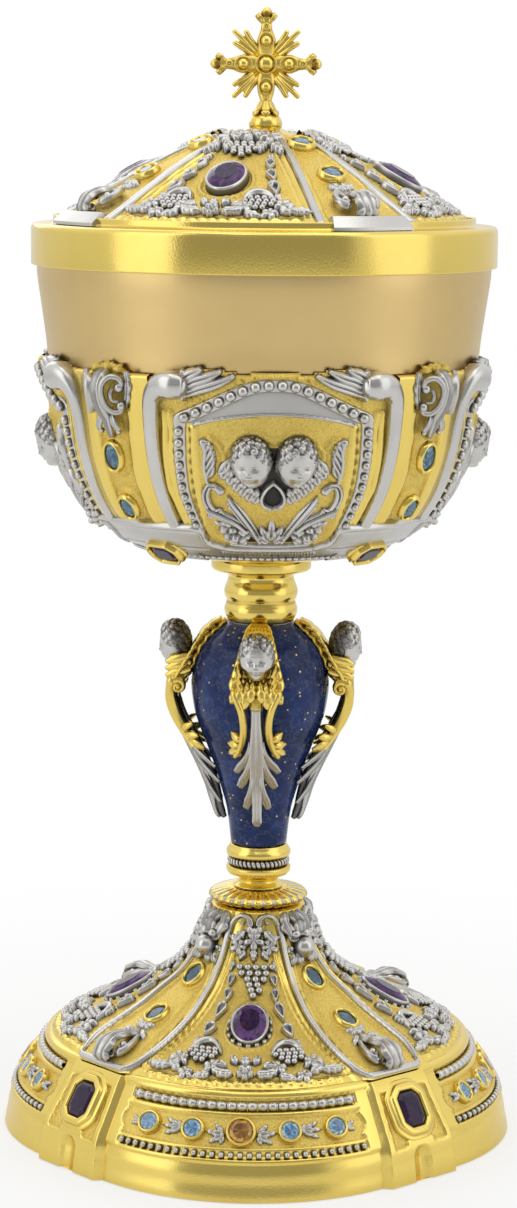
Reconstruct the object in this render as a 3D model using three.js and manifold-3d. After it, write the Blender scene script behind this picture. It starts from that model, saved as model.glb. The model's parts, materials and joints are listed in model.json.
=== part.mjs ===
import * as THREE from "three";
import { mergeVertices } from "three/addons/utils/BufferGeometryUtils.js";
import Module from "manifold-3d";

// Covered chalice in gilt and silver on a lapis knop. Millimetres, +Z up, the front is -Y.
// It stands on its foot rim with the origin at the middle of the rim's plane.

const wasm = await Module();
wasm.setup();
const { degToRad, lerp } = THREE.MathUtils;

// Facets round the wide and the narrow turned pieces
const wideSides = 36;
const narrowSides = 20;

// Fits between separately made pieces
const seatGap = 0.3;
const shellGap = 0.4;
const boreGap = 0.4;

// Foot
const footHeight = 57;
const footRadius = 64.2;
const footBandDepth = 11.2;
const footLedgeRadius = footRadius - footBandDepth;
const footLobeOffset = 15;
const footLedgeLobeOffset = 9.5;
const footNeckRadius = 11.6;
const footLedgeHeight = 22.6;
const footBandTop = 21.6;
const footBandTopInset = 10.6;
const footSkirtHeight = 9.2;
const footSkirtInset = 2;
const footSkirtMiddle = 4.1;
const footSkirtMiddleInset = 0.8;
const footWall = 1.6;
const footRimWidth = 3;
const footFieldInset = 0.8;
const footFieldStep = 0.6;
const plinthInset = 2.7;
const plinthReach = footRadius - plinthInset;
const plinthLedgeInset = 1.2;
const plinthLedgeReach = footLedgeRadius - plinthLedgeInset;
const plinthHalfAngle = degToRad(9.8);
const plinthSideAngle = degToRad(0.8);
const footStrapHalfAngle = degToRad(12.8);
const footStrapEdgeAngle = degToRad(1.1);
const footStrapLift = 0.7;
const footStrapCrest = 1.7;
const footTurn = degToRad(-3.5);
const pendantShare = 0.17;
const pendantWidth = 5.4;
const pendantLength = 10;
const pendantDepth = 5.6;

// Oval stones with their settings, on the foot and on the lid
const ovalHalfWidth = 4.4;
const ovalHalfLength = 5.8;
const ovalHeight = 2.2;
const settingWidth = 1.5;
const settingHeight = 1.7;
const footOvalInset = 19.5;
const footOvalRadius = footLedgeRadius - footOvalInset;

// Rectangular stones with their settings, on the plinths and under the cup
const plinthStoneWidth = 8;
const plinthStoneLength = 9.6;
const cupStoneWidth = 8.4;
const cupStoneLength = 6;
const stoneHeight = 2;
const stoneCorner = 1.6;
const stoneRimWidth = 1.1;
const stoneRimHeight = 1.3;
const stoneRimRoot = 1.2;
const stoneTableShare = 0.68;
const stoneFootShare = 0.86;
const stoneGirdleLevel = 0.45;

// Silver vine mounts: lengths are measured over the skin
const vineThickness = 0.9;
const bunchHeight = 2;
const leafHalfWidth = 5.2;
const leafLength = 4.5;
const bunchHalfWidth = 3;
const bunchLength = 9.5;
const garlandHalfSpan = degToRad(24);
const garlandWidth = 7;
const footGarlandInset = 8.5;
const footGarlandRadius = footLedgeRadius - footGarlandInset;
const stripCrownDrop = 0.45;
const scrollHalfWidth = 5.5;
const scrollLength = 7.5;
const scrollHeight = 2.6;
const footScrollInset = 6.5;
const footScrollRadius = footLedgeRadius - footScrollInset;

// Fluted disc and lower collar
const discRadius = 12.6;
const discHeight = 3.7;
const discFlutes = 13;
const discFluteDepth = 0.7;
const discStepRadius = 7;
const lowerCollarHeight = 10.9;
const lowerCollarRadius = 8.1;
const lowerCollarNeckRadius = 4.8;
const ropeRadius = 7.8;
const ropeHeight = 1.9;
const ropeGrooveDepth = 1.4;
const ropeGrooveHeight = 5.35;

// Lapis knop
const knopHeight = 56.1;
const knopBellyRadius = 17.2;
const knopTopRadius = 8.4;
const knopFootRadius = 7;
const knopBellyLevel = 41;

// Angel brackets and heads
const bracketTurn = degToRad(-2.5);
const spineThickness = 4.4;
const wingRise = 2.2;
const wingArch = 0.9;
const scrollStandOff = 4.4;
const bracketThickness = 1.9;
const bracketHalfWidth = 7;
const headWidth = 9;
const headHeight = 11.4;
const headDepth = 8;
const headShare = 0.2;

// Upper collar
const upperCollarHeight = 16;
const collarFlangeRadius = 12.4;
const collarBulgeRadius = 9;
const collarNeckRadius = 8.2;

// Tie rod with its washer and nut
const rodRadius = 3;
const washerRadius = 9;
const washerThickness = 1.5;
const nutAcrossFlats = 10;
const nutHeight = 4.6;
const rodEndLength = 1.5;

// Cup
const cupRimRadius = 55.6;
const cupHeight = 72.9;
const cupWall = 1.2;

// Calyx round the cup
const calyxTurn = degToRad(3);
const calyxWall = 1;
const calyxHeight = 46.6;
const ribHalfAngle = degToRad(2.8);
const ribAngle = degToRad(12.6);
const ribHeight = 1.5;
const ribKnobHeight = 2.6;
const plaqueHalfAngle = degToRad(17);
const plaqueTop = 8;
const plaqueLength = 40;
const plaqueThickness = 0.9;
const cherubDrop = 19;
const cherubSpacing = 11.4;
const cherubWidth = 9.4;
const cherubHeight = 12;
const cherubDepth = 3.4;
const calyxScrollDrop = 7;
const cupStoneRadius = 30.5;
const cupRimLift = 0.3;
const cupStoneLift = 0.9;

// Lid
const lidTurn = degToRad(-16);
const crossTurn = degToRad(16);
const rimGap = 0.5;
const bandWall = 0.9;
const bandRadius = cupRimRadius + rimGap + bandWall;
const bandHeight = 10;
const bandOverlap = 2.5;
const bandRounding = 1.4;
const spigotGap = 1.3;
const spigotLength = 5;
const spigotWall = 1.2;
const bandShelf = 5.4;
const lidLedgeRadius = bandRadius - bandShelf;
const lidLedgeHeight = 2;
const lidLedgeWall = 0.8;
const domeSeatWidth = 3;
const domeEdgeRise = 0.5;
const domeRise = 21.5;
const domeWall = 1.3;
const lidStrapLift = 0.6;
const lidStrapCrest = 1.4;
const lidStrapHalfAngle = degToRad(13);
const lidOvalInset = 18.6;
const lidOvalRadius = lidLedgeRadius - lidOvalInset;
const lidGarlandInset = 8.6;
const lidGarlandRadius = lidLedgeRadius - lidGarlandInset;

// Finial cross
const crossSpan = 13.6;
const crossCentreHeight = 16.2;
const crossArmRadius = 1.9;
const crossStemRadius = 1.6;
const crossBallRadius = 2.2;
const crossBossRadius = 3.1;
const crossThickness = 0.7;
const rayLength = 10.8;
const sideRayLength = 8.6;
const rayRadius = 0.9;
const finialBaseRadius = 4.1;
const finialBaseHeight = 3;
const finialLanding = 1;
const finialShankRadius = 1.8;
const finialNutAcrossFlats = 6.5;
const finialNutHeight = 3;

// Heights up the stack, each from the piece under it
const quarterTurns = [0, 1, 2, 3];
const quarter = Math.PI / 2;
const discBase = footHeight + seatGap;
const lowerCollarBase = discBase + discHeight + seatGap;
const knopBase = lowerCollarBase + lowerCollarHeight + seatGap;
const upperCollarBase = knopBase + knopHeight + seatGap;
const calyxBase = upperCollarBase + upperCollarHeight + seatGap;
const cupBase = calyxBase + calyxWall + shellGap;
const rimHeight = cupBase + cupHeight;
const boreRadius = rodRadius + boreGap;
const bandBottom = rimHeight - bandOverlap;
const bandTop = bandBottom + bandHeight;
const domeEdgeHeight = bandTop + domeEdgeRise;
const domeSeat = domeEdgeHeight - domeWall - seatGap;
const domeEdgeRadius = lidLedgeRadius - lidLedgeWall - seatGap;
const domeTop = domeEdgeHeight + domeRise;
const lidHoleRadius = finialShankRadius + boreGap;
const landingRadius = finialBaseRadius + finialLanding;
const ropeBase = lowerCollarBase + ropeGrooveHeight + seatGap;

// Finishes
function finish(color, roughness, metalness) {
  return new THREE.MeshStandardMaterial({ color, roughness, metalness });
}

const gilt = finish(0xd6bd62, 0.22, 1);
const champagneGilt = finish(0xcdb27d, 0.35, 1);
const silver = finish(0xb9b6ad, 0.4, 1);
const lapis = finish(0x1f3a78, 0.25, 0);
const amethyst = finish(0x2a0f33, 0.1, 0);
const steel = finish(0x8f8f92, 0.4, 1);

// Shapes

// A point at radius r and height z, turned by the angle a from the front towards +X.
function polar(r, a, z) {
  return new THREE.Vector3(r * Math.sin(a), -r * Math.cos(a), z);
}

function signedVolume(points, index) {
  let volume = 0;
  for (let i = 0; i < index.length; i += 3) {
    const [a, b, c] = [points[index[i]], points[index[i + 1]], points[index[i + 2]]];
    volume += a.dot(new THREE.Vector3().crossVectors(b, c)) / 6;
  }
  return volume;
}

// A geometry from points and triangles, turned so that its faces point out.
function closedGeometry(points, index) {
  if (signedVolume(points, index) < 0) index.reverse();
  const geometry = new THREE.BufferGeometry();
  const positions = points.flatMap((p) => p.toArray());
  geometry.setAttribute("position", new THREE.Float32BufferAttribute(positions, 3));
  geometry.setIndex(index);
  return geometry;
}

// Loops of equal length joined side by side, closed round or capped to the middle of both end loops.
function loft(loops, closesRound) {
  const count = loops[0].length;
  const points = loops.flat();
  const index = [];
  const spans = closesRound ? loops.length : loops.length - 1;
  for (let i = 0; i < spans; i++) {
    const near = i * count;
    const far = ((i + 1) % loops.length) * count;
    for (let j = 0; j < count; j++) {
      const k = (j + 1) % count;
      index.push(near + j, far + j, far + k, near + j, far + k, near + k);
    }
  }
  if (!closesRound) {
    for (const [loop, first, flip] of [[loops[0], 0, false], [loops.at(-1), points.length - count, true]]) {
      const middle = loop.reduce((sum, p) => sum.add(p), new THREE.Vector3()).divideScalar(count);
      points.push(middle);
      for (let j = 0; j < count; j++) {
        const side = [first + j, first + ((j + 1) % count)];
        if (flip) side.reverse();
        index.push(side[0], side[1], points.length - 1);
      }
    }
  }
  return closedGeometry(points, index);
}

// A profile of [radius, height] points turned round the Z axis.
function turned(profile, segments) {
  const closes = profile[0][0] > 0;
  const outline = (closes ? [...profile, profile[0]] : profile).map(([r, z]) => new THREE.Vector2(r, z));
  const geometry = new THREE.LatheGeometry(outline, segments);
  geometry.rotateX(quarter);
  return geometry;
}

function toSolid(geometry) {
  const bare = geometry.clone();
  bare.deleteAttribute("normal");
  bare.deleteAttribute("uv");
  const merged = mergeVertices(bare, 1e-4);
  const vertProperties = Float32Array.from(merged.attributes.position.array);
  const triVerts = Uint32Array.from(merged.index.array);
  return new wasm.Manifold(new wasm.Mesh({ numProp: 3, vertProperties, triVerts }));
}

function toGeometry(solid) {
  const made = solid.getMesh();
  const geometry = new THREE.BufferGeometry();
  geometry.setAttribute("position", new THREE.BufferAttribute(made.vertProperties, 3));
  geometry.setIndex(new THREE.BufferAttribute(made.triVerts, 1));
  return geometry;
}

function fuse(geometries) {
  return toGeometry(geometries.map(toSolid).reduce((sum, solid) => sum.add(solid)));
}

function ellipsoid(centre, width, depth, height, round, rings) {
  const geometry = new THREE.SphereGeometry(0.5, round, rings);
  geometry.rotateX(quarter);
  geometry.scale(width, depth, height);
  geometry.translate(centre.x, centre.y, centre.z);
  return geometry;
}

// Skins: a place on a skin is a share u of its meridian, an angle from the front, and a lift off it

// A curve of radius and height between two ends, through shares of the step from first to last.
function meridian(first, last, shares) {
  return new THREE.SplineCurve(shares.map(([u, v]) =>
    new THREE.Vector2(lerp(first[0], last[0], u), lerp(first[1], last[1], v))));
}

// The share of a curve at which its radius (x) or its height (y) comes to a value.
function shareAt(curve, axis, value) {
  let [low, high] = [0, 1];
  const rises = curve.getPointAt(1)[axis] > curve.getPointAt(0)[axis];
  for (let i = 0; i < 30; i++) {
    const middle = (low + high) / 2;
    if (curve.getPointAt(middle)[axis] < value === rises) low = middle;
    else high = middle;
  }
  return (low + high) / 2;
}

// A skin of a curve that runs downwards, so that its outward side is on the right of its run.
function turnedSkin(curve) {
  return (u, angle, lift) => {
    const place = curve.getPointAt(THREE.MathUtils.clamp(u, 0, 1));
    const run = curve.getTangentAt(THREE.MathUtils.clamp(u, 0, 1));
    return polar(place.x - run.y * lift, angle, place.y + run.x * lift);
  };
}

// A flat drawing laid on a skin: x across and y down the meridian, both in millimetres.
function drawnOn(skin, length, startShare, startAngle) {
  return (x, y, lift) => {
    const share = startShare + y / length;
    const middle = skin(share, startAngle, 0);
    return skin(share, startAngle + x / Math.hypot(middle.x, middle.y), lift);
  };
}

// A strip along a path of [x, y, half width, height] stops, domed across.
function strip(place, path, base, columns) {
  const loops = path.map(([x, y, half, height], i) => {
    const before = path[Math.max(i - 1, 0)];
    const after = path[Math.min(i + 1, path.length - 1)];
    const run = new THREE.Vector2(after[0] - before[0], after[1] - before[1]).normalize();
    const across = Array.from({ length: columns + 1 }, (_, j) => 2 * j / columns - 1);
    const at = (t, lift) => place(x - run.y * t * half, y + run.x * t * half, lift);
    const under = across.map((t) => at(t, base));
    const over = across.map((t) => at(t, base + height * (1 - stripCrownDrop * t * t)));
    return [...under, ...over.reverse()];
  });
  return loft(loops, false);
}

// A lobed plate: an outline of wavy radius round its middle, raised to the middle.
function lobedPlate(place, y, halfWidth, halfLength, lobes, depth, base, height, count) {
  const ring = (size, lift) => Array.from({ length: count }, (_, i) => {
    const turn = 2 * Math.PI * i / count;
    const wave = size * (1 - depth + depth * Math.cos(lobes * turn));
    return place(halfWidth * wave * Math.sin(turn), y + halfLength * wave * Math.cos(turn), lift);
  });
  return loft([ring(1, base), ring(1, base + height * 0.5), ring(0.5, base + height)], false);
}

// An oval ring laid on a skin.
function ovalSetting(place, y, halfWidth, halfLength, width, base, height, count) {
  const loops = Array.from({ length: count }, (_, i) => {
    const turn = 2 * Math.PI * i / count;
    const at = (out, lift) =>
      place((halfWidth + out) * Math.sin(turn), y + (halfLength + out) * Math.cos(turn), lift);
    return [at(0, base), at(width, base), at(width * 0.8, base + height), at(0, base + height)];
  });
  return loft(loops, true);
}

// Stones: an outline in three steps, from the seat past the girdle to the table.
function cutStone(outline, height) {
  const ring = (size, z) => outline.map(([x, y]) => new THREE.Vector3(x * size, y * size, z));
  const girdle = ring(1, height * stoneGirdleLevel);
  return loft([ring(stoneFootShare, 0), girdle, ring(stoneTableShare, height)], false);
}

function ovalOutline(halfWidth, halfLength, count) {
  return Array.from({ length: count }, (_, i) => {
    const turn = 2 * Math.PI * i / count;
    return [halfWidth * Math.sin(turn), halfLength * Math.cos(turn)];
  });
}

function cutCornerOutline(halfWidth, halfLength, corner) {
  const [w, l, c] = [halfWidth, halfLength, corner];
  const half = [[w, l - c], [w - c, l], [c - w, l], [-w, l - c]];
  return [...half, ...half.map(([x, y]) => [-x, -y])];
}

// A rectangular frame round a stone, with a root that goes into the piece that carries it.
function stoneRim(width, length) {
  const rectangle = (out) => [[1, 1], [-1, 1], [-1, -1], [1, -1]].map(([x, y]) =>
    new THREE.Vector2(x * (width / 2 + out), y * (length / 2 + out)));
  const outline = new THREE.Shape(rectangle(boreGap + stoneRimWidth));
  outline.holes.push(new THREE.Path(rectangle(boreGap)));
  const depth = stoneRimHeight + stoneRimRoot;
  const rim = new THREE.ExtrudeGeometry(outline, { depth, bevelEnabled: false });
  rim.translate(0, 0, -stoneRimRoot);
  return rim;
}

// The seat of a flat piece: its own z axis points out of the skin, its y axis up the skin.
function seatOn(origin, outward) {
  const across = new THREE.Vector3(-outward.y, outward.x, 0).normalize();
  const upwards = new THREE.Vector3().crossVectors(outward, across);
  return new THREE.Matrix4().makeBasis(across, upwards, outward).setPosition(origin);
}

function seatOnSkin(skin, u, angle, lift) {
  const outward = skin(u, angle, 1).sub(skin(u, angle, 0)).normalize();
  return seatOn(skin(u, angle, lift), outward);
}

// The angles of a strap and of half a panel each side of it, each with the lift of the skin there.
function strapStations(stops, panelSteps) {
  const last = stops.at(-1)[0];
  const half = [...stops];
  for (let i = 1; i <= panelSteps; i++) half.push([lerp(last, quarter / 2, i / panelSteps), 0]);
  const before = half.slice(1, -1).reverse().map(([angle, lift]) => [-angle, lift]);
  return [...before, ...half];
}

// Foot

const footCurve = meridian([footNeckRadius, footHeight],
  [footLedgeRadius - footFieldInset, footLedgeHeight + footFieldStep],
  [[0, 0], [0.049, 0.193], [0.147, 0.398], [0.352, 0.605], [0.658, 0.801], [0.89, 0.92], [1, 1]]);
const footCurveLength = footCurve.getLength();

// The outline's radius at an angle from the middle of a strap; share runs from the floor to the ledge.
function footPlan(fromStrap, share, showsPlinth) {
  if (showsPlinth && Math.abs(fromStrap) <= plinthHalfAngle + 1e-6) {
    return lerp(plinthReach, plinthLedgeReach, share) / Math.cos(fromStrap);
  }
  const fromPanel = quarter / 2 - Math.abs(fromStrap);
  const offset = lerp(footLobeOffset, footLedgeLobeOffset, share);
  const arc = lerp(footRadius, footLedgeRadius, share) - offset;
  return offset * Math.cos(fromPanel) + Math.sqrt(arc ** 2 - (offset * Math.sin(fromPanel)) ** 2);
}

function fromNearestStrap(angle) {
  const turned = THREE.MathUtils.euclideanModulo(angle, quarter);
  return turned - quarter / 2;
}

// A point of a curve's facets between the given shares.
function facetPoint(curve, shares, u) {
  const next = Math.max(1, shares.findIndex((share) => share >= u));
  const [low, high] = [shares[next - 1], shares[next]];
  const step = (u - low) / (high - low);
  return new THREE.Vector2().lerpVectors(curve.getPointAt(low), curve.getPointAt(high), step);
}

// The foot's field: the curve is drawn out to the ledge's outline at each angle.
const footShares = [0, 0.16, 0.32, 0.5, 0.74, 1];
function footSkin(u, angle, lift) {
  const share = THREE.MathUtils.clamp(u, 0, 1);
  const place = facetPoint(footCurve, footShares, share);
  const run = footCurve.getTangentAt(share);
  const edge = footPlan(fromNearestStrap(angle), 1, true) - footFieldInset;
  const stretch = (edge - footNeckRadius) / (footLedgeRadius - footFieldInset - footNeckRadius);
  const radius = footNeckRadius + (place.x - footNeckRadius) * stretch;
  return polar(radius - run.y * lift, angle, place.y + run.x * lift);
}

function footShell() {
  const innerShares = [0.88, 0.58, 0.3];
  const stations = strapStations([[0, footStrapLift], [plinthHalfAngle, footStrapLift],
    [plinthHalfAngle + plinthSideAngle, footStrapLift],
    [footStrapHalfAngle - footStrapEdgeAngle, footStrapCrest], [footStrapHalfAngle, 0]], 3);
  const loops = quarterTurns.flatMap((turn) => stations.map(([fromStrap, lift]) => {
    const angle = quarter * turn + quarter / 2 + fromStrap;
    const plan = (inset, showsPlinth) => footPlan(fromStrap, inset / footBandDepth, showsPlinth);
    const outer = (inset, z) => polar(plan(inset, true), angle, z);
    const inner = (inset, z) => polar(plan(inset, false) - footRimWidth, angle, z);
    return [
      polar(boreRadius, angle, footHeight),
      ...footShares.map((u) => footSkin(u, angle, lift * Math.min(1, 3 * u))),
      outer(footBandDepth, footLedgeHeight),
      outer(footBandTopInset, footBandTop),
      outer(footSkirtInset, footSkirtHeight),
      outer(footSkirtMiddleInset, footSkirtMiddle),
      outer(0, 0),
      inner(0, 0),
      inner(footSkirtInset, footSkirtHeight - footWall),
      inner(footBandTopInset, footBandTop - footWall),
      ...innerShares.map((u) => footSkin(u, angle, -footWall)),
      polar(footNeckRadius - footWall, angle, footHeight - footWall),
      polar(boreRadius, angle, footHeight - footWall),
    ];
  }));
  const rims = quarterTurns.map((turn) =>
    stoneRim(plinthStoneWidth, plinthStoneLength).applyMatrix4(plinthSeat(quarter * turn + quarter / 2, 0)));
  const pendants = quarterTurns.map((turn) =>
    ellipsoid(new THREE.Vector3(), pendantWidth, pendantLength, pendantDepth, 8, 5)
      .applyMatrix4(seatOnSkin(footSkin, pendantShare, quarter * turn + quarter / 2, footStrapLift)));
  return fuse([loft(loops, true), ...rims, ...pendants]);
}

// The middle of a plinth's sloping front.
function plinthSeat(angle, lift) {
  const top = polar(footPlan(0, footBandTopInset / footBandDepth, true), angle, footBandTop);
  const bottom = polar(footPlan(0, footSkirtInset / footBandDepth, true), angle, footSkirtHeight);
  const slope = new THREE.Vector3().subVectors(top, bottom).normalize();
  const across = new THREE.Vector3(Math.cos(angle), Math.sin(angle), 0);
  const outward = new THREE.Vector3().crossVectors(across, slope).normalize();
  const middle = new THREE.Vector3().addVectors(top, bottom).multiplyScalar(0.5);
  return seatOn(middle.addScaledVector(outward, lift), outward);
}

// Vine mounts

// A leaf cluster, a bunch of grapes, an oval setting and a garland, each running into the next.
function vineMount(skin, length, ovalShare, garlandShare, edgeRadius) {
  const place = drawnOn(skin, length, ovalShare, 0);
  const [inside, outside] = [boreGap, boreGap + settingWidth];
  const bunchEnd = -ovalHalfLength - inside - settingWidth / 2;
  const bunchStart = bunchEnd - bunchLength;
  const garlandDrop = (garlandShare - ovalShare) * length;
  const garlandStart = ovalHalfLength + inside + settingWidth / 2;
  const bunch = strip(place, [[0, bunchStart - 1, bunchHalfWidth * 0.7, bunchHeight * 0.6],
    [0, bunchStart + bunchLength * 0.35, bunchHalfWidth, bunchHeight],
    [0, bunchEnd, bunchHalfWidth * 0.35, bunchHeight * 0.7]], seatGap, 2);
  const leaves = lobedPlate(place, bunchStart - leafLength * 0.4, leafHalfWidth, leafLength, 5, 0.2,
    seatGap * 1.5, vineThickness + 0.6, 10);
  const setting = ovalSetting(place, 0, ovalHalfWidth + inside, ovalHalfLength + inside, settingWidth,
    seatGap * 2, settingHeight, 12);
  const stalk = strip(place, [[0, garlandStart, 1.6, vineThickness], [0, garlandDrop, 2.4, vineThickness]],
    seatGap * 2.5, 2);
  const half = garlandWidth / 2;
  const stops = [[1, 0.4, 0.7], [0.75, 0.9, 1.2], [0.45, 1, 2], [0, 0.6, 1.2]];
  const run = [...stops.map(([t, w, h]) => [-t, w, h]), ...stops.slice(0, -1).reverse()];
  const garland = strip(place, run.map(([t, w, h]) => [t * garlandHalfSpan * edgeRadius,
    garlandDrop + Math.abs(t) * half * 0.6, half * w, vineThickness * h]), seatGap, 2);
  return fuse([setting, leaves, bunch, stalk, garland]);
}

function scrollMount(skin, length, share) {
  const place = drawnOn(skin, length, share, quarter / 2);
  return lobedPlate(place, 0, scrollHalfWidth, scrollLength / 2, 3, 0.18, seatGap + 0.2, scrollHeight, 12);
}

// Stem

function flutedDisc() {
  const count = discFlutes * 2;
  const profile = [[boreRadius, 0], [discRadius * 0.8, 0], [discRadius * 0.96, 0.25], [discRadius, 0.5],
    [discRadius * 0.93, 0.75], [discRadius * 0.72, 0.93], [discStepRadius, 1], [boreRadius, 1]];
  const loops = Array.from({ length: count }, (_, i) => {
    const angle = 2 * Math.PI * i / count;
    const flute = discFluteDepth * (Math.cos(discFlutes * angle) - 1) / 2;
    return profile.map(([r, share]) => {
      const shown = r > discStepRadius && share > 0 ? flute : 0;
      return polar(r + shown, angle, share * discHeight);
    });
  });
  return loft(loops, true);
}

function lowerCollar() {
  const grooveBottom = ropeGrooveHeight;
  const grooveTop = grooveBottom + ropeHeight + 2 * seatGap;
  const groove = ropeRadius - ropeGrooveDepth;
  const [wide, neck, top] = [lowerCollarRadius, lowerCollarNeckRadius, lowerCollarHeight];
  return turned([[boreRadius, 0], [neck + 1.4, 0], [neck, 1.2], [neck + 0.4, 2.4], [wide - 0.8, 3.2],
    [wide, 4], [wide, grooveBottom - 0.3], [wide - 0.4, grooveBottom], [groove, grooveBottom],
    [groove, grooveTop], [wide - 0.4, grooveTop], [wide, grooveTop + 0.5], [wide, top - 1.6],
    [knopFootRadius + 0.3, top - 0.6],
    [knopFootRadius, top], [boreRadius, top]], narrowSides);
}

// A ring in the lower collar's groove.
function ropeBand() {
  const inner = ropeRadius - ropeGrooveDepth + seatGap;
  const mid = ropeHeight / 2;
  return turned([[inner, 0], [ropeRadius - 0.5, 0], [ropeRadius, mid], [ropeRadius - 0.5, ropeHeight],
    [inner, ropeHeight]], narrowSides);
}

const knopCurve = new THREE.SplineCurve([
  ...[[0, 1], [0.364, 0.829], [0.648, 0.648], [0.864, 0.397], [1, 0]].map(([u, v]) =>
    new THREE.Vector2(lerp(knopTopRadius, knopBellyRadius, u), lerp(knopBellyLevel, knopHeight, v))),
  ...[[0.824, 0.744], [0.52, 0.549], [0.275, 0.361], [0.098, 0.198], [0, 0]].map(([u, v]) =>
    new THREE.Vector2(lerp(knopFootRadius, knopBellyRadius, u), v * knopBellyLevel)),
]);
const knopSkin = turnedSkin(knopCurve);

function lapisKnop() {
  const shares = Array.from({ length: 12 }, (_, i) => 1 - i / 11);
  const profile = shares.map((u) => knopCurve.getPointAt(u)).map((p) => [p.x, p.y]);
  return turned([[boreRadius, 0], ...profile, [boreRadius, knopHeight]], narrowSides);
}

function upperCollar() {
  const [bulge, neck] = [collarBulgeRadius, collarNeckRadius];
  const [flange, top] = [collarFlangeRadius, upperCollarHeight];
  return turned([[boreRadius, 0], [neck, 0], [bulge - 0.4, 1.4], [bulge, 2.9], [bulge - 0.5, 4.9],
    [bulge, 7.4], [neck, 10.2], [neck, 11.8], [flange - 0.5, top - 2.8], [flange, top - 2.2],
    [flange, top - 0.5], [flange - 0.5, top], [boreRadius, top]], narrowSides);
}

// Angel brackets, each on the knop's skin

// The wings and the spine: an outline of radius and height, from the collar past the head to the scrolls.
function bracketSpine() {
  const shares = [0.02, 0.08, 0.14, 0.2, 0.26, 0.31];
  const flat = (p) => new THREE.Vector2(-p.y, p.z);
  const under = shares.map((u) => flat(knopSkin(u, 0, seatGap)));
  const over = shares.map((u, i) =>
    flat(knopSkin(u, 0, seatGap + wingRise + wingArch * Math.sin(Math.PI * i / (shares.length - 1)))));
  const spine = new THREE.ExtrudeGeometry(new THREE.Shape([...under, ...over.reverse()]),
    { depth: spineThickness, bevelEnabled: false });
  spine.translate(0, 0, -spineThickness / 2);
  return spine.applyMatrix4(new THREE.Matrix4().makeBasis(new THREE.Vector3(0, -1, 0),
    new THREE.Vector3(0, 0, 1), new THREE.Vector3(-1, 0, 0)));
}

// The scrolls and the leaf: a strip down the knop that stands off it and comes back to it at its tip.
function bracketScroll() {
  const place = drawnOn(knopSkin, knopCurve.getLength(), 0, 0);
  const length = knopCurve.getLength();
  const stops = [[0.24, 0.35, 0.1], [0.31, 0.85, 0.7], [0.36, 1, 1], [0.43, 0.85, 1], [0.52, 0.62, 0.85],
    [0.62, 0.58, 0.62], [0.72, 0.72, 0.4], [0.8, 0.6, 0.22], [0.88, 0.2, 0.05]];
  const across = [-1, -0.55, 0, 0.55, 1];
  const loops = stops.map(([share, width, stand]) => {
    const half = bracketHalfWidth * width;
    const base = seatGap + scrollStandOff * stand;
    const at = (t, lift) => place(t * half, share * length, lift);
    const under = across.map((t) => at(t, base));
    const over = across.map((t) => at(t, base + bracketThickness * (1 - 0.3 * t * t)));
    return [...under, ...over.reverse()];
  });
  return loft(loops, false);
}

function angelHead() {
  const seat = seatGap * 2 + wingRise + wingArch;
  const lift = seat + headDepth * 0.42;
  const centre = knopSkin(headShare, 0, lift);
  const head = ellipsoid(centre, headWidth, headDepth, headHeight, 10, 6);
  const clear = knopSkin(headShare, 0, 1).sub(knopSkin(headShare, 0, 0)).normalize();
  const blade = new THREE.BoxGeometry(headWidth * 2, headHeight * 3, headDepth * 2);
  blade.applyMatrix4(seatOn(knopSkin(headShare, 0, seat - headDepth), clear));
  return toGeometry(toSolid(head).subtract(toSolid(blade)));
}

// Rod, washer and nut

const footPlateUnderside = footHeight - footWall;
const washerTop = footPlateUnderside - seatGap;
const nutTop = washerTop - washerThickness - seatGap;
const rodBottom = nutTop - nutHeight - rodEndLength;

function tieRod() {
  const top = cupBase - seatGap;
  return turned([[0, rodBottom], [rodRadius, rodBottom], [rodRadius, top], [0, top]], 16);
}

function ring(inner, outer, height, segments) {
  return turned([[inner, 0], [outer, 0], [outer, height], [inner, height]], segments);
}

// A six-sided nut with a round bore.
function hexNut(acrossFlats, bore, height) {
  const corner = acrossFlats / Math.sqrt(3);
  const outline = new THREE.Shape(Array.from({ length: 6 }, (_, i) =>
    new THREE.Vector2(corner * Math.cos(i * Math.PI / 3), corner * Math.sin(i * Math.PI / 3))));
  outline.holes.push(new THREE.Path().absarc(0, 0, bore, 0, 2 * Math.PI, true));
  return new THREE.ExtrudeGeometry(outline, { depth: height, bevelEnabled: false, curveSegments: 12 });
}

// Cup and calyx

// The cup's outside, from the rim down to the middle of its bottom.
const cupCurve = meridian([cupRimRadius, cupHeight], [0, 0], [[0, 0], [0.02, 0.166], [0.058, 0.349],
  [0.077, 0.486], [0.12, 0.651], [0.212, 0.797], [0.353, 0.9055], [0.55, 0.975], [0.784, 0.996], [1, 1]]);
const cupCurveLength = cupCurve.getLength();

const calyxStart = shareAt(cupCurve, "y", calyxHeight);
const calyxEnd = shareAt(cupCurve, "x", boreRadius + calyxWall + shellGap);
const cupSkin = turnedSkin(cupCurve);
const calyxLength = (calyxEnd - calyxStart) * cupCurveLength;
const calyxStations = Array.from({ length: 8 }, (_, i) => i / 7);

// The calyx's skin stands off the cup's by the gap and its own wall.
function calyxSkin(u, angle, lift) {
  return cupSkin(lerp(calyxStart, calyxEnd, u), angle, shellGap + calyxWall + lift);
}

// The cup and the calyx share their stops, so that their facets stay alike.
function cupBowl() {
  const plain = [0, 0.5].map((share) => share * calyxStart);
  const stops = [...plain, ...calyxStations.map((u) => lerp(calyxStart, calyxEnd, u))];
  const outside = stops.reverse().map((u) => cupCurve.getPointAt(u));
  const inside = [0.2, 0.38, 0.52, 0.65, 0.78, 0.9].map((u) => cupSkin(u, 0, -cupWall));
  const inner = inside.map((p) => [-p.y, p.z]);
  return turned([[0, 0], ...outside.map((p) => [p.x, p.y]), [cupRimRadius - cupWall, cupHeight], ...inner,
    [0, cupWall]], wideSides);
}

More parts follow.
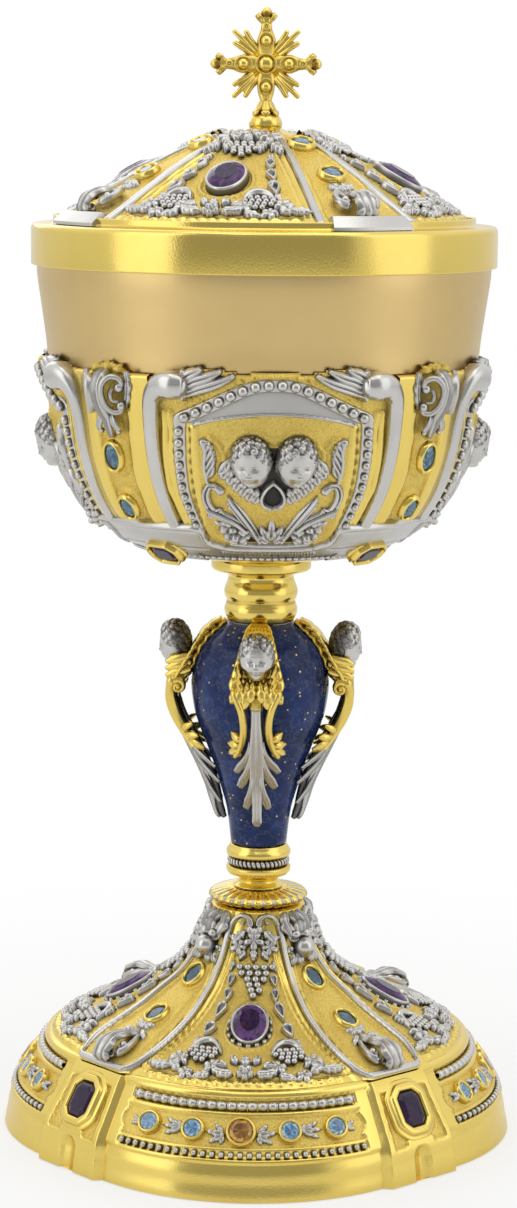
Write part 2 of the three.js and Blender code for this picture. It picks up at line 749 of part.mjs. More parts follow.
function calyxShell() {
  const stations = strapStations([[0, 0], [ribAngle - ribHalfAngle, 0], [ribAngle, ribHeight],
    [ribAngle + ribHalfAngle, 0]], 3);
  const loops = quarterTurns.flatMap((turn) => stations.map(([fromStrap, lift]) => {
    const angle = quarter * turn + quarter / 2 + fromStrap;
    const knob = lift === ribHeight ? ribKnobHeight : lift;
    const outside = calyxStations.map((u, i) => calyxSkin(u, angle, i < 2 ? knob : lift * (1 - u ** 4)));
    const inside = calyxStations.map((u) => calyxSkin(u, angle, -calyxWall));
    return [...outside, ...inside.reverse()];
  }));
  const rimSeat = (turn) => cupStoneSeat(quarter * turn + quarter / 2, cupRimLift);
  const rims = quarterTurns.map((turn) =>
    stoneRim(cupStoneWidth, cupStoneLength).applyMatrix4(rimSeat(turn)));
  return fuse([loft(loops, true), ...rims]);
}

const cupStoneShare = (shareAt(cupCurve, "x", cupStoneRadius) - calyxStart) / (calyxEnd - calyxStart);

function cupStoneSeat(angle, lift) {
  return seatOnSkin(calyxSkin, cupStoneShare, angle, lift);
}

function cherubPlaque() {
  const place = drawnOn(calyxSkin, calyxLength, 0, 0);
  const rows = [[0, 0.25], [0.1, 0.9], [0.35, 1], [0.6, 0.88], [0.85, 0.6], [1, 0.3]];
  const plate = strip(place, rows.map(([share, width]) => [0, plaqueTop + share * plaqueLength,
    width * plaqueHalfAngle * cupRimRadius * 0.9, plaqueThickness]), seatGap, 4);
  const heads = [-cherubSpacing / 2, cherubSpacing / 2].map((aside) =>
    cherubHead((x, y, lift) => place(x + aside, y, lift)));
  return fuse([plate, ...heads]);
}

// A rounded boss in four rings.
function cherubHead(place) {
  const rings = [[0.9, 0.1], [1, 0.35], [0.8, 0.8], [0.4, 1]];
  return loft(rings.map(([size, rise]) => ovalOutline(cherubWidth / 2, cherubHeight / 2, 10).map(([x, y]) =>
    place(x * size, cherubDrop + y * size, seatGap + 0.2 + rise * cherubDepth))), false);
}

// Lid

const spigotOuter = cupRimRadius - cupWall - spigotGap;
const lidSeat = rimHeight + seatGap;

function lidCover() {
  const inner = spigotOuter - spigotWall;
  const hole = domeEdgeRadius - domeSeatWidth;
  const turn = bandRounding;
  const skirt = cupRimRadius + rimGap;
  return turned([[skirt, bandBottom], [bandRadius - turn, bandBottom], [bandRadius, bandBottom + turn],
    [bandRadius, bandTop - turn], [bandRadius - turn, bandTop], [lidLedgeRadius + 0.5, bandTop],
    [lidLedgeRadius, bandTop + lidLedgeHeight],
    [lidLedgeRadius - lidLedgeWall, bandTop + lidLedgeHeight], [lidLedgeRadius - lidLedgeWall, domeSeat],
    [hole, domeSeat], [hole, domeSeat - spigotWall], [inner, domeSeat - spigotWall],
    [inner, rimHeight - spigotLength], [spigotOuter, rimHeight - spigotLength], [spigotOuter, lidSeat],
    [skirt, lidSeat]], wideSides);
}

const domeCurve = meridian([0, domeTop], [domeEdgeRadius, domeEdgeHeight],
  [[0, 0], [0.198, 0.07], [0.396, 0.233], [0.554, 0.419], [0.713, 0.628], [0.871, 0.837], [1, 1]]);
const domeSkin = turnedSkin(domeCurve);
const domeLength = domeCurve.getLength();

function lidDome() {
  const firstShare = shareAt(domeCurve, "x", landingRadius);
  const outerShares = [0, 0.2, 0.4, 0.6, 0.8, 1].map((u) => lerp(firstShare, 1, u));
  const innerShares = [0.88, 0.58, 0.28];
  const stations = strapStations([[0, lidStrapLift],
    [lidStrapHalfAngle - 2 * footStrapEdgeAngle, lidStrapLift],
    [lidStrapHalfAngle - footStrapEdgeAngle, lidStrapCrest], [lidStrapHalfAngle, 0]], 3);
  const loops = quarterTurns.flatMap((turn) => stations.map(([fromStrap, lift]) => {
    const angle = quarter * turn + quarter / 2 + fromStrap;
    const raised = (u, i) => (i === 0 || i === outerShares.length - 1 ? 0 : lift);
    return [
      polar(lidHoleRadius, angle, domeTop),
      ...outerShares.map((u, i) => domeSkin(u, angle, raised(u, i))),
      polar(domeEdgeRadius, angle, domeEdgeHeight - domeWall),
      ...innerShares.map((u) => domeSkin(u, angle, -domeWall)),
      polar(landingRadius, angle, domeTop - domeWall),
      polar(lidHoleRadius, angle, domeTop - domeWall),
    ];
  }));
  const feet = quarterTurns.map((turn) => {
    const place = drawnOn(domeSkin, domeLength, 1, quarter * turn + quarter / 2);
    return lobedPlate(place, -scrollLength * 0.75, scrollHalfWidth, scrollLength / 2, 3, 0.15, -domeWall / 2,
      scrollHeight + domeWall / 2, 12);
  });
  return fuse([loft(loops, true), ...feet]);
}

// Finial

const finialBase = domeTop + seatGap;

function crossArm(length, turn) {
  const radii = [[0.75, 0], [1, 0.36], [0.5, 0.56], [0.95, 0.74], [0.5, 1]];
  const profile = radii.map(([r, share]) => [r * crossArmRadius, share * length]);
  const arm = turned([[0, 0], ...profile, [0, length]], 6);
  const ball = new THREE.SphereGeometry(crossBallRadius, 8, 6);
  ball.translate(0, 0, length);
  return [arm, ball].map((piece) => {
    piece.scale(1, crossThickness, 1);
    piece.rotateY(turn);
    piece.translate(0, 0, crossCentreHeight);
    return piece;
  });
}

function crossRays() {
  const spread = [-0.32, 0, 0.32];
  const turns = [1, 3, 5, 7].flatMap((eighth) => spread.map((aside) => [eighth * quarter / 2, aside]));
  return turns.map(([middle, aside]) => {
    const turn = middle + aside;
    const length = aside === 0 ? rayLength : sideRayLength;
    const ray = turned([[0, 0], [rayRadius, length * 0.1], [0, length]], 4);
    ray.rotateY(turn);
    ray.translate(0, 0, crossCentreHeight);
    return ray;
  });
}

function finialCross() {
  const armLength = crossSpan - crossBallRadius;
  const stemTop = crossCentreHeight - armLength;
  const nutSpace = finialNutHeight + 2 * seatGap + domeWall + seatGap;
  const base = [[0.8, 0], [1, 0.35], [0.85, 0.75]].map(([r, share]) =>
    [r * finialBaseRadius, share * finialBaseHeight]);
  const stem = turned([[0, -nutSpace], [finialShankRadius, -nutSpace], [finialShankRadius, 0], ...base,
    [crossStemRadius, finialBaseHeight], [crossStemRadius, stemTop], [0, stemTop]], 12);
  const boss = new THREE.SphereGeometry(crossBossRadius, 8, 6);
  boss.scale(1, crossThickness, 1);
  boss.translate(0, 0, crossCentreHeight);
  const arms = [0, 1, 2, 3].flatMap((turn) => crossArm(armLength, turn * quarter));
  return fuse([stem, boss, ...arms, ...crossRays()]);
}

// Assembly

function piece(name, geometry, material) {
  const mesh = new THREE.Mesh(geometry, material.clone());
  mesh.name = name;
  return mesh;
}

function level(height, ...members) {
  const group = new THREE.Group();
  group.position.z = height;
  group.add(...members);
  return group;
}

// Four turned copies of the meshes that make() gives for the copy's number.
function fourRound(make, firstTurn = 0) {
  return quarterTurns.map((turn) => {
    const group = new THREE.Group();
    group.rotation.z = firstTurn + quarter * turn;
    group.add(...make(turn + 1));
    return group;
  });
}

function turnedRound(angle, ...members) {
  const group = new THREE.Group();
  group.rotation.z = angle;
  group.add(...members);
  return group;
}

function seated(mesh, matrix) {
  mesh.applyMatrix4(matrix);
  return mesh;
}

const ovalStone = cutStone(ovalOutline(ovalHalfWidth, ovalHalfLength, 10), ovalHeight);
const plinthStone = cutStone(
  cutCornerOutline(plinthStoneWidth / 2, plinthStoneLength / 2, stoneCorner), stoneHeight);
const cupStone = cutStone(cutCornerOutline(cupStoneWidth / 2, cupStoneLength / 2, stoneCorner), stoneHeight);
const ovalSeat = 2 * seatGap;

function footGroup() {
  const ovalShare = shareAt(footCurve, "x", footOvalRadius);
  const garlandShare = shareAt(footCurve, "x", footGarlandRadius);
  const vine = vineMount(footSkin, footCurveLength, ovalShare, garlandShare, footGarlandRadius);
  const scroll = scrollMount((u, a, lift) => footSkin(u, a, lift + footStrapLift), footCurveLength,
    shareAt(footCurve, "x", footScrollRadius));
  const ovalPlace = seatOnSkin(footSkin, ovalShare, 0, ovalSeat);
  const plinthPlace = plinthSeat(quarter / 2, seatGap);
  return turnedRound(footTurn, piece("foot_shell", footShell(), gilt), ...fourRound((number) => [
    piece(`foot_vine_${number}`, vine, silver),
    seated(piece(`foot_amethyst_${number}`, ovalStone, amethyst), ovalPlace),
    seated(piece(`plinth_amethyst_${number}`, plinthStone, amethyst), plinthPlace),
    piece(`foot_scroll_${number}`, scroll, silver),
  ]));
}

function stemGroup() {
  const spine = fuse([bracketSpine(), bracketScroll()]);
  const head = angelHead();
  const nut = hexNut(nutAcrossFlats, boreRadius, nutHeight);
  const washer = ring(boreRadius, washerRadius, washerThickness, narrowSides);
  const group = new THREE.Group();
  group.add(
    level(discBase, piece("fluted_disc", flutedDisc(), gilt)),
    level(lowerCollarBase, piece("lower_collar", lowerCollar(), gilt)),
    level(ropeBase, piece("rope_band", ropeBand(), silver)),
    level(knopBase, piece("lapis_knop", lapisKnop(), lapis), ...fourRound((number) => [
      piece(`angel_bracket_${number}`, spine, gilt),
      piece(`angel_head_${number}`, head, silver),
    ], bracketTurn)),
    level(upperCollarBase, piece("upper_collar", upperCollar(), gilt)),
    piece("tie_rod", tieRod(), steel),
    level(washerTop - washerThickness, piece("tie_washer", washer, steel)),
    level(nutTop - nutHeight, piece("tie_nut", nut, steel)));
  return group;
}

function cupGroup() {
  const plaque = cherubPlaque();
  const place = drawnOn(calyxSkin, calyxLength, 0, quarter / 2);
  const scroll = lobedPlate(place, calyxScrollDrop, scrollHalfWidth, scrollLength * 0.7, 4, 0.15,
    seatGap + 0.2, scrollHeight, 12);
  const stonePlace = cupStoneSeat(quarter / 2, cupStoneLift);
  const calyx = turnedRound(calyxTurn, piece("calyx_shell", calyxShell(), silver), ...fourRound((number) => [
    piece(`cherub_plaque_${number}`, plaque, silver),
    piece(`calyx_scroll_${number}`, scroll, silver),
    seated(piece(`calyx_amethyst_${number}`, cupStone, amethyst), stonePlace),
  ]));
  return level(cupBase, piece("cup_bowl", cupBowl(), champagneGilt), calyx);
}

function lidGroup() {
  const ovalShare = shareAt(domeCurve, "x", lidOvalRadius);
  const garlandShare = shareAt(domeCurve, "x", lidGarlandRadius);
  const vine = vineMount(domeSkin, domeLength, ovalShare, garlandShare, lidGarlandRadius);
  const ovalPlace = seatOnSkin(domeSkin, ovalShare, 0, ovalSeat);
  return turnedRound(lidTurn,
    piece("lid_cover", lidCover(), gilt),
    piece("lid_dome", lidDome(), gilt),
    turnedRound(crossTurn, level(finialBase, piece("finial_cross", finialCross(), gilt))),
    level(domeTop - domeWall - seatGap - finialNutHeight,
      piece("finial_nut", hexNut(finialNutAcrossFlats, lidHoleRadius, finialNutHeight), steel)),
    ...fourRound((number) => [
      piece(`lid_vine_${number}`, vine, silver),
      seated(piece(`lid_amethyst_${number}`, ovalStone, amethyst), ovalPlace),
    ]));
}

const chalice = new THREE.Group();
chalice.name = "covered_chalice";
chalice.add(footGroup(), stemGroup(), cupGroup(), lidGroup());

export default chalice;
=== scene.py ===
import json

import bpy
import numpy as np
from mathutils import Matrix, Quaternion, Vector

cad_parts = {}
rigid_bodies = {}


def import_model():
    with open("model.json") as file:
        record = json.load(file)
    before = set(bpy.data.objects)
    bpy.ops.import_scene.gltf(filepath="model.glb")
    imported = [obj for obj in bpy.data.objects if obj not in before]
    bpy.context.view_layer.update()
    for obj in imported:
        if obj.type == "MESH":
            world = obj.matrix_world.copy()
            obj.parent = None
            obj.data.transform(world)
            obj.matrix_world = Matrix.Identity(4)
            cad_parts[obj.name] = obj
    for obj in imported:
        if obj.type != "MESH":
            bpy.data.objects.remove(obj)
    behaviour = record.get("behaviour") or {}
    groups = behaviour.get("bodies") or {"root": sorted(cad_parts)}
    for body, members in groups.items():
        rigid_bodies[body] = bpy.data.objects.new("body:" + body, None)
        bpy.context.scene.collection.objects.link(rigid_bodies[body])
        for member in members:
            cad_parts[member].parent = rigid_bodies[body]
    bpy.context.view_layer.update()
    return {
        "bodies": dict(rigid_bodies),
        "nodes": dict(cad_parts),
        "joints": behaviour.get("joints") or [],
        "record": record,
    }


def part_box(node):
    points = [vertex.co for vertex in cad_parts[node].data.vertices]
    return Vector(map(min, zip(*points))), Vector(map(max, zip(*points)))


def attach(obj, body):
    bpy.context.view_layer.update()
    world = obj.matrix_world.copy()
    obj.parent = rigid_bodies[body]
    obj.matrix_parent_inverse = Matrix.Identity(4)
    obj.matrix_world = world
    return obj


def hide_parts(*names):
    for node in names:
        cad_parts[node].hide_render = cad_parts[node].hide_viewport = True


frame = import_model()

# Covered chalice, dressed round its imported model. Shapes are worked out in millimetres, the front
# is -Y, and an angle runs from the front towards +X. A piece's mesh is written in metres.

metre = 0.001
turns = {"foot": -3.5, "bracket": -2.5, "calyx": 3.0, "lid": -16.0}
quarters = [0, 90, 180, 270]


# Shapes: a shape is a dict of points, faces, tone (1 bare metal, 0 deep in a recess; tone also carries painted
# shade, and on cut stones painted reflections) and grain

# Rows and columns of a grid joined by four-sided faces, closed round in either direction if asked
def gridFaces(rows, columns, closesDown=False, closesRound=False):
    down = np.arange(rows if closesDown else rows - 1)[:, None]
    across = np.arange(columns if closesRound else columns - 1)[None, :]
    below = (down + 1) % rows
    beside = (across + 1) % columns
    top, bottom = down * columns, below * columns
    corners = [top + across, bottom + across, bottom + beside, top + beside]
    return np.stack(np.broadcast_arrays(*corners), axis=-1).reshape(-1, 4)


def shapeOf(points, faces, tone=1.0, grain=0.0):
    points = np.asarray(points, float).reshape(-1, 3)
    spread = lambda value: np.broadcast_to(np.asarray(value, float).reshape(-1), len(points)).copy()
    return {"points": points, "faces": [faces] if isinstance(faces, np.ndarray) else list(faces),
            "tone": spread(tone), "grain": spread(grain)}


def joined(shapes):
    starts = np.cumsum([0] + [len(s["points"]) for s in shapes])
    return {"points": np.concatenate([s["points"] for s in shapes]),
            "faces": [f + start for s, start in zip(shapes, starts) for f in s["faces"]],
            "tone": np.concatenate([s["tone"] for s in shapes]),
            "grain": np.concatenate([s["grain"] for s in shapes])}


def turnedShape(shape, degrees):
    angle = np.radians(degrees)
    c, s = np.cos(angle), np.sin(angle)
    x, y, z = shape["points"].T
    points = np.stack([x * c - y * s, x * s + y * c, z], axis=1)
    return {**shape, "points": points}


def flipped(shape):
    return {**shape, "faces": [f[:, ::-1] for f in shape["faces"]]}


# Puts a shape into Blender as a piece of the chalice that moves with its body. Cut stones keep their facets.
def addPiece(name, shape, material, replaced=(), body="stand", isFlat=False):
    mesh = bpy.data.meshes.new(name)
    corners = np.concatenate([f.reshape(-1) for f in shape["faces"]]).astype(np.int32)
    sizes = np.concatenate([np.full(len(f), f.shape[1]) for f in shape["faces"]])
    mesh.vertices.add(len(shape["points"]))
    mesh.vertices.foreach_set("co", (shape["points"] * metre).astype(np.float32).reshape(-1))
    mesh.loops.add(len(corners))
    mesh.loops.foreach_set("vertex_index", corners)
    mesh.polygons.add(len(sizes))
    mesh.polygons.foreach_set("loop_start", np.concatenate([[0], np.cumsum(sizes)[:-1]]).astype(np.int32))
    for key in ("tone", "grain"):
        mesh.attributes.new(key, "FLOAT", "POINT").data.foreach_set("value", shape[key].astype(np.float32))
    mesh.materials.append(material)
    mesh.update(calc_edges=True)
    mesh.validate()
    mesh.shade_flat() if isFlat or material in cutStones else mesh.shade_smooth()
    piece = bpy.data.objects.new(name, mesh)
    bpy.context.scene.collection.objects.link(piece)
    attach(piece, body)
    if replaced:
        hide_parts(*replaced)
    return piece


# Four turned copies of a shape, each a piece of its own. A replaced node is named for the copy's number,
# and the first copy replaces the node that there is only one of.
def addFour(name, shape, material, firstTurn, replaced=None, once=None, body="stand", isFlat=False):
    for number, turn in enumerate(quarters, 1):
        nodes = [f"{replaced}_{number}"] if replaced else [once] if once and number == 1 else []
        addPiece(f"{name}_{number}", turnedShape(shape, firstTurn + turn), material, nodes, body, isFlat)


def polar(radius, angle, height):
    return np.stack(np.broadcast_arrays(radius * np.sin(angle), -radius * np.cos(angle), height), axis=-1)


# The profile in the order that runs down its outside, so that its faces point out
def downOutside(profile, tone=1.0):
    profile = np.asarray(profile, float)
    tone = np.broadcast_to(np.asarray(tone, float), len(profile))
    r, z = profile.T
    area = np.sum(r * np.roll(z, -1) - np.roll(r, -1) * z)
    return (profile[::-1], tone[::-1]) if area > 0 else (profile, tone)


# A profile of radius and height turned round the axis; its ends lie on the axis or it closes on itself
def lathe(profile, count=160, tone=1.0, grain=0.0):
    profile, tone = downOutside(profile, tone)
    angle = np.linspace(0, 2 * np.pi, count, endpoint=False)
    onAxis = profile[:, 0] < 1e-6
    ring = profile[~onAxis]
    closes = not onAxis.any()
    points = polar(ring[:, None, 0], angle[None, :], ring[:, None, 1]).reshape(-1, 3)
    faces = [gridFaces(len(ring), count, closesDown=closes, closesRound=True)]
    spread = lambda value: np.repeat(np.broadcast_to(np.asarray(value, float), len(profile))[~onAxis], count)
    tones, grains = spread(tone), spread(grain)
    for end, first in ((0, 0), (-1, len(points) - count)):
        if onAxis[end]:
            middle = len(points)
            points = np.vstack([points, [0, 0, profile[end, 1]]])
            tones, grains = np.append(tones, tones[first]), np.append(grains, grains[first])
            side = first + np.arange(count)
            fan = [side, np.roll(side, -1), np.full(count, middle)]
            faces.append(np.stack(fan if end else fan[::-1], axis=1))
    return shapeOf(points, faces, tones, grains)


# A profile whose corners are rounded: each corner becomes a short curve between its two sides
def softened(corners, radius=0.4, steps=4, closes=True):
    corners = np.asarray(corners, float)
    made = []
    for i, corner in enumerate(corners):
        if not closes and i in (0, len(corners) - 1):
            made.append(corner[None])
            continue
        before, after = corners[i - 1] - corner, corners[(i + 1) % len(corners)] - corner
        reach = min(radius, 0.4 * np.linalg.norm(before), 0.4 * np.linalg.norm(after))
        start = corner + before / np.linalg.norm(before) * reach
        end = corner + after / np.linalg.norm(after) * reach
        t = np.linspace(0, 1, steps + 1)[:, None]
        made.append((1 - t) ** 2 * start + 2 * t * (1 - t) * corner + t ** 2 * end)
    return np.concatenate(made)


# A smooth curve through stops, at the given steps along them (Catmull-Rom)
def throughStops(stops, t):
    padded = np.vstack([stops[0], stops, stops[-1]])
    part = np.minimum(t.astype(int), len(stops) - 2)
    u = (t - part)[:, None]
    a, b, c, d = (padded[part + k] for k in range(4))
    square, cube = 2 * a - 5 * b + 4 * c - d, 3 * b - a - 3 * c + d
    return 0.5 * (2 * b + (c - a) * u + square * u ** 2 + cube * u ** 3)


# A smooth curve through stops of radius and height, evened out by its length, with the direction that
# points out of it on its run downwards
def meridian(stops, samples=500):
    stops = np.asarray(stops, float)
    curve = throughStops(stops, np.linspace(0, len(stops) - 1, samples * 4))
    run = np.concatenate([[0], np.cumsum(np.linalg.norm(np.diff(curve, axis=0), axis=1))])
    down = np.linspace(0, run[-1], samples)
    r, z = np.interp(down, run, curve[:, 0]), np.interp(down, run, curve[:, 1])
    slope = np.stack([np.gradient(r), np.gradient(z)])
    slope = slope / np.linalg.norm(slope, axis=0)
    return {"length": run[-1], "down": down, "r": r, "z": z, "outR": -slope[1], "outZ": slope[0]}


# Radius and height at a length down a meridian, lifted off it along its outward direction
def onMeridian(curve, down, lift=0.0):
    at = lambda key: np.interp(down, curve["down"], curve[key])
    return at("r") + lift * at("outR"), at("z") + lift * at("outZ")


def downAtRadius(curve, radius):
    order = np.argsort(curve["r"])
    return np.interp(radius, curve["r"][order], curve["down"][order])


def downAtHeight(curve, height):
    order = np.argsort(curve["z"])
    return np.interp(height, curve["z"][order], curve["down"][order])


def nodeBox(node):
    low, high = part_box(node)
    return np.array(low) / metre, np.array(high) / metre


def stepUp(value, low, high):
    t = np.clip((value - low) / (high - low), 0, 1)
    return t * t * (3 - 2 * t)


# Relief: a chart is a grid laid on a skin, with places across and lengths down it in even steps,
# and a height over every point of it. A skin gives the point at a length down, a place across and a lift.

def turnedSkin(curve):
    def skin(down, across, lift):
        radius, height = onMeridian(curve, down, lift)
        return polar(radius, across, height)
    return skin


# A chart between two places across, in degrees on a turned skin or in millimetres on a flat one
def chartOn(skin, acrossRange, downRange, cell, unit=np.radians(1), start=-0.7):
    down = np.linspace(*downRange, int((downRange[1] - downRange[0]) / cell) + 2)
    first, last = acrossRange[0] * unit, acrossRange[1] * unit
    middle = skin(down, (first + last) / 2, 0.0)
    radius = np.hypot(middle[:, 0], middle[:, 1]) if unit != 1 else np.ones(len(down))
    across = np.linspace(first, last, int((last - first) * radius.max() / cell) + 2)
    # A chart's shade, 1 here, is lowered where shade is painted on its relief
    return {"skin": skin, "down": down, "across": across, "radius": radius, "unit": unit, "cell": cell,
            "height": np.full((len(down), len(across)), float(start)), "shade": 1.0, "grain": 0.0}


def radiusAt(chart, down):
    return np.interp(down, chart["down"], chart["radius"])


# The part of a chart within reach of a place, in millimetres along a motif (v) and to its side (u).
# A motif's turn is 0 if it points down the skin, 90 if it points across and 180 if it points up.
def windowOf(chart, across, down, turn, reach):
    rows = np.flatnonzero(np.abs(chart["down"] - down) < reach)
    aside = (chart["across"] - across * chart["unit"]) * radiusAt(chart, down)
    columns = np.flatnonzero(np.abs(aside) < 1.25 * reach)
    if len(rows) < 2 or len(columns) < 2:
        return None
    part = (slice(rows[0], rows[-1] + 1), slice(columns[0], columns[-1] + 1))
    x = (chart["across"][part[1]] - across * chart["unit"])[None, :] * chart["radius"][part[0]][:, None]
    y = chart["down"][part[0]][:, None] - down
    t = np.radians(turn)
    return part, x * np.cos(t) - y * np.sin(t), x * np.sin(t) + y * np.cos(t)


# Along each stretch of a path of across, down, half width and height: the part of a chart near it, how
# far each point lies from it, and the half width and height there
def alongPath(chart, path):
    for (a0, d0, w0, h0), (a1, d1, w1, h1) in zip(path[:-1], path[1:]):
        middle, reach = (d0 + d1) / 2, max(w0, w1) + 0.8
        sx, sy = (a1 - a0) * chart["unit"] * radiusAt(chart, middle), d1 - d0
        length = np.hypot(sx, sy)
        found = windowOf(chart, (a0 + a1) / 2, middle, 0, length / 2 + reach)
        if found:
            part, x, y = found
            t = np.clip((x * sx + y * sy) / max(length ** 2, 1e-9) + 0.5, 0, 1)
            away = np.hypot(x - (t - 0.5) * sx, y - (t - 0.5) * sy)
            yield part, away, w0 + (w1 - w0) * t, h0 + (h1 - h0) * t


# Lays a motif on a chart where it stands higher than what is there
def emboss(chart, across, down, turn, reach, motif, base=0.0):
    found = windowOf(chart, across, down, turn, reach)
    if found:
        part, u, v = found
        raised = motif(u, v)
        chart["height"][part] = np.maximum(chart["height"][part], np.where(raised > 0, base + raised, raised))


# Height over an outline: a quarter circle over the given width inside it, falling away outside it
def roundedEdge(inside, width, height):
    t = np.clip(inside / width, 0, 1)
    return np.where(inside > 0, height * np.sqrt(1 - (1 - t) ** 2), 2.0 * inside)


def domeMotif(halfWidth, halfLength, height):
    def motif(u, v):
        away = np.sqrt((u / halfWidth) ** 2 + (v / halfLength) ** 2)
        return roundedEdge((1 - away) * min(halfWidth, halfLength), min(halfWidth, halfLength), height)
    return motif


# A leaf along v: its half width is a sine of its length, cut into lobes that lean forwards, with
# a groove down its middle and one between each two lobes
def leafMotif(length, width, height, lobes=4, cut=0.22, groove=0.3):
    lean = 0.7

    def motif(u, v):
        t = np.clip(v / length, 0, 1)
        scallop = np.abs(np.sin(np.pi * lobes * (v - lean * np.abs(u)) / length))
        edge = width / 2 * np.sin(np.pi * t ** 0.8) * (1 - cut + cut * scallop)
        inside = np.minimum(edge - np.abs(u), np.minimum(v + 0.2, length - v))
        side = np.exp(-((scallop / 0.45) ** 2)) * np.clip(np.abs(u) / (0.3 * width), 0, 1)
        veins = groove * np.exp(-((u / (0.09 * width + 0.06)) ** 2)) + 0.8 * groove * side
        return roundedEdge(inside, 0.32 * width, height) - np.where(inside > 0, veins, 0)

    return motif


# A vine leaf round its stalk's end: five toothed lobes, each with a vein down it
def vineLeafMotif(size, height):
    def motif(u, v):
        away, angle = np.hypot(u, v), np.arctan2(u, v)
        lobe = np.abs(np.cos(2.5 * angle))
        teeth = 0.05 * np.abs(np.sin(12.5 * angle))
        outline = size * (0.5 + 0.42 * lobe ** 0.8 + teeth) * (0.86 + 0.14 * np.cos(angle))
        vein = np.exp(-((away * np.sin(2.5 * angle) / (0.4 * np.sqrt(size) + 0.1)) ** 2)) * 0.3
        fold = 0.3 * height * (1 - lobe)
        inside = outline - away
        return roundedEdge(inside, 0.4 * size, height) - np.where(inside > 0, vein + fold, 0)
    return motif


# A flower of round petals about a button
def rosetteMotif(size, height, petals=5):
    def motif(u, v):
        away, angle = np.hypot(u, v), np.arctan2(u, v)
        petal = np.abs(np.cos(petals * angle / 2))
        inside = size * (0.66 + 0.34 * petal ** 0.7) - away
        cup = 0.35 * height * np.exp(-((away - 0.45 * size) / (0.16 * size)) ** 2)
        button = np.where(away < 0.3 * size,
                          0.4 * height * np.sqrt(np.clip(1 - (away / (0.3 * size)) ** 2, 0, 1)), 0)
        folds = 0.3 * height * (1 - petal) * np.clip(away / size, 0, 1)
        return roundedEdge(inside, 0.3 * size, height) - np.where(inside > 0, cup + folds - button, 0)
    return motif


# A line drawn along a path: round in section (sharp 1) or flat on top with a rounded edge (sharp under 1)
def drawLine(chart, path, base=0.0, sharp=1.0):
    for part, away, half, tall in alongPath(chart, path):
        inside = half - away
        raised = np.where(inside > 0, base + roundedEdge(inside, sharp * half, tall), 2.0 * inside)
        chart["height"][part] = np.maximum(chart["height"][part], raised)


# A groove scored along a path into whatever stands on a chart
def scoreLine(chart, path):
    cut = np.zeros(chart["height"].shape)
    for part, away, half, deep in alongPath(chart, path):
        cut[part] = np.maximum(cut[part], deep * np.exp(-((away / half) ** 2)))
    height = chart["height"]
    chart["height"] = np.where(height > 0, np.maximum(height - cut, np.minimum(height, 0.1)), height)


def mirroredPath(path):
    return [(-stop[0], *stop[1:]) for stop in path]


# Draws a path and its mirror image, or scores them, each smoothed by the given steps
def drawBoth(chart, path, sharp=1.0, base=0.0, steps=6):
    for stops in (mirroredPath(path), path):
        drawLine(chart, smoothPath(stops, steps), base, sharp)


def scoreBoth(chart, path, steps=6):
    for stops in (mirroredPath(path), path):
        scoreLine(chart, smoothPath(stops, steps))


# Lays motifs on both sides of a chart: each with its place across and in height, its turn and its sizes
def strew(chart, curve, marks, base=0.2, grow=1.0, **form):
    for kind, across, height, turn, *sizes in marks:
        sizes = [sizes[0] * grow, sizes[1] * (grow if len(sizes) > 2 else 1), *sizes[2:]]
        down = float(downAtHeight(curve, height))
        for side in ((-1, 1) if across else (1,)):
            emboss(chart, side * across, down, side * turn, 1.3 * sizes[0] + 1, kind(*sizes, **form), base)


# A field smoothed over a square of cells, twice each way
def blurred(field, cells):
    cells = max(1, int(cells))
    for axis in (0, 1, 0, 1):
        padding = [(0, 0), (0, 0)]
        padding[axis] = (cells + 1, cells)
        sums = np.cumsum(np.pad(field, padding, mode="edge"), axis=axis)
        count = field.shape[axis]
        high = np.take(sums, np.arange(2 * cells + 1, 2 * cells + 1 + count), axis=axis)
        low = np.take(sums, np.arange(count), axis=axis)
        field = (high - low) / (2 * cells + 1)
    return field


# Fills a casting's gaps that are narrower than the reach with a low plate, painted dark as the shade between the
# castings
def fillGaps(chart, reach, share=0.5, level=0.1):
    solid = blurred((chart["height"] > 0).astype(float), reach / chart["cell"])
    plate = (solid > share) & (chart["height"] < level)
    chart["height"] = np.where(plate, level, chart["height"])
    chart["shade"] = np.where(plate, 0.04, chart["shade"])


# A chart's surface as a shape. Where it lies under the skin it is cut away, and its edge goes down
# to the sunk level; crests are bare and hollows dark, the foot of every edge is darkened as painted shade, and
# so is wherever the chart's shade is low. What counts as a hollow is the height against its mean over a near and
# a wider square.
def reliefShape(chart, sink=-0.25, depth=0.9, foot=0.45, cuts=True, darkest=0.0, level=0.68, gain=1.1):
    height = chart["height"]
    lifted = np.maximum(height, sink)
    means = [blurred(lifted, share * depth / chart["cell"]) for share in (1.0, 0.4)]
    tone = np.clip(level + gain * (height - sum(means) / 2), darkest, 1)
    # Painted shade: the foot of every edge, and wherever the chart's shade is below 1
    if foot:
        tone = tone * (0.3 + 0.7 * stepUp(height, -0.1, foot))
    tone = tone * chart["shade"]
    points = chart["skin"](chart["down"][:, None], chart["across"][None, :], lifted)
    faces = gridFaces(*height.shape)
    grains = np.broadcast_to(chart["grain"], height.shape).reshape(-1)
    tones = tone.reshape(-1)
    points = points.reshape(-1, 3)
    if cuts:
        faces = faces[(height.reshape(-1)[faces] > 0).any(axis=1)]
        used = np.unique(faces)
        place = np.full(len(points), -1)
        place[used] = np.arange(len(used))
        return shapeOf(points[used], place[faces], tones[used], grains[used])
    return shapeOf(points, faces, tones, grains)
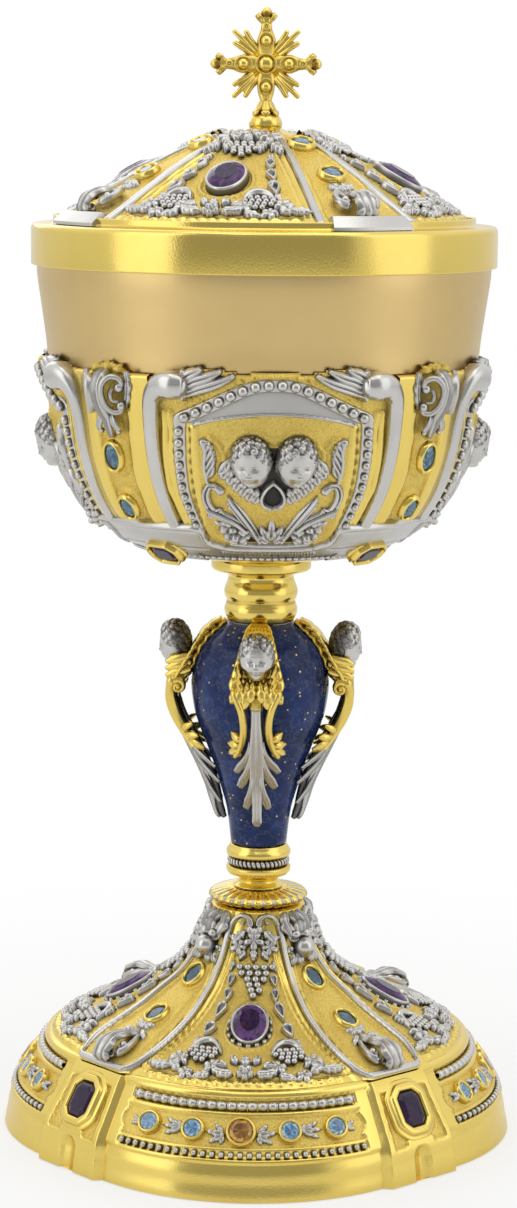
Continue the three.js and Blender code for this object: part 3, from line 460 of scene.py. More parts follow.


# Small round balls, each a sphere of a few dozen faces, with painted shade that darkens the side turned away from
# its outward direction, which on a skin is the side that faces the skin
def balls(centres, outward, sizes, stretch=1.0, rings=6, around=9):
    u = np.linspace(0.12, np.pi - 0.12, rings)[:, None]
    v = np.linspace(0, 2 * np.pi, around, endpoint=False)[None, :]
    unit = np.stack(np.broadcast_arrays(np.sin(u) * np.cos(v), np.sin(u) * np.sin(v), np.cos(u)),
                    -1).reshape(-1, 3)
    centres, outward = np.reshape(centres, (-1, 3)), np.reshape(outward, (-1, 3))
    sizes = np.broadcast_to(np.asarray(sizes, float).reshape(-1, 1, 1), (len(centres), 1, 1))
    axis = outward / np.linalg.norm(outward, axis=1, keepdims=True)
    side = np.cross(axis, np.where(np.abs(axis[:, 2:]) > 0.9, [[1.0, 0.0, 0.0]], [[0.0, 0.0, 1.0]]))
    side = side / np.linalg.norm(side, axis=1, keepdims=True)
    other = np.cross(axis, side)
    frameOf = np.stack([side, other, axis * stretch], axis=1)
    points = centres[:, None, :] + sizes * np.einsum("kj,nji->nki", unit, frameOf)
    tone = np.tile(0.12 + 0.88 * stepUp(unit[:, 2], -0.2, 0.7), len(centres))
    quads = gridFaces(rings, around, closesRound=True)
    caps = [np.arange(around)[None, :], ((rings - 1) * around + np.arange(around))[None, ::-1]]
    starts = (np.arange(len(centres)) * len(unit))[:, None, None]
    faces = [(f[None] + starts).reshape(-1, f.shape[1]) for f in (quads, *caps)]
    return shapeOf(points.reshape(-1, 3), faces, tone)


# Balls on a skin at places of across (in the chart's unit) and down, with the lift of their middles
def ballsOn(skin, places, size, lift=0.0, unit=np.radians(1), **form):
    places = np.asarray(places, float)
    across, down = places[:, 0] * unit, places[:, 1]
    centres = skin(down, across, lift)
    return balls(centres, skin(down, across, lift + 1.0) - centres, size, **form)


# A smooth path through stops of any width, with the given steps between two stops
def smoothPath(stops, steps=6):
    stops = np.asarray(stops, float)
    return throughStops(stops, np.linspace(0, len(stops) - 1, (len(stops) - 1) * steps + 1))


# Stops given by angle and height, as stops by angle and length down the skin
def byHeight(curve, stops):
    return [(stop[0], float(downAtHeight(curve, stop[1])), *stop[2:]) for stop in stops]


# Places at even steps along a path of across and down on a skin
def evenPlaces(skin, stops, spacing, unit=np.radians(1)):
    path = smoothPath([stop[:2] for stop in stops], 30)
    points = skin(path[:, 1], path[:, 0] * unit, 0.0)
    run = np.concatenate([[0], np.cumsum(np.linalg.norm(np.diff(points, axis=0), axis=1))])
    at = (np.arange(int(run[-1] / spacing)) + 0.5) * run[-1] / int(run[-1] / spacing)
    return np.stack([np.interp(at, run, path[:, 0]), np.interp(at, run, path[:, 1])], axis=1)


# Fans of triangles that close a tube of rings, about the two points that follow its rings
def endFans(rows, around):
    first = np.arange(around)
    last = (rows - 1) * around + first
    middle = np.full(around, rows * around)
    return [np.stack([middle, first, np.roll(first, -1)], axis=1),
            np.stack([middle + 1, np.roll(last, -1), last], axis=1)]


# A cast leaf or bar carried along a path: its section is an oval of the given half width and half
# thickness, scalloped at its edges and grooved along its face. The side is square to the path's plane.
def leafBar(path, side, halfWidth, halfThick, lobes=0, cut=0.2, groove=0.25, around=20, samples=60):
    path = smoothPath(path, max(2, samples // (len(path) - 1)))
    t = np.linspace(0, 1, len(path))
    run = np.gradient(path, axis=0)
    run /= np.linalg.norm(run, axis=1, keepdims=True)
    side = np.asarray(side, float) / np.linalg.norm(side)
    out = np.cross(run, side)
    wide, thick = (np.interp(t, np.linspace(0, 1, len(stops)), stops) for stops in (halfWidth, halfThick))
    scallop = np.abs(np.sin(np.pi * lobes * t)) if lobes else np.ones_like(t)
    v = np.linspace(0, 2 * np.pi, around, endpoint=False)
    across = np.cos(v)
    edge = (wide * (1 - cut + cut * scallop))[:, None] * across
    ridges = groove * np.cos(3 * np.pi * across)[None, :] * np.clip(np.sin(v), 0, 1)
    notch = (1 - scallop)[:, None] * np.abs(across)
    rise = thick[:, None] * (np.sin(v)[None, :] + ridges - 0.35 * notch)
    points = path[:, None] + edge[..., None] * side + rise[..., None] * out[:, None]
    tone = np.clip(0.75 + 0.6 * ridges - 0.45 * notch, 0, 1)
    fans = [fan[:, [0, 2, 1]] for fan in endFans(len(path), around)]
    return shapeOf(np.vstack([points.reshape(-1, 3), path[:1], path[-1:]]),
                   [gridFaces(len(path), around, closesRound=True)[:, ::-1], *fans],
                   np.append((tone * np.ones((len(path), 1))).reshape(-1), [0.8, 0.8]))


# A bar along a path of points with its half width and half thickness: its section is a rounded box that
# lies on the outward directions, and a fan closes each end
def roundedBar(path, outward, around=24, boxy=0.8):
    middle, wide, thick = path[:, :3], np.maximum(path[:, 3:4], 0.05), np.maximum(path[:, 4:5], 0.05)
    ways = np.gradient(middle, axis=0)
    ways /= np.linalg.norm(ways, axis=1, keepdims=True)
    aside = np.cross(ways, outward)
    aside /= np.linalg.norm(aside, axis=1, keepdims=True)
    out = np.cross(aside, ways)
    v = np.linspace(0, 2 * np.pi, around, endpoint=False)
    flat, high = (np.sign(f) * np.abs(f) ** boxy for f in (np.cos(v), np.sin(v)))
    across, upwards = (wide * flat)[..., None] * aside[:, None], (thick * high)[..., None] * out[:, None]
    rings = middle[:, None] + across + upwards
    # Painted shade: the bar is darker on the side turned away from its outward direction
    tone = np.broadcast_to(0.5 + 0.5 * stepUp(high, -0.2, 0.5), rings.shape[:2]).reshape(-1)
    return shapeOf(np.vstack([rings.reshape(-1, 3), middle[:1], middle[-1:]]),
                   [gridFaces(len(path), around, closesRound=True), *endFans(len(path), around)],
                   np.append(tone, [0.9, 0.9]))


# A calm child's head with wavy hair, looking along z with x to its side and y up, half its height tall 1.
# Each feature is a bell-shaped rise or dent of the face, the same on both sides; the hair is a crowd of
# locks, each a low dome with a spiral groove.
face = {
    "rises": [  # across, up, half width, half height, rise
        (0.0, 0.62, 0.5, 0.32, 0.02), (0.3, 0.0, 0.17, 0.1, -0.13), (0.3, 0.0, 0.1, 0.05, 0.07),
        (0.3, 0.14, 0.2, 0.045, 0.03), (0.0, -0.06, 0.055, 0.16, 0.05), (0.0, -0.24, 0.085, 0.075, 0.11),
        (0.11, -0.27, 0.05, 0.05, 0.04), (0.42, -0.34, 0.22, 0.2, 0.08), (0.0, -0.44, 0.15, 0.03, 0.045),
        (0.0, -0.54, 0.12, 0.035, 0.05), (0.0, -0.49, 0.14, 0.014, -0.06), (0.0, -0.64, 0.14, 0.04, -0.04),
        (0.0, -0.78, 0.2, 0.12, 0.08)],
    # Painted shadows: patches of painted shade at the eyes, over them, at the nostrils, the mouth, beside the
    # nose and under the lip; each gives across, up, half width, half height and darkness
    "shadows": [
        (0.3, -0.02, 0.12, 0.045, 0.97), (0.3, 0.085, 0.16, 0.022, 0.45), (0.065, -0.315, 0.04, 0.028, 0.97),
        (0.0, -0.49, 0.13, 0.024, 0.97), (0.14, -0.16, 0.04, 0.1, 0.35), (0.0, -0.65, 0.12, 0.03, 0.5)],
    "curls": 96, "curlReach": 0.21, "hairlineFront": 0.56, "hairlineBack": -0.55, "sideburn": 0.85,
    "rows": 68, "columns": 76,
}


def bell(x, y, feature):
    across, up, wide, tall, rise = feature
    return rise * np.exp(-((np.abs(x) - across) / wide) ** 2 - ((y - up) / tall) ** 2)


def childHead(halfWidth, halfHeight, halfDepth, seed):
    rows, columns, curls = face["rows"], face["columns"], face["curls"]
    polarAngle, around = np.meshgrid(np.linspace(0.02, np.pi - 0.02, rows),
                                     np.linspace(0, 2 * np.pi, columns, endpoint=False), indexing="ij")
    full = np.sin(polarAngle) ** 0.8
    x, y, z = full * np.sin(around), np.cos(polarAngle), full * np.cos(around)
    facing = stepUp(z, -0.1, 0.35)
    rise = facing * sum(bell(x, y, feature) for feature in face["rises"])
    shadow = 1 - np.clip(facing * sum(bell(x, y, mark) for mark in face["shadows"]), 0, 0.97)
    k = np.arange(curls) + 0.5
    curlY, turn = 1 - 2 * k / curls, np.pi * (1 + 5 ** 0.5) * k
    curlSide = np.sqrt(1 - curlY ** 2)
    middles = np.stack([curlSide * np.sin(turn), curlY, curlSide * np.cos(turn)], axis=1)
    middles += np.random.default_rng(seed).uniform(-0.05, 0.05, middles.shape)

    def overHairline(x, y, z):
        inFront = face["hairlineFront"] - face["sideburn"] * np.clip(np.abs(x) - 0.25, 0, 1)
        return y - np.where(z > 0, inFront, face["hairlineBack"])

    middles = middles[overHairline(*middles.T) > -0.04]
    unit = np.stack([x, y, z], axis=-1)
    away = np.linalg.norm(unit[:, :, None] - middles, axis=-1)
    near = np.argmin(away, axis=-1)
    gap = np.take_along_axis(away, near[..., None], -1)[..., 0]
    offset = unit - middles[near]
    swirl = np.cos(2 * np.arctan2(offset[..., 0], offset[..., 1] + 1e-6) + 30 * gap)
    mane = stepUp(overHairline(x, y, z), -0.06, 0.05)
    curl = np.clip(1 - (gap / face["curlReach"]) ** 2, 0, 1)
    rise = rise * (1 - mane) + mane * (0.03 + 0.05 * curl + 0.025 * swirl)
    tone = np.where(mane > 0.5, np.clip(0.3 + 0.55 * curl + 0.3 * swirl, 0, 1), 0.95 * shadow)
    jaw = 1 - 0.16 * stepUp(-y, 0.1, 1.0)
    scale = np.stack([(1 + rise) * jaw * halfWidth, (1 + 0.8 * rise) * halfHeight, (1 + 1.25 * rise) * halfDepth],
                     axis=-1)
    points = np.vstack([(unit * scale).reshape(-1, 3), [0, halfHeight, 0], [0, -halfHeight, 0]])
    # Painted shade: the head is darker towards its back, away from the face, and at its lower pole
    tone = np.append((tone * (0.3 + 0.7 * stepUp(z, -0.3, 0.35))).reshape(-1), [0.8, 0.2])
    return shapeOf(points, [gridFaces(rows, columns, closesRound=True), *endFans(rows, columns)], tone)


# Turns a shape about its own side (nod), up (look) and face (lean) directions, in degrees
def posed(shape, nod=0.0, look=0.0, lean=0.0):
    points = shape["points"]
    for degrees, (first, second) in ((lean, (0, 1)), (nod, (2, 1)), (look, (2, 0))):
        c, s = np.cos(np.radians(degrees)), np.sin(np.radians(degrees))
        moved = points.copy()
        moved[:, first] = points[:, first] * c - points[:, second] * s
        moved[:, second] = points[:, first] * s + points[:, second] * c
        points = moved
    return {**shape, "points": points}


# Stones and their rims are made flat, x to the side, y up the skin and z out of it, and then seated

def seatFrame(skin, across, down, lift=0.0, unit=np.radians(1)):
    at = lambda step, rise: skin(np.array(down + step), np.array(across * unit), lift + rise).reshape(3)
    origin = at(0, 0)
    outward = at(0, 1.0) - origin
    outward /= np.linalg.norm(outward)
    up = at(-0.5, 0) - at(0.5, 0)
    up -= outward * np.dot(up, outward)
    up /= np.linalg.norm(up)
    return origin, np.stack([np.cross(up, outward), up, outward])


def seated(shape, origin, axes):
    return {**shape, "points": origin + shape["points"] @ axes}


def ovalOutline(halfWidth, halfLength, count=32, offset=0.0):
    t = 2 * np.pi * (np.arange(count) + offset) / count
    return np.stack([halfWidth * np.sin(t), halfLength * np.cos(t)], axis=1)


def cutCornerOutline(halfWidth, halfLength, corner):
    w, l, c = halfWidth, halfLength, corner
    half = [(w, l - c), (w - c, l), (c - w, l), (-w, l - c)]
    return np.array(half + [(-x, -y) for x, y in half])


# A cut stone: rings of its outline at rising heights joined by flat facets, each with its own painted brightness
# that stands in for the light it reflects
def facetStone(outlines, heights, paintedReflectionOf):
    rings = [np.column_stack([ring, np.full(len(ring), height)]) for ring, height in zip(outlines, heights)]
    triangles = []
    for low, high in zip(rings[:-1], rings[1:]):
        count = len(low)
        after = (np.arange(count) + 1) % count
        triangles.append(np.stack([low, high, low[after]], axis=1))
        triangles.append(np.stack([low[after], high, high[after]], axis=1))
    top, count = rings[-1], len(rings[-1])
    middle = np.tile(top.mean(axis=0), (count, 1))
    triangles.append(np.stack([top, middle, np.roll(top, -1, axis=0)], axis=1))
    corners = np.concatenate(triangles)
    normal = np.cross(corners[:, 1] - corners[:, 0], corners[:, 2] - corners[:, 0])
    if normal[:, 2].sum() < 0:
        corners = corners[:, ::-1]
    tone = np.repeat(paintedReflectionOf(corners.mean(axis=1)), 3)
    return shapeOf(corners.reshape(-1, 3), np.arange(len(corners) * 3).reshape(-1, 3), tone)


# An oval or round brilliant: girdle, two rows of crown facets and a table
def brilliant(halfWidth, halfLength, height, count=16, seed=1):
    draws = np.random.default_rng(seed)
    steps = [(0.93, 0.0, 0.0), (1.0, 0.0, 0.3), (0.84, 0.5, 0.62), (0.62, 0.0, 0.9), (0.6, 0.0, 1.0)]
    outlines = [ovalOutline(halfWidth * size, halfLength * size, count, offset)
                for size, offset, level in steps]
    heights = [height * level for size, offset, level in steps]

    # Painted reflections: facets brighter towards the girdle, each with a random painted sparkle
    def paintedReflectionOf(middles):
        away = np.hypot(middles[:, 0] / halfWidth, middles[:, 1] / halfLength)
        sparkle = draws.uniform(-0.28, 0.32, len(middles))
        return np.clip(0.32 + 0.35 * stepUp(away, 0.45, 0.8) + sparkle, 0, 1)

    return facetStone(outlines, heights, paintedReflectionOf)


# A step-cut rectangle with cut corners: three bevels and a table, each facet with a random painted sparkle
def stepCut(halfWidth, halfLength, height, corner, seed=1):
    draws = np.random.default_rng(seed)
    steps = [(0.94, 0.0), (1.0, 0.35), (0.88, 0.66), (0.74, 0.88), (0.6, 1.0)]
    outlines = [cutCornerOutline(halfWidth * s, halfLength * s, corner * s) for s, level in steps]
    heights = [height * level for s, level in steps]
    return facetStone(outlines, heights, lambda m: np.clip(0.2 + draws.uniform(-0.2, 0.3, len(m)), 0, 1))


# A rim swept round an outline: its section is given as steps out of the outline and up
def rimOf(outline, section, tone=None):
    outline = np.asarray(outline, float)
    along = np.roll(outline, -1, axis=0) - np.roll(outline, 1, axis=0)
    out = np.stack([along[:, 1], -along[:, 0]], axis=1)
    out /= np.linalg.norm(out, axis=1, keepdims=True)
    out *= np.sign(np.sum(out * outline))
    section = np.asarray(section, float)
    flat = outline[None] + section[:, None, :1] * out[None]
    points = np.concatenate([flat, np.broadcast_to(section[:, None, 1:], (*flat.shape[:2], 1))], axis=2)
    x, y = outline.T
    turnsLeft = np.sum(x * np.roll(y, -1) - np.roll(x, -1) * y) > 0
    tones = 1.0 if tone is None else np.repeat(tone, len(outline))
    shape = shapeOf(points, gridFaces(len(section), len(outline), True, True), tones)
    return flipped(shape) if turnsLeft else shape


# An outline with its corners rounded, evenly stepped
def roundedOutline(corners, radius, steps=5):
    return softened(np.asarray(corners, float), radius, steps)


# Materials

def addNode(tree, kind, settings=None, inputs=None):
    node = tree.nodes.new(kind)
    for key, value in (settings or {}).items():
        setattr(node, key, value)
    for key, value in (inputs or {}).items():
        if isinstance(value, bpy.types.NodeSocket):
            tree.links.new(value, node.inputs[key])
        else:
            node.inputs[key].default_value = value
    return node


def mathNode(tree, operation, a, b=0.0, clamps=False):
    return addNode(tree, "ShaderNodeMath", {"operation": operation, "use_clamp": clamps}, {0: a, 1: b}).outputs[0]


def mixColour(tree, factor, a, b, blend="MIX"):
    return addNode(tree, "ShaderNodeMix", {"data_type": "RGBA", "blend_type": blend},
                   {0: factor, 6: a, 7: b}).outputs[2]


def noiseNode(tree, place, scale, detail=3.0, roughness=0.55):
    return addNode(tree, "ShaderNodeTexNoise", None,
                   {"Vector": place, "Scale": scale, "Detail": detail, "Roughness": roughness}).outputs["Fac"]


def rampNode(tree, factor, stops):
    ramp = addNode(tree, "ShaderNodeValToRGB", None, {"Fac": factor})
    elements = ramp.color_ramp.elements
    while len(elements) < len(stops):
        elements.new(0.5)
    for element, (position, colour) in zip(elements, stops):
        element.position = position
        element.color = (*colour, 1)
    return ramp.outputs["Color"]


def newMaterial(name):
    material = bpy.data.materials.new(name)
    material.use_nodes = True
    tree = material.node_tree
    shader = tree.nodes["Principled BSDF"]
    place = addNode(tree, "ShaderNodeTexCoord").outputs["Object"]
    return material, tree, shader, place


def attributeNode(tree, name):
    return addNode(tree, "ShaderNodeAttribute", {"attribute_name": name}).outputs["Fac"]


# A cast or turned metal: bare where the tone is 1, dark where it is 0 (dark patina in hollows, and painted shade
# where a shape's tone carries it), stippled where the grain is 1
metals = {
    "gilt": {"bare": (0.86, 0.68, 0.2), "worn": (0.79, 0.58, 0.13), "dark": (0.19, 0.095, 0.014),
             "rough": 0.16, "roughDark": 0.5, "grainRough": 0.3, "grainScale": 2300, "grainDepth": 0.00022},
    "silver": {"bare": (0.68, 0.665, 0.64), "worn": (0.5, 0.485, 0.46), "dark": (0.018, 0.016, 0.016),
               "rough": 0.24, "roughDark": 0.55, "grainRough": 0.2, "grainScale": 1500, "grainDepth": 0.0002},
    "cup_gilt": {"bare": (0.71, 0.53, 0.24), "worn": (0.65, 0.47, 0.2), "dark": (0.3, 0.2, 0.08),
                 "rough": 0.3, "roughDark": 0.5, "grainRough": 0.1, "grainScale": 1500, "grainDepth": 0.0001},
}


def metalMaterial(name, look):
    material, tree, shader, place = newMaterial(name)
    tone = attributeNode(tree, "tone")
    grain = attributeNode(tree, "grain")
    cloud = noiseNode(tree, place, 90, 4)
    fine = noiseNode(tree, place, look["grainScale"], 2)
    bare = mixColour(tree, cloud, (*look["bare"], 1), (*look["worn"], 1))
    middle = tuple(0.45 * a + 0.55 * b for a, b in zip(look["worn"], look["dark"]))
    toned = rampNode(tree, tone, [(0.0, look["dark"]), (0.38, middle), (0.8, look["worn"]), (1.0, look["bare"])])
    colour = mixColour(tree, mathNode(tree, "MULTIPLY", tone, tone), toned, bare)
    pits = mathNode(tree, "MULTIPLY", grain, mathNode(tree, "SUBTRACT", 0.62, fine, True))
    tree.links.new(mixColour(tree, pits, colour, (*look["dark"], 1)), shader.inputs["Base Color"])
    dullness = mathNode(tree, "MULTIPLY", mathNode(tree, "SUBTRACT", 1.0, tone, True),
                        look["roughDark"] - look["rough"])
    stippled = mathNode(tree, "MULTIPLY", grain, look["grainRough"])
    smear = mathNode(tree, "MULTIPLY", cloud, 0.08)
    rough = mathNode(tree, "ADD", mathNode(tree, "ADD", dullness, stippled), smear)
    tree.links.new(mathNode(tree, "ADD", rough, look["rough"] - 0.04, True), shader.inputs["Roughness"])
    shader.inputs["Metallic"].default_value = 1.0
    strength = mathNode(tree, "ADD", mathNode(tree, "MULTIPLY", grain, 0.85), 0.1)
    bump = addNode(tree, "ShaderNodeBump", None, {"Strength": strength, "Distance": look["grainDepth"],
                                                  "Height": fine})
    tree.links.new(bump.outputs["Normal"], shader.inputs["Normal"])
    return material


# Lapis: clouded deep blue with pale veins and small pyrite flecks under a polish
def lapisMaterial():
    material, tree, shader, place = newMaterial("lapis")
    cloud = noiseNode(tree, place, 150, 6, 0.62)
    speckle = noiseNode(tree, place, 900, 4, 0.7)
    blue = rampNode(tree, cloud, [(0.3, (0.003, 0.01, 0.055)), (0.5, (0.007, 0.023, 0.115)),
                                  (0.72, (0.02, 0.055, 0.21))])
    mottled = mixColour(tree, mathNode(tree, "MULTIPLY", speckle, 0.55), blue, (0.012, 0.02, 0.06, 1))
    wander = noiseNode(tree, place, 260, 5, 0.7)
    vein = mathNode(tree, "ABSOLUTE", mathNode(tree, "SUBTRACT", wander, 0.5))
    veinMask = mathNode(tree, "MULTIPLY", mathNode(tree, "SUBTRACT", 0.014, vein, True), 26.0, True)
    veined = mixColour(tree, veinMask, mottled, (0.2, 0.24, 0.3, 1))
    cells = addNode(tree, "ShaderNodeTexVoronoi", {"feature": "F1"}, {"Vector": place, "Scale": 780.0})
    near = mathNode(tree, "LESS_THAN", cells.outputs["Distance"], 0.2)
    rare = mathNode(tree, "GREATER_THAN", cells.outputs["Color"], 0.7)
    fleck = mathNode(tree, "MULTIPLY", near, rare)
    tree.links.new(mixColour(tree, fleck, veined, (0.62, 0.45, 0.14, 1)), shader.inputs["Base Color"])
    tree.links.new(mathNode(tree, "MULTIPLY", fleck, 0.8), shader.inputs["Metallic"])
    shader.inputs["Roughness"].default_value = 0.22
    shader.inputs["Coat Weight"].default_value = 0.15
    shader.inputs["Specular IOR Level"].default_value = 0.15
    shader.inputs["Coat Roughness"].default_value = 0.06
    return material


# A cut stone: each facet has its own painted brightness for its reflections, between its deep and its lit colour,
# under a hard polish
def stoneMaterial(name, deep, body, lit, ior=1.6, coat=0.5):
    material, tree, shader, place = newMaterial(name)
    tone = attributeNode(tree, "tone")
    wobble = mathNode(tree, "MULTIPLY", noiseNode(tree, place, 700, 2), 0.25)
    factor = mathNode(tree, "ADD", tone, mathNode(tree, "SUBTRACT", wobble, 0.12))
    tree.links.new(rampNode(tree, factor, [(0.0, deep), (0.55, body), (1.0, lit)]), shader.inputs["Base Color"])
    shader.inputs["Roughness"].default_value = 0.06
    shader.inputs["IOR"].default_value = ior
    shader.inputs["Coat Weight"].default_value = coat
    return material


def steelMaterial():
    material, tree, shader, place = newMaterial("steel")
    lines = addNode(tree, "ShaderNodeMapping", None,
                    {"Vector": place, "Scale": (1.0, 1.0, 40.0)}).outputs["Vector"]
    brushed = noiseNode(tree, lines, 160, 3)
    tree.links.new(mixColour(tree, brushed, (0.5, 0.5, 0.5, 1), (0.62, 0.62, 0.63, 1)),
                   shader.inputs["Base Color"])
    tree.links.new(mathNode(tree, "ADD", mathNode(tree, "MULTIPLY", brushed, 0.2), 0.25),
                   shader.inputs["Roughness"])
    shader.inputs["Metallic"].default_value = 1.0
    return material


gilt, silver, cupGilt = (metalMaterial(name, metals[name]) for name in ("gilt", "silver", "cup_gilt"))
lapis = lapisMaterial()
steel = steelMaterial()
amethyst = stoneMaterial("amethyst", (0.006, 0.002, 0.012), (0.03, 0.007, 0.055), (0.12, 0.02, 0.2), 1.42, 0.1)
topaz = stoneMaterial("topaz", (0.02, 0.055, 0.12), (0.13, 0.3, 0.5), (0.6, 0.78, 0.92))
deepTopaz = stoneMaterial("deep_topaz", (0.004, 0.02, 0.045), (0.02, 0.12, 0.22), (0.25, 0.5, 0.62))
citrine = stoneMaterial("citrine", (0.07, 0.025, 0.002), (0.26, 0.11, 0.008), (0.72, 0.42, 0.08))
slotFinish = {"gilt": gilt, "cup_gilt": cupGilt, "silver": silver, "lapis": lapis, "amethyst": amethyst,
              "steel": steel}
cutStones = (amethyst, topaz, deepTopaz, citrine)
slotOf = {finish: slot for slot, finish in slotFinish.items()}
slotOf.update({stone: "amethyst" for stone in cutStones})
print("materials made")


# Camera, light and floor

view = {"stand": (-0.6, -765.0, 251.5), "aim": (-0.6, 0.0, 132.9), "focalPixels": 3107.0,
        "photoWidth": 517, "photoHeight": 1208, "sensor": 36.0, "roll": 0.55}


def addCamera():
    camera = bpy.data.cameras.new("camera")
    camera.sensor_width = view["sensor"]
    camera.lens = view["sensor"] * view["focalPixels"] / max(view["photoWidth"], view["photoHeight"])
    camera.clip_start, camera.clip_end = 0.01, 20.0
    holder = bpy.data.objects.new("camera", camera)
    bpy.context.scene.collection.objects.link(holder)
    stand, aim = Vector(view["stand"]) * metre, Vector(view["aim"]) * metre
    look = (aim - stand).to_track_quat("-Z", "Y")
    holder.rotation_mode = "QUATERNION"
    holder.location = stand
    holder.rotation_quaternion = look @ Quaternion((0, 0, 1), np.radians(view["roll"]))
    bpy.context.scene.camera = holder


# The world is white to the eye. In the metal it is a light tent: white walls with a darker opening
# in front, whose edges stand at the given angles from the front.
tent = {"openingHalfAngle": 44.0, "softness": 2.5, "opening": 0.42, "wall": 0.95, "ambient": 0.75}


def lightTent():
    world = bpy.data.worlds.new("tent")
    bpy.context.scene.world = world
    world.use_nodes = True
    tree = world.node_tree
    direction = addNode(tree, "ShaderNodeTexCoord").outputs["Generated"]
    parts = addNode(tree, "ShaderNodeSeparateXYZ", None, {0: direction}).outputs
    front = mathNode(tree, "MULTIPLY", parts["Y"], -1.0)
    around = mathNode(tree, "ABSOLUTE", mathNode(tree, "ARCTAN2", parts["X"], front))
    half, soft = np.radians(tent["openingHalfAngle"]), np.radians(tent["softness"])
    wall = addNode(tree, "ShaderNodeMapRange", {"interpolation_type": "SMOOTHSTEP"}, {
        "Value": around, "From Min": half - soft, "From Max": half + soft,
        "To Min": tent["opening"], "To Max": tent["wall"]}).outputs["Result"]
    sky = addNode(tree, "ShaderNodeMapRange", {"interpolation_type": "SMOOTHSTEP"}, {
        "Value": parts["Z"], "From Min": -0.5, "From Max": 0.75, "To Min": 0.72,
        "To Max": 1.08}).outputs["Result"]
    seen = mathNode(tree, "MULTIPLY", wall, sky)
    rays = addNode(tree, "ShaderNodeLightPath").outputs
    mirror = mathNode(tree, "MAXIMUM", rays["Is Glossy Ray"], rays["Is Transmission Ray"])
    strength = mathNode(tree, "ADD", mathNode(tree, "MULTIPLY", seen, mirror),
                        mathNode(tree, "MULTIPLY", mathNode(tree, "SUBTRACT", 1.0, mirror), tent["ambient"]))
    lit = mathNode(tree, "ADD", mathNode(tree, "MULTIPLY", rays["Is Camera Ray"], 1.0),
                   mathNode(tree, "MULTIPLY", mathNode(tree, "SUBTRACT", 1.0, rays["Is Camera Ray"]), strength))
    tree.links.new(lit, tree.nodes["Background"].inputs["Strength"])
    tree.nodes["Background"].inputs["Color"].default_value = (1, 1, 1, 1)


# Softboxes: where each stands, what it faces, its size and its power
lamps = {
    "left": {"at": (-700, -420, 420), "size": (0.5, 0.9), "power": 1.0},
    "right": {"at": (740, -300, 380), "size": (0.5, 0.9), "power": 0.7},
    "top": {"at": (60, -200, 900), "size": (0.7, 0.7), "power": 1.4},
    "back": {"at": (-250, 700, 600), "size": (0.6, 0.6), "power": 0.8},
}


def addLamps():
    for name, look in lamps.items():
        lamp = bpy.data.lights.new(name, "AREA")
        lamp.shape = "RECTANGLE"
        lamp.size, lamp.size_y = look["size"]
        lamp.energy = look["power"]
        holder = bpy.data.objects.new(name, lamp)
        bpy.context.scene.collection.objects.link(holder)
        holder.location = Vector(look["at"]) * metre
        holder.rotation_mode = "QUATERNION"
        holder.rotation_quaternion = (Vector((0, 0, 0.13)) - holder.location).to_track_quat("-Z", "Y")


floor = {"reach": 2.2, "colour": (0.93, 0.93, 0.925, 1), "whiteNear": 0.6, "near": 0.06, "far": 0.3}


def addFloor():
    angle = np.linspace(0, 2 * np.pi, 64, endpoint=False)
    rings = np.array([0.0004, 0.1, 0.3, 0.8, 1.0]) * floor["reach"]
    points = polar(rings[:, None], angle[None, :], np.full((5, 64), -0.0002)).reshape(-1, 3)
    mesh = bpy.data.meshes.new("floor")
    mesh.from_pydata(points.tolist(), [], gridFaces(5, 64, closesRound=True).tolist() + [list(range(64))])
    mesh.shade_smooth()
    sheet = bpy.data.objects.new("floor", mesh)
    bpy.context.scene.collection.objects.link(sheet)
    material, tree, shader, place = newMaterial("floor")
    shader.inputs["Base Color"].default_value = floor["colour"]
    shader.inputs["Roughness"].default_value = 0.7
    shader.inputs["Specular IOR Level"].default_value = 0.1
    rays = addNode(tree, "ShaderNodeLightPath").outputs
    away = addNode(tree, "ShaderNodeVectorMath", {"operation": "LENGTH"}, {0: place}).outputs["Value"]
    white = addNode(tree, "ShaderNodeEmission", None, {"Color": (1, 1, 1, 1), "Strength": 1.0}).outputs[0]
    spread = addNode(tree, "ShaderNodeMapRange", {"interpolation_type": "SMOOTHSTEP"}, {
        "Value": away, "From Min": floor["near"], "From Max": floor["far"],
        "To Min": floor["whiteNear"], "To Max": 1.0}).outputs["Result"]
    share = mathNode(tree, "MULTIPLY", rays["Is Camera Ray"], spread)
    mixed = addNode(tree, "ShaderNodeMixShader", None, {0: share, 1: shader.outputs[0], 2: white}).outputs[0]
    tree.links.new(mixed, tree.nodes["Material Output"].inputs["Surface"])
    mesh.materials.append(material)


addCamera()
lightTent()
addLamps()
addFloor()
bpy.context.scene.view_settings.view_transform = "Standard"
print("camera, light and floor made")


# Stem: fluted disc, collars, rope band and lapis knop, each turned to its own profile

stem = {
    "boreRadius": 3.4, "discFlutes": 28, "discStepRadius": 7.0,
    "collarRadius": 8.1, "collarNeck": 4.8, "ropeRadius": 7.8, "ropeThickness": 0.95, "ropeStrands": 40,
    "knop": [(8.4, 56.1), (11.6, 53.5), (14.1, 50.8), (16.0, 47.0), (17.2, 41.0), (16.6, 35.0), (15.4, 30.5),
             (12.3, 22.5), (9.8, 14.8), (8.0, 8.1), (7.0, 0.0)],
}


# The disc's skin down its outside: radius, height and the direction out of it
def discSkin():
    low, high = nodeBox("fluted_disc")
    bore = stem["boreRadius"]
    corners = [(bore, 0), (10.2, 0), (11.9, 0.22), (12.6, 0.5), (11.8, 0.78), (9.4, 0.94), (7.2, 1), (bore, 1)]
    profile = downOutside(softened(corners, 0.25, 5))[0] * [1, high[2] - low[2]] + [0, low[2]]
    run = np.roll(profile, -1, axis=0) - np.roll(profile, 1, axis=0)
    run /= np.linalg.norm(run, axis=1, keepdims=True)
    return profile, np.stack([-run[:, 1], run[:, 0]], axis=1)


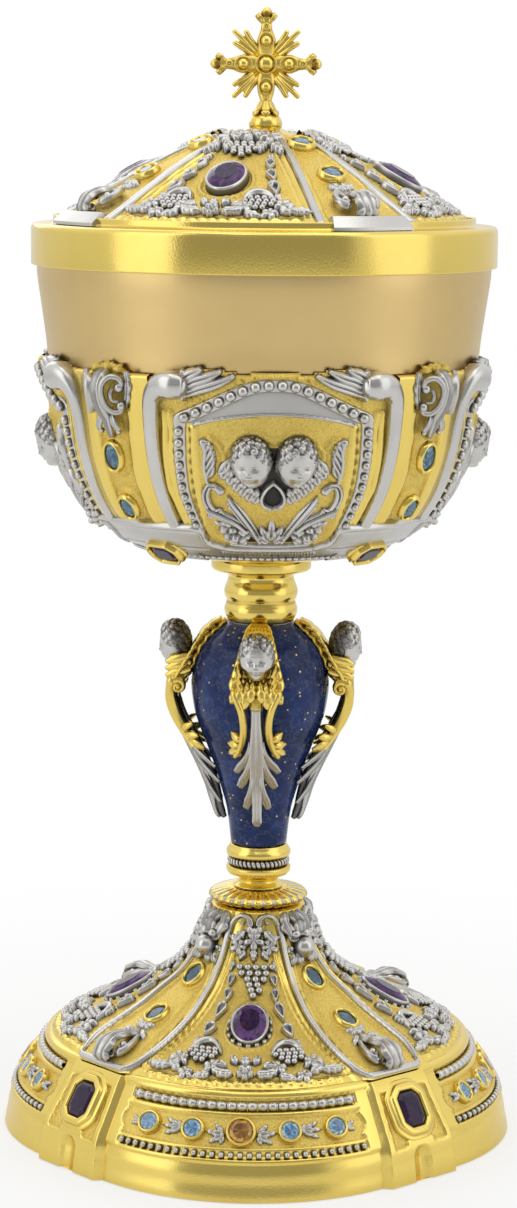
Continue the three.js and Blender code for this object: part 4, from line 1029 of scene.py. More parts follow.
# The disc's lobes swell between its flutes: each is sunk by a root of the cosine round the disc
def flutedDisc():
    profile, out = discSkin()
    angle = np.linspace(0, 2 * np.pi, stem["discFlutes"] * 10, endpoint=False)
    lobe = np.abs(np.cos(angle * stem["discFlutes"] / 2)) ** 0.6
    share = stepUp(profile[:, 0], stem["discStepRadius"] - 0.3, stem["discStepRadius"] + 1.2)[:, None]
    sunk = 0.55 * share * (1 - lobe)[None, :]
    points = polar(profile[:, :1] - sunk * out[:, :1], angle[None, :], profile[:, 1:] - sunk * out[:, 1:])
    return shapeOf(points, gridFaces(len(profile), len(angle), True, True),
                   1 - 0.75 * share * (1 - lobe)[None, :])


# A silver line in each flute, from the disc's step over its rim
def discFlutes():
    profile, out = discSkin()
    held = (profile[:, 0] > stem["discStepRadius"] + 0.4) & (out[:, 1] > -0.6)
    profile, out = profile[held], out[held]
    aside = np.array([-0.5, -0.34, 0.0, 0.34, 0.5])[None, :]
    lift = np.array([-0.9, -0.3, 0.0, -0.3, -0.9])[None, :]
    radius, height = profile[:, :1] + lift * out[:, :1], profile[:, 1:] + lift * out[:, 1:]
    lines = []
    for k in range(stem["discFlutes"]):
        angle = 2 * np.pi * (k + 0.5) / stem["discFlutes"]
        points = polar(radius, angle + aside / radius, height)
        lines.append(shapeOf(points, gridFaces(*radius.shape), np.broadcast_to(1 + 0.8 * lift, radius.shape)))
    return joined(lines)


def lowerCollar():
    base, tall = nodeBox("lower_collar")[0][2], nodeBox("lower_collar")[1][2] - nodeBox("lower_collar")[0][2]
    neck, wide = stem["collarNeck"], stem["collarRadius"]
    corners = [(stem["boreRadius"], 0), (neck + 1.5, 0), (neck + 0.9, 0.5), (neck, 1.4), (neck + 0.5, 2.5),
               (wide - 0.6, 3.2), (wide, 4.0), (wide, 5.0), (wide - 0.4, 5.35), (6.4, 5.4), (6.4, 7.8),
               (wide - 0.4, 7.85), (wide, 8.2), (wide, 9.2), (7.4, 10.2), (7.1, tall), (stem["boreRadius"], tall)]
    profile = softened(corners, 0.5, 4) + [0, base]
    dark = 1 - 0.75 * np.exp(-((profile[:, 1] - base - 6.6) / 1.6) ** 4)
    return lathe(profile, 120, dark)


# A rope of twisted strands: a ring whose round section bulges along lines that run round it aslant
def ropeBand():
    low, high = nodeBox("rope_band")
    middle = (low[2] + high[2]) / 2
    ring, section = np.meshgrid(np.linspace(0, 2 * np.pi, 400, endpoint=False),
                                np.linspace(0, 2 * np.pi, 14, endpoint=False), indexing="ij")
    strand = np.abs(np.cos(0.5 * (stem["ropeStrands"] * ring + section)))
    thick = stem["ropeThickness"] * (0.68 + 0.35 * strand)
    radius = stem["ropeRadius"] - 0.9 + thick * np.cos(section)
    points = polar(radius, ring, middle + 1.08 * thick * np.sin(section))
    return shapeOf(points, gridFaces(400, 14, True, True), stepUp(strand, 0.3, 0.85))


def lapisKnop():
    base = nodeBox("lapis_knop")[0][2]
    skin = meridian(stem["knop"])
    outside = np.stack([skin["r"][::6], skin["z"][::6]], axis=1)
    rim = np.array([(stem["boreRadius"], 56.1), (8.2, 56.1)])
    foot = np.array([(6.8, 0), (stem["boreRadius"], 0)])
    return lathe(np.vstack([rim, outside, foot])[::-1] + [0, base], 128)


def upperCollar():
    base, tall = nodeBox("upper_collar")[0][2], nodeBox("upper_collar")[1][2] - nodeBox("upper_collar")[0][2]
    bore = stem["boreRadius"]
    corners = [(bore, 0), (8.1, 0), (8.5, 0.8), (9.05, 2.0), (9.1, 3.4), (8.6, 4.6), (8.5, 5.3), (9.0, 6.2),
               (9.2, 7.6), (8.8, 9.0), (8.2, 10.4), (8.1, 11.6), (9.6, 12.5), (11.9, 12.9), (12.4, 13.4),
               (12.4, 15.4), (12.0, tall), (bore, tall)]
    profile = softened(corners, 0.7, 4) + [0, base]
    dark = 1 - 0.55 * np.exp(-((profile[:, 1] - base - 4.9) / 0.5) ** 2)
    return lathe(profile, 100, dark)


addPiece("fluted_disc_gilt", flutedDisc(), gilt, ["fluted_disc"])
addPiece("disc_flutes", discFlutes(), silver)
addPiece("lower_collar_gilt", lowerCollar(), gilt, ["lower_collar"])
addPiece("rope_band_silver", ropeBand(), silver, ["rope_band"])
addPiece("lapis_knop_polished", lapisKnop(), lapis, ["lapis_knop"])
addPiece("upper_collar_gilt", upperCollar(), gilt, ["upper_collar"])
print("stem made")


# Cup and lid cover

cup = {
    "base": 146.6, "wall": 1.2,
    "skin": [(55.6, 72.9), (55.5, 68.0), (54.5, 60.8), (53.4, 53.0), (52.8, 47.5), (51.3, 37.5), (48.9, 25.4),
             (43.8, 14.8), (36.0, 6.9), (25.0, 1.8), (12.0, 0.3), (0.0, 0.0)],
}
band = {"radius": 57.0, "bottom": 217.0, "top": 227.0, "ledgeRadius": 51.6, "ledgeTop": 229.0}


def cupBowl():
    skin = meridian(cup["skin"])
    down = np.linspace(0, skin["length"], 70)
    outer = np.stack(onMeridian(skin, down), axis=1)
    inner = np.stack(onMeridian(skin, down[:-6], -cup["wall"]), axis=1)
    rim = [(cup["skin"][0][0] - 0.25, cup["skin"][0][1] + 0.0), (cup["skin"][0][0] - 0.95, cup["skin"][0][1])]
    floorPoint = [(0.0, cup["wall"])]
    profile = np.vstack([floorPoint, inner[::-1], rim[::-1], outer])
    profile[-1, 0] = 0.0
    return lathe(profile[::-1] + [0, cup["base"]], 180)


def lidCover():
    r, low, high = band["radius"], band["bottom"], band["top"]
    corners = [(56.1, low), (r, low), (r, high), (band["ledgeRadius"] + 0.9, high),
               (band["ledgeRadius"], high + 0.5),
               (band["ledgeRadius"], band["ledgeTop"]), (50.8, band["ledgeTop"]), (50.8, 225.9), (47.5, 225.9),
               (47.5, 224.7), (51.9, 224.7), (51.9, 214.5), (53.1, 214.5), (53.1, 219.8), (56.1, 219.8)]
    profile = np.vstack([softened([corners[-1], *corners[:4]], 1.5, 6, closes=False)[1:-1],
                         softened([corners[2], *corners[3:], corners[0]], 0.35, 3, closes=False)[1:-1]])
    return lathe(profile, 170)


addPiece("cup_bowl_gilt", cupBowl(), cupGilt, ["cup_bowl"])
addPiece("lid_cover_gilt", lidCover(), gilt, ["lid_cover"], "lid")
print("cup and lid cover made")

# Calyx: a gilt ground with raised borders, silver mounts on it, silver ribs and cast work

calyx = {
    "lift": 1.4, "top": 197.0, "ribAngle": 32.4, "stoneRadius": 33.6, "stoneTilt": 14.0,
    "arch": [(0, 192.0), (3.2, 191.9), (6.3, 191.3), (9.0, 190.2), (12.0, 188.9), (15.3, 187.4), (18.5, 186.0),
             (21.6, 184.7), (24.3, 183.6)],
    "column": [(24.5, 181.3), (24.8, 176.0), (25.0, 171.0), (25.0, 167.1), (24.6, 164.0), (23.8, 160.3),
               (23.2, 157.6)],
    "border": [(20.7, 181.6), (20.8, 174.5), (20.8, 167.7), (20.6, 161.6), (20.3, 157.5), (18.6, 154.9),
               (15.0, 153.6)],
    "archBead": 1.32, "columnBead": 1.2, "archSpacing": 2.95, "columnSpacing": 2.6,
    "strapStones": [(174.0, 2.45, 3.3), (162.0, 2.3, 2.95)],
}


def calyxMeridian():
    cupSkin = meridian(cup["skin"])
    reach = downAtHeight(cupSkin, calyx["top"] - cup["base"])
    r, z = onMeridian(cupSkin, np.linspace(reach, cupSkin["length"] - 5.5, 60), calyx["lift"])
    return meridian(np.stack([r, z + cup["base"]], axis=1), 900)


calyxCurve = calyxMeridian()
calyxSkin = turnedSkin(calyxCurve)
onCalyx = lambda stops: byHeight(calyxCurve, stops)


# Over every point of a chart: degrees across and height up
def chartPlaces(chart, curve):
    across = np.broadcast_to(np.degrees(chart["across"])[None, :], chart["height"].shape)
    height = np.broadcast_to(onMeridian(curve, chart["down"])[1][:, None], chart["height"].shape)
    return across, height


def layer(chart, where, height):
    chart["height"] = np.where(where, np.maximum(chart["height"], height), chart["height"])


# Ridges and silver of a panel on its right half: degrees across and height, with half widths, heights
# or steps further out where they differ
panel = {
    "edge": [(0, 194.0), (6, 193.7), (8.5, 193.9), (11, 194.5), (14, 194.9), (20, 195.0), (26, 194.2),
             (33, 192.6)],
    "lipTop": 184.9, "lipDrop": 2.7, "lipReach": 21.0, "fieldReach": 20.0, "fieldFoot": 154.2, "puff": 0.35,
    "archRims": [(2.05, 0.5, 1.15), (3.05, 0.45, 0.95)],
    "columnRims": [(2.35, 0.65, 0.9), (4.1, 0.8, 1.0)],
    "headRidge": [(0.0, 178.9), (1.4, 179.1), (3.9, 180.5), (6.2, 181.0), (8.9, 180.2), (11.0, 178.4),
                  (12.6, 176.3)],
    "sideArc": [(16.8, 179.4), (14.6, 178.1), (13.0, 175.4), (13.4, 172.4), (15.2, 170.4), (16.8, 169.4)],
    "dip": [(0.0, 161.9), (2.2, 161.0), (3.6, 159.9), (6.0, 160.4), (9.0, 163.2), (11.6, 166.2)],
    "frameWidths": (1.5, 1.5, 1.48, 1.4, 1.3, 1.15, 1.05),
    "fingers": [[(22.8, 189.5, 1.0), (18.4, 190.8, 1.4), (14.0, 192.2, 1.35), (10.4, 193.9, 0.6)],
                [(22.8, 191.5, 1.1), (19.6, 192.7, 1.45), (16.6, 193.6, 1.3), (13.6, 194.9, 0.6)],
                [(22.8, 193.2, 1.2), (21.0, 194.2, 1.4), (18.6, 195.2, 0.8)]],
    "cornerLine": [(22.9, 188.4, 0.5, 1.9), (22.7, 191.4, 0.55, 2.0), (22.8, 195.0, 0.5, 1.9)],
    "footLine": [(0.0, 152.9, 0.55, 0.9), (6.0, 152.95, 0.55, 0.9), (12.3, 153.3, 0.5, 0.9),
                 (14.0, 153.4, 0.3, 0.7)],
}


def lipAt(aside):
    return panel["lipTop"] - panel["lipDrop"] * (aside / panel["lipReach"]) ** 2


# Gilt ground of a panel: border ridges, a stippled field and the ridge that frames the heads
def panelGround():
    top = downAtHeight(calyxCurve, 196.4)
    reach = calyx["ribAngle"]
    chart = chartOn(calyxSkin, (-reach, reach), (top, downAtRadius(calyxCurve, 10.0)), 0.56)
    across, height = chartPlaces(chart, calyxCurve)
    aside = np.abs(across)
    layer(chart, height < np.interp(aside, *np.array(panel["edge"]).T), 0.05)
    field = (aside < panel["fieldReach"]) & (height > panel["fieldFoot"]) & (height < lipAt(aside))
    chart["grain"] = blurred(np.where(field | (height > 184), 1.0, 0.0), 2)
    puff = np.clip(1 - (aside / panel["lipReach"]) ** 2, 0, 1)
    puff = puff * np.clip((height - 154) / 8, 0, 1) * np.clip((186 - height) / 8, 0, 1)
    chart["height"] = np.where(field, 0.05 + panel["puff"] * puff, chart["height"])
    drawBoth(chart, onCalyx([(a, z, 1.05, 0.5) for a, z in calyx["border"]]), 0.5)
    for offset, half, tall in panel["archRims"]:
        share = lambda a: 1.0 if a > 8 else 0.78
        rim = [(a, z + offset * share(a), half * share(a), tall) for a, z in calyx["arch"][:-1]]
        drawBoth(chart, onCalyx(rim), 0.9)
    for offset, half, tall in panel["columnRims"]:
        strip = [(a + offset * (1.0 if z > 165 else 0.85), z, half, tall) for a, z in calyx["column"]]
        drawBoth(chart, onCalyx([(calyx["arch"][-1][0] + offset, 185.0, half, tall)] + strip), 0.8)
    for key, half, tall in (("headRidge", 0.42, 0.95), ("sideArc", 0.5, 0.95), ("dip", 0.3, 0.6)):
        drawBoth(chart, onCalyx([(a, z, half, tall) for a, z in panel[key]]))
    return reliefShape(chart, sink=-calyx["lift"] - 0.1, depth=1.0, foot=0, darkest=0.35, level=0.86, gain=0.8)


# Silver of a panel's frame: bead strip, crescent under the arch, leaves in the corners, line at the foot
def panelFrame():
    chart = chartOn(calyxSkin, (-31.0, 31.0), (0.0, downAtHeight(calyxCurve, 150.3)), 0.24)
    across, height = chartPlaces(chart, calyxCurve)
    aside = np.abs(across)
    archZ = np.interp(aside, *np.array(calyx["arch"]).T)
    layer(chart, (height < archZ - 1.2) & (height > lipAt(aside)) & (aside < 21.8), 0.25)
    drawBoth(chart, onCalyx([(a, lipAt(a) + 0.15, 0.38, 0.62) for a in (0, 5, 10, 15, 20.5)]), 0.7)
    frame = [(a, z, 1.6, 0.75) for a, z in calyx["arch"]] + [(24.3, 182.4, 1.5, 0.75)]
    frame += [(a, z, width, 0.75) for (a, z), width in zip(calyx["column"], panel["frameWidths"])]
    drawBoth(chart, onCalyx(frame), 0.2)
    strip = chart["height"] > 0.3
    for finger in panel["fingers"]:
        drawBoth(chart, onCalyx([(*stop, 1.7) for stop in finger]), 0.9)
        scoreBoth(chart, onCalyx([(a, z, 0.22, 0.7) for a, z, half in finger]))
    drawBoth(chart, onCalyx(panel["cornerLine"]))
    # Painted shade: a low plate among the corner leaves, nearly black, as the shade between their fingers
    corner = (aside > 11.0) & (height > 188.6) & (height < 194.6) & ~strip
    solid = blurred(np.where(corner & (chart["height"] > 0), 1.0, 0.0), 3) > 0.45
    chart["shade"] = np.where(corner & solid & (chart["height"] < 0.1), 0.04, 1.0)
    layer(chart, corner & solid, 0.1)
    drawBoth(chart, onCalyx(panel["footLine"]))
    return reliefShape(chart, sink=-0.3, depth=0.8, foot=0.35, level=0.72, gain=1.5)


def frameBeads():
    arch = evenPlaces(calyxSkin, onCalyx(mirroredPath(calyx["arch"])[::-1] + calyx["arch"][1:]),
                      calyx["archSpacing"])
    shapes = [ballsOn(calyxSkin, arch, calyx["archBead"], 1.1, rings=8, around=14)]
    column = onCalyx([(24.4, 182.2)] + calyx["column"])
    for path in (mirroredPath(column), column):
        places = evenPlaces(calyxSkin, path, calyx["columnSpacing"])
        sizes = np.linspace(calyx["columnBead"], 0.85, len(places))
        shapes.append(ballsOn(calyxSkin, places, sizes, 1.05, rings=8, around=14))
    return joined(shapes)


# The mount's parts on its right half: a place is degrees across and height, then comes what the part
# itself has (half width of a line; turn, length, width, height and lobes of a leaf; radius of a berry)
cherub = {
    "wing": [(12.3, 172.6, 3.5), (10.7, 171.3, 3.7), (9.0, 169.9, 3.8), (7.3, 168.6, 3.8), (5.6, 167.4, 3.7),
             (4.0, 166.6, 3.4)],
    "feather": (2.5, 1.1, 1), "covert": (2.5, 2.1, 0.9, 1), "cheek": (38, 6.4, 2.8, 1.2, 1),
    "stem": [(17.7, 169.0, 0.45), (18.2, 171.5, 0.5), (18.2, 174.0, 0.55), (17.8, 176.4, 0.7),
             (18.3, 178.4, 1.15)],
    "leaflets": [(169.6, -150, 5.0), (171.4, -146, 5.2), (173.2, -144, 4.8), (175.0, -146, 4.0),
                 (176.6, -152, 3.0)],
    "loop": [(0.1, 169.2, 0.6), (1.9, 167.7, 0.6), (3.1, 165.6, 0.6), (2.6, 163.8, 0.6), (0.7, 163.0, 0.6)],
    "curl": [(14.5, 167.0, 1.25), (15.8, 168.1, 0.85), (17.5, 168.0, 0.95), (18.7, 166.2, 1.15),
             (18.5, 163.9, 1.15),
             (17.0, 162.0, 1.0), (15.0, 162.3, 0.7)],
    "fronds": [[(3.9, 154.6, 0.8), (6.3, 157.9, 1.3), (9.1, 161.3, 1.5), (11.2, 163.7, 1.2), (12.3, 165.6, 0.4)],
               [(8.0, 157.2, 0.9), (11.4, 159.4, 1.4), (15.2, 161.0, 1.4), (18.8, 162.3, 0.5)]],
    "sprays": [(8.6, 157.4, 106, 8.0, 3.0), (8.4, 156.8, 92, 6.8, 2.6), (9.8, 161.8, 134, 4.2, 2.1),
               (16.2, 161.4, 62, 3.4, 2.0), (13.6, 160.2, 150, 3.4, 1.9), (6.4, 158.2, 136, 3.6, 2.0)],
    "rosette": (11.3, 156.3, 20, 2.9, 1.9),
    "berries": [(7.6, 155.9, 0.9), (15.0, 157.3, 1.15), (14.4, 155.2, 0.95), (8.7, 154.4, 0.75),
                (13.0, 158.9, 0.95)],
    "palmette": [(180, 8.4, 3.2), (156, 6.8, 2.6), (204, 6.8, 2.6), (130, 4.8, 2.2), (230, 4.8, 2.2)],
}


# The silver mount in a panel: wings of two rows of feathers under the heads, a pointed loop between
# them, a half leaf, a C scroll, two fronds and flowers on each side, and a palmette at the foot
def cherubMount():
    downRange = (downAtHeight(calyxCurve, 181.2), downAtHeight(calyxCurve, 152.2))
    chart = chartOn(calyxSkin, (-20.5, 20.5), downRange, 0.203)
    across, height = chartPlaces(chart, calyxCurve)
    aside = np.abs(across)
    heads = ((aside - 5.8) / 5.0) ** 2 + ((height - 174.0) / 6.0) ** 2 < 1
    under = (aside < 12.2) & (height < 175.0) & (height > 163.6 + 0.8 * np.maximum(aside - 3.0, 0))
    between = (aside < np.where(height > 172, 1.7, 3.2)) & (height < 177.6) & (height > 163.1)
    plate = heads | under | between
    layer(chart, plate, 0.4)

    def leaves(marks, base=0.0, **form):
        strew(chart, calyxCurve, [(leafMotif, *mark) for mark in marks], base, **form)

    def line(stops, tall):
        drawBoth(chart, onCalyx([(*stop, tall) for stop in stops]))

    leaves([(a, z, 24, reach, *cherub["feather"]) for a, z, reach in cherub["wing"]], 0.5, groove=0.45)
    leaves([(a + 0.1, z + 1.3, 22, *cherub["covert"]) for a, z, reach in cherub["wing"]], 0.9, groove=0.4)
    leaves([(10.6, 175.2, *cherub["cheek"])], 0.6, groove=0.6)
    line(cherub["loop"], 1.6)
    line(cherub["stem"], 1.5)
    leaves([(18.0, *leaflet, 2.15, 1.4, 1) for leaflet in cherub["leaflets"]], groove=0.55)
    line(cherub["curl"], 1.6)
    scoreBoth(chart, onCalyx([(a, z, 0.24, 0.8) for a, z, half in cherub["curl"][1:]]))
    leaves([(*spray, 1.15, 3) for spray in cherub["sprays"]], cut=0.28, groove=0.5)
    for frond in cherub["fronds"]:
        line(frond, 1.6)
        for beside in (-0.45, 0.45):
            scoreBoth(chart, onCalyx([(a + beside, z - beside, 0.2, 0.8) for a, z, half in frond]))
    strew(chart, calyxCurve, [(rosetteMotif, *cherub["rosette"])], 0.3)
    strew(chart, calyxCurve, [(domeMotif, a, z, 0, size, size, 1.5) for a, z, size in cherub["berries"]], 0.1)
    leaves([(0.0, 154.2, *leaf, 1.5, 2) for leaf in cherub["palmette"]], 0.1, groove=0.6)
    # Painted shade: the backplate where nothing covers it, and a low bed among the flowers, are painted dark as
    # the shade between the cast parts
    bed = (aside < 15.0) & (height < 158.9 - 0.1 * aside) & (height > 153.7)
    paintedShade = (plate & (chart["height"] < 0.6)) | (bed & (chart["height"] < 0.15))
    chart["shade"] = np.where(paintedShade, 0.1, 1.0)
    layer(chart, bed, 0.1)
    fillGaps(chart, 0.5, 0.55)
    return reliefShape(chart, sink=-0.25, depth=0.7, foot=0.4, level=0.62, gain=1.9)


# Two heads side by side on the mount, each bent forwards and looking a little away from the other
def calyxHeads():
    shapes = []
    for side in (-1, 1):
        head = posed(childHead(4.9, 6.0, 4.2, seed=5 + side), nod=-15, look=9 * side, lean=-2 * side)
        origin, axes = seatFrame(calyxSkin, side * 5.8, downAtHeight(calyxCurve, 174.0), 0.6)
        upright = np.array([axes[0], [0, 0, 1.0], np.cross(axes[0], [0, 0, 1.0])])
        shapes.append(seated(head, origin, 0.75 * upright + 0.25 * axes))
    return joined(shapes)


# Gilt ground of a strap: a sunk field between two broad bands, with steps round the two stones
def strapGround():
    half = 45 - calyx["ribAngle"]
    downRange = (downAtHeight(calyxCurve, 196.4), downAtHeight(calyxCurve, 157.9))
    chart = chartOn(calyxSkin, (-half, half), downRange, 0.4)
    across, height = chartPlaces(chart, calyxCurve)
    aside = np.abs(across)
    edge = np.interp(aside, [0, 2, 4, 5.5, 7, 9, 13], [196.0, 195.4, 194.6, 194.0, 193.3, 193.6, 193.4])
    layer(chart, height < edge, 0.05)
    inner = np.interp(height, [159, 163, 170, 193], [5.9, 5.4, 5.1, 5.6])
    raised = stepUp(aside, inner - 0.35, inner + 0.35)
    roll = 0.25 * np.cos(np.clip((aside - 7.6) / 2.2, -1, 1) * np.pi / 2)
    chart["height"] = np.where(height < edge, 0.05 + raised * (0.7 + roll), chart["height"])
    chart["grain"] = 1 - raised
    for z, halfWidth, halfLength in calyx["strapStones"]:
        down = float(downAtHeight(calyxCurve, z))
        for wider, tall in ((2.0, 0.55), (1.25, 1.0)):
            away = lambda u, v: np.hypot(u / (halfWidth + wider), v / (halfLength + wider))
            motif = lambda u, v: roundedEdge((1 - away(u, v)) * halfWidth, 0.5, tall)
            emboss(chart, 0, down, 0, halfLength + wider + 1, motif)
    for a, turn, size in ((0, 180, 3.0), (-3.4, 196, 2.4), (3.4, 164, 2.4)):
        emboss(chart, a, downAtHeight(calyxCurve, 193.4), turn, 4, leafMotif(size, 2.4, 1.2, 2, groove=0.4),
               base=0.3)
    return reliefShape(chart, sink=-calyx["lift"] - 0.1, depth=1.0, foot=0, darkest=0.3, level=0.86)


# An oval cup of gilt with a thin lip, which holds a stone
def ovalRim(halfWidth, halfLength, wide=0.75, tall=1.5, root=-0.6):
    section = [(-0.15, root), (wide, root), (wide + 0.1, 0.3 * tall), (wide * 0.75, 0.8 * tall),
               (wide * 0.35, tall),
               (-0.1, 0.92 * tall), (-0.22, 0.5 * tall)]
    tone = [0.4, 0.4, 0.75, 1, 1, 0.9, 0.3]
    return rimOf(ovalOutline(halfWidth, halfLength, 40), section, tone)


# The seats of a strap's stones down a skin's middle, each with its half width and half length
def stoneSeats(skin, curve, stones, lift):
    return [(*seatFrame(skin, 0, downAtHeight(curve, z), lift), w, l) for z, w, l in stones]


def rimsOn(seats, *form):
    return joined([seated(ovalRim(w, l, *form), origin, axes) for origin, axes, w, l in seats])


# Round or oval stones on seats; each is cut by a seed of its own, counted up from the first
def stonesOn(seats, height, seed):
    return joined([seated(brilliant(w, l, height, 16, number), origin, axes)
                   for number, (origin, axes, w, l) in enumerate(seats, seed)])


# A silver rib on each side of a strap, whose top swells and rolls over towards the panel as a knob
ribStops = [  # height, degrees from the strap's middle, lift, half width, half thickness
    (157.4, 14.1, 0.5, 1.5, 1.25), (162.0, 13.6, 0.6, 1.6, 1.3), (168.0, 13.0, 0.6, 1.7, 1.35),
    (176.0, 12.7, 0.6, 1.8, 1.4), (183.0, 12.8, 0.7, 1.9, 1.5), (188.0, 13.6, 0.9, 2.15, 1.9),
    (190.8, 15.6, 1.2, 2.7, 2.5), (191.8, 18.0, 1.4, 3.2, 3.1), (191.8, 20.0, 1.5, 3.4, 3.3),
    (191.7, 21.6, 1.5, 3.05, 3.0), (191.6, 22.8, 1.4, 2.3, 2.3), (191.6, 23.5, 1.4, 1.4, 1.4),
    (191.6, 23.9, 1.4, 0.2, 0.2)]


def strapRibs():
    shapes = []
    for side in (-1, 1):
        height, angle, lift, wide, thick = np.array(ribStops).T
        points = calyxSkin(downAtHeight(calyxCurve, height), np.radians(side * angle), lift)
        path = smoothPath(np.column_stack([points, wide, thick]), 7)
        shapes.append(roundedBar(path, path[:, :3] * [1, 1, 0]))
    return joined(shapes)


# The silver foot of a strap: a moulding across the ribs, a plain band under it, and the rope and
# beads that run under the panels
strapFoot = {
    "top": [(0, 158.3), (22.3, 158.2), (23.4, 153.6), (29.0, 152.2), (45.0, 152.0)],
    "moulding": [(0.0, 157.6, 0.85, 1.9), (12.0, 157.7, 0.85, 1.9), (21.6, 157.6, 0.85, 1.9),
                 (22.2, 154.6, 0.65, 1.4),
                 (23.6, 153.0, 0.55, 1.2), (29.5, 152.0, 0.4, 1.1), (45.0, 151.9, 0.4, 1.0)],
    "grooves": [(156.5, 0.3, 0.5), (151.9, 0.25, 0.4)],
    "ropeAt": 151.15, "ropeHalf": 0.62, "beads": 120, "beadRadius": 31.4, "beadSize": 0.72,
}


def calyxBase():
    downRange = (downAtHeight(calyxCurve, 159.4), downAtRadius(calyxCurve, 28.6))
    chart = chartOn(calyxSkin, (-45.0, 45.0), downRange, 0.37)
    across, height = chartPlaces(chart, calyxCurve)
    aside = np.abs(across)
    layer(chart, height < np.interp(aside, *np.array(strapFoot["top"]).T), 0.75)
    twist = np.abs(np.cos(2.6 * across + 2.2 * (height - 151.2)))
    fromRope = (height - strapFoot["ropeAt"]) / strapFoot["ropeHalf"]
    rope = (aside > 27.0) & (np.abs(fromRope) < 1)
    layer(chart, rope, 0.75 + 0.5 * twist * np.sqrt(np.clip(1 - fromRope ** 2, 0, 1)))
    isBand = (height < 150.4) & (aside > 16)
    chart["height"] = np.where(isBand, np.minimum(chart["height"], 0.45), chart["height"])
    drawBoth(chart, onCalyx(strapFoot["moulding"]), steps=4)
    for z, half, deep in strapFoot["grooves"]:
        scoreBoth(chart, onCalyx([(a, z, half, deep) for a in (0.0, 10.0, 21.0)]), steps=1)
    return reliefShape(chart, sink=-0.6, depth=0.9, foot=0.3, level=0.74, gain=1.5)


def baseBeads():
    down = np.full(strapFoot["beads"], downAtRadius(calyxCurve, strapFoot["beadRadius"]))
    turn = np.arange(strapFoot["beads"]) * 360 / strapFoot["beads"]
    return ballsOn(calyxSkin, np.stack([turn, down], axis=1), strapFoot["beadSize"], 0.5, rings=5, around=8)


# The gilt setting of the rectangular stone: two stepped cut-corner frames, and the stone in it
def gemSeat():
    origin, axes = seatFrame(calyxSkin, 0, downAtRadius(calyxCurve, calyx["stoneRadius"]), 0.0)
    tilt = np.radians(calyx["stoneTilt"])
    up = np.cos(tilt) * axes[1] - np.sin(tilt) * axes[2]
    return origin, np.stack([axes[0], up, np.cross(axes[0], up)])


def gemSetting(halfWidth, halfLength, tall, wide=2.9):
    outline = roundedOutline(cutCornerOutline(halfWidth, halfLength, 1.7), 0.25, 2)
    shares = [(1.0, 0.35), (0.9, 0.42), (0.66, 0.44), (0.62, 0.5), (0.6, 0.82), (0.5, 0.97), (0.17, 1.0),
              (0.03, 0.95)]
    section = [(-0.2, -1.6), (wide, -1.6), *[(wide * w, tall * h) for w, h in shares], (-0.25, 0.6 * tall)]
    tone = [0.5, 0.5, 0.9, 1, 0.6, 0.55, 0.9, 1, 1, 1, 0.35]
    return rimOf(outline, section, tone)


# The leaves of the cast work at the head of a strap: stops of height, lift and place across, and then
# their half widths, half thicknesses, lobes, cut, groove, points around and points along
acanthus = {
    "ridge": [[(194.0, 1.0, 0), (193.0, 3.2, 0), (190.6, 4.5, 0), (187.6, 4.3, 0), (185.0, 3.2, 0),
               (183.2, 2.2, 0),
               (181.0, 1.7, 0), (178.6, 0.9, 0)],
              (1.5, 1.8, 1.6, 1.4, 1.4, 1.4, 1.1, 0.5), (0.9, 1.0, 0.9, 0.8, 0.6), 0, 0, 0.45, 20, 80],
    "outer": [[(190.6, 1.8, 4.5), (191.7, 1.9, 5.0), (192.9, 2.4, 4.4), (193.2, 3.4, 3.0), (191.8, 4.5, 1.8),
               (189.4, 4.8, 1.5), (186.8, 4.2, 1.9), (185.2, 3.3, 3.0), (185.0, 2.3, 4.2), (186.2, 1.8, 4.6)],
              (0.8, 0.7, 0.8, 1.0, 1.3, 1.4, 1.3, 1.0, 0.7, 0.8), (0.7, 0.7, 0.8, 0.8, 0.7, 0.7), 0, 0, 0.4, 18,
              90],
    "inner": [[(190.4, 2.6, 2.9), (189.2, 3.2, 2.7), (187.7, 3.1, 3.0), (187.4, 2.4, 4.1)],
              (0.8, 0.8, 0.7, 0.3), (0.6, 0.6, 0.3), 0, 0, 0.3, 14, 36],
    "back": [[(194.2, 0.9, 5.9), (191.0, 1.2, 6.2), (187.4, 1.1, 5.4), (184.0, 0.9, 3.2)],
             (0.8, 1.2, 1.1, 0.4), (0.5, 0.6, 0.4), 4, 0.25, 0.5, 14, 50],
    "tail": [[(184.6, 1.6, 1.2), (182.6, 2.2, 2.0), (180.8, 1.9, 2.8), (180.0, 1.2, 2.6)],
             (0.7, 1.1, 0.9, 0.3), (0.5, 0.6, 0.3), 0, 0, 0.4, 14, 30],
    "berries": [(190.6, 1.9, 4.3, 1.25), (186.3, 1.9, 4.4, 1.2), (180.0, 1.4, 2.6, 0.7)],
}


# A leaf of such a table, on the side asked for and turned to face a direction
def leafOn(place, leaf, side=1, facing=(1, 0, 0)):
    stops, *form = leaf
    return leafBar(np.array([place(at, lift, side * x) for at, lift, x in stops]), facing, *form)


# The cast leaf at the head of a strap: a ridge that stands out from the skin, a large and a small
# C scroll on each side of it, leaves behind them and a leafy tail towards the first stone
def strapScroll():
    place = lambda z, lift, x: calyxSkin(downAtHeight(calyxCurve, z), x / 50.0, lift)
    shapes = [leafOn(place, acanthus["ridge"])]
    for side in (-1, 1):
        facing = (0.7 * side, -0.7, 0)
        shapes += [leafOn(place, acanthus[key], side, facing) for key in ("outer", "inner")]
        shapes += [leafOn(place, acanthus[key], side) for key in ("back", "tail")]
        for z, lift, x, size in acanthus["berries"]:
            centre = place(z, lift, side * x)
            shapes.append(balls(centre, centre * [1, 1, 0], size, rings=9, around=14))
    return joined(shapes)


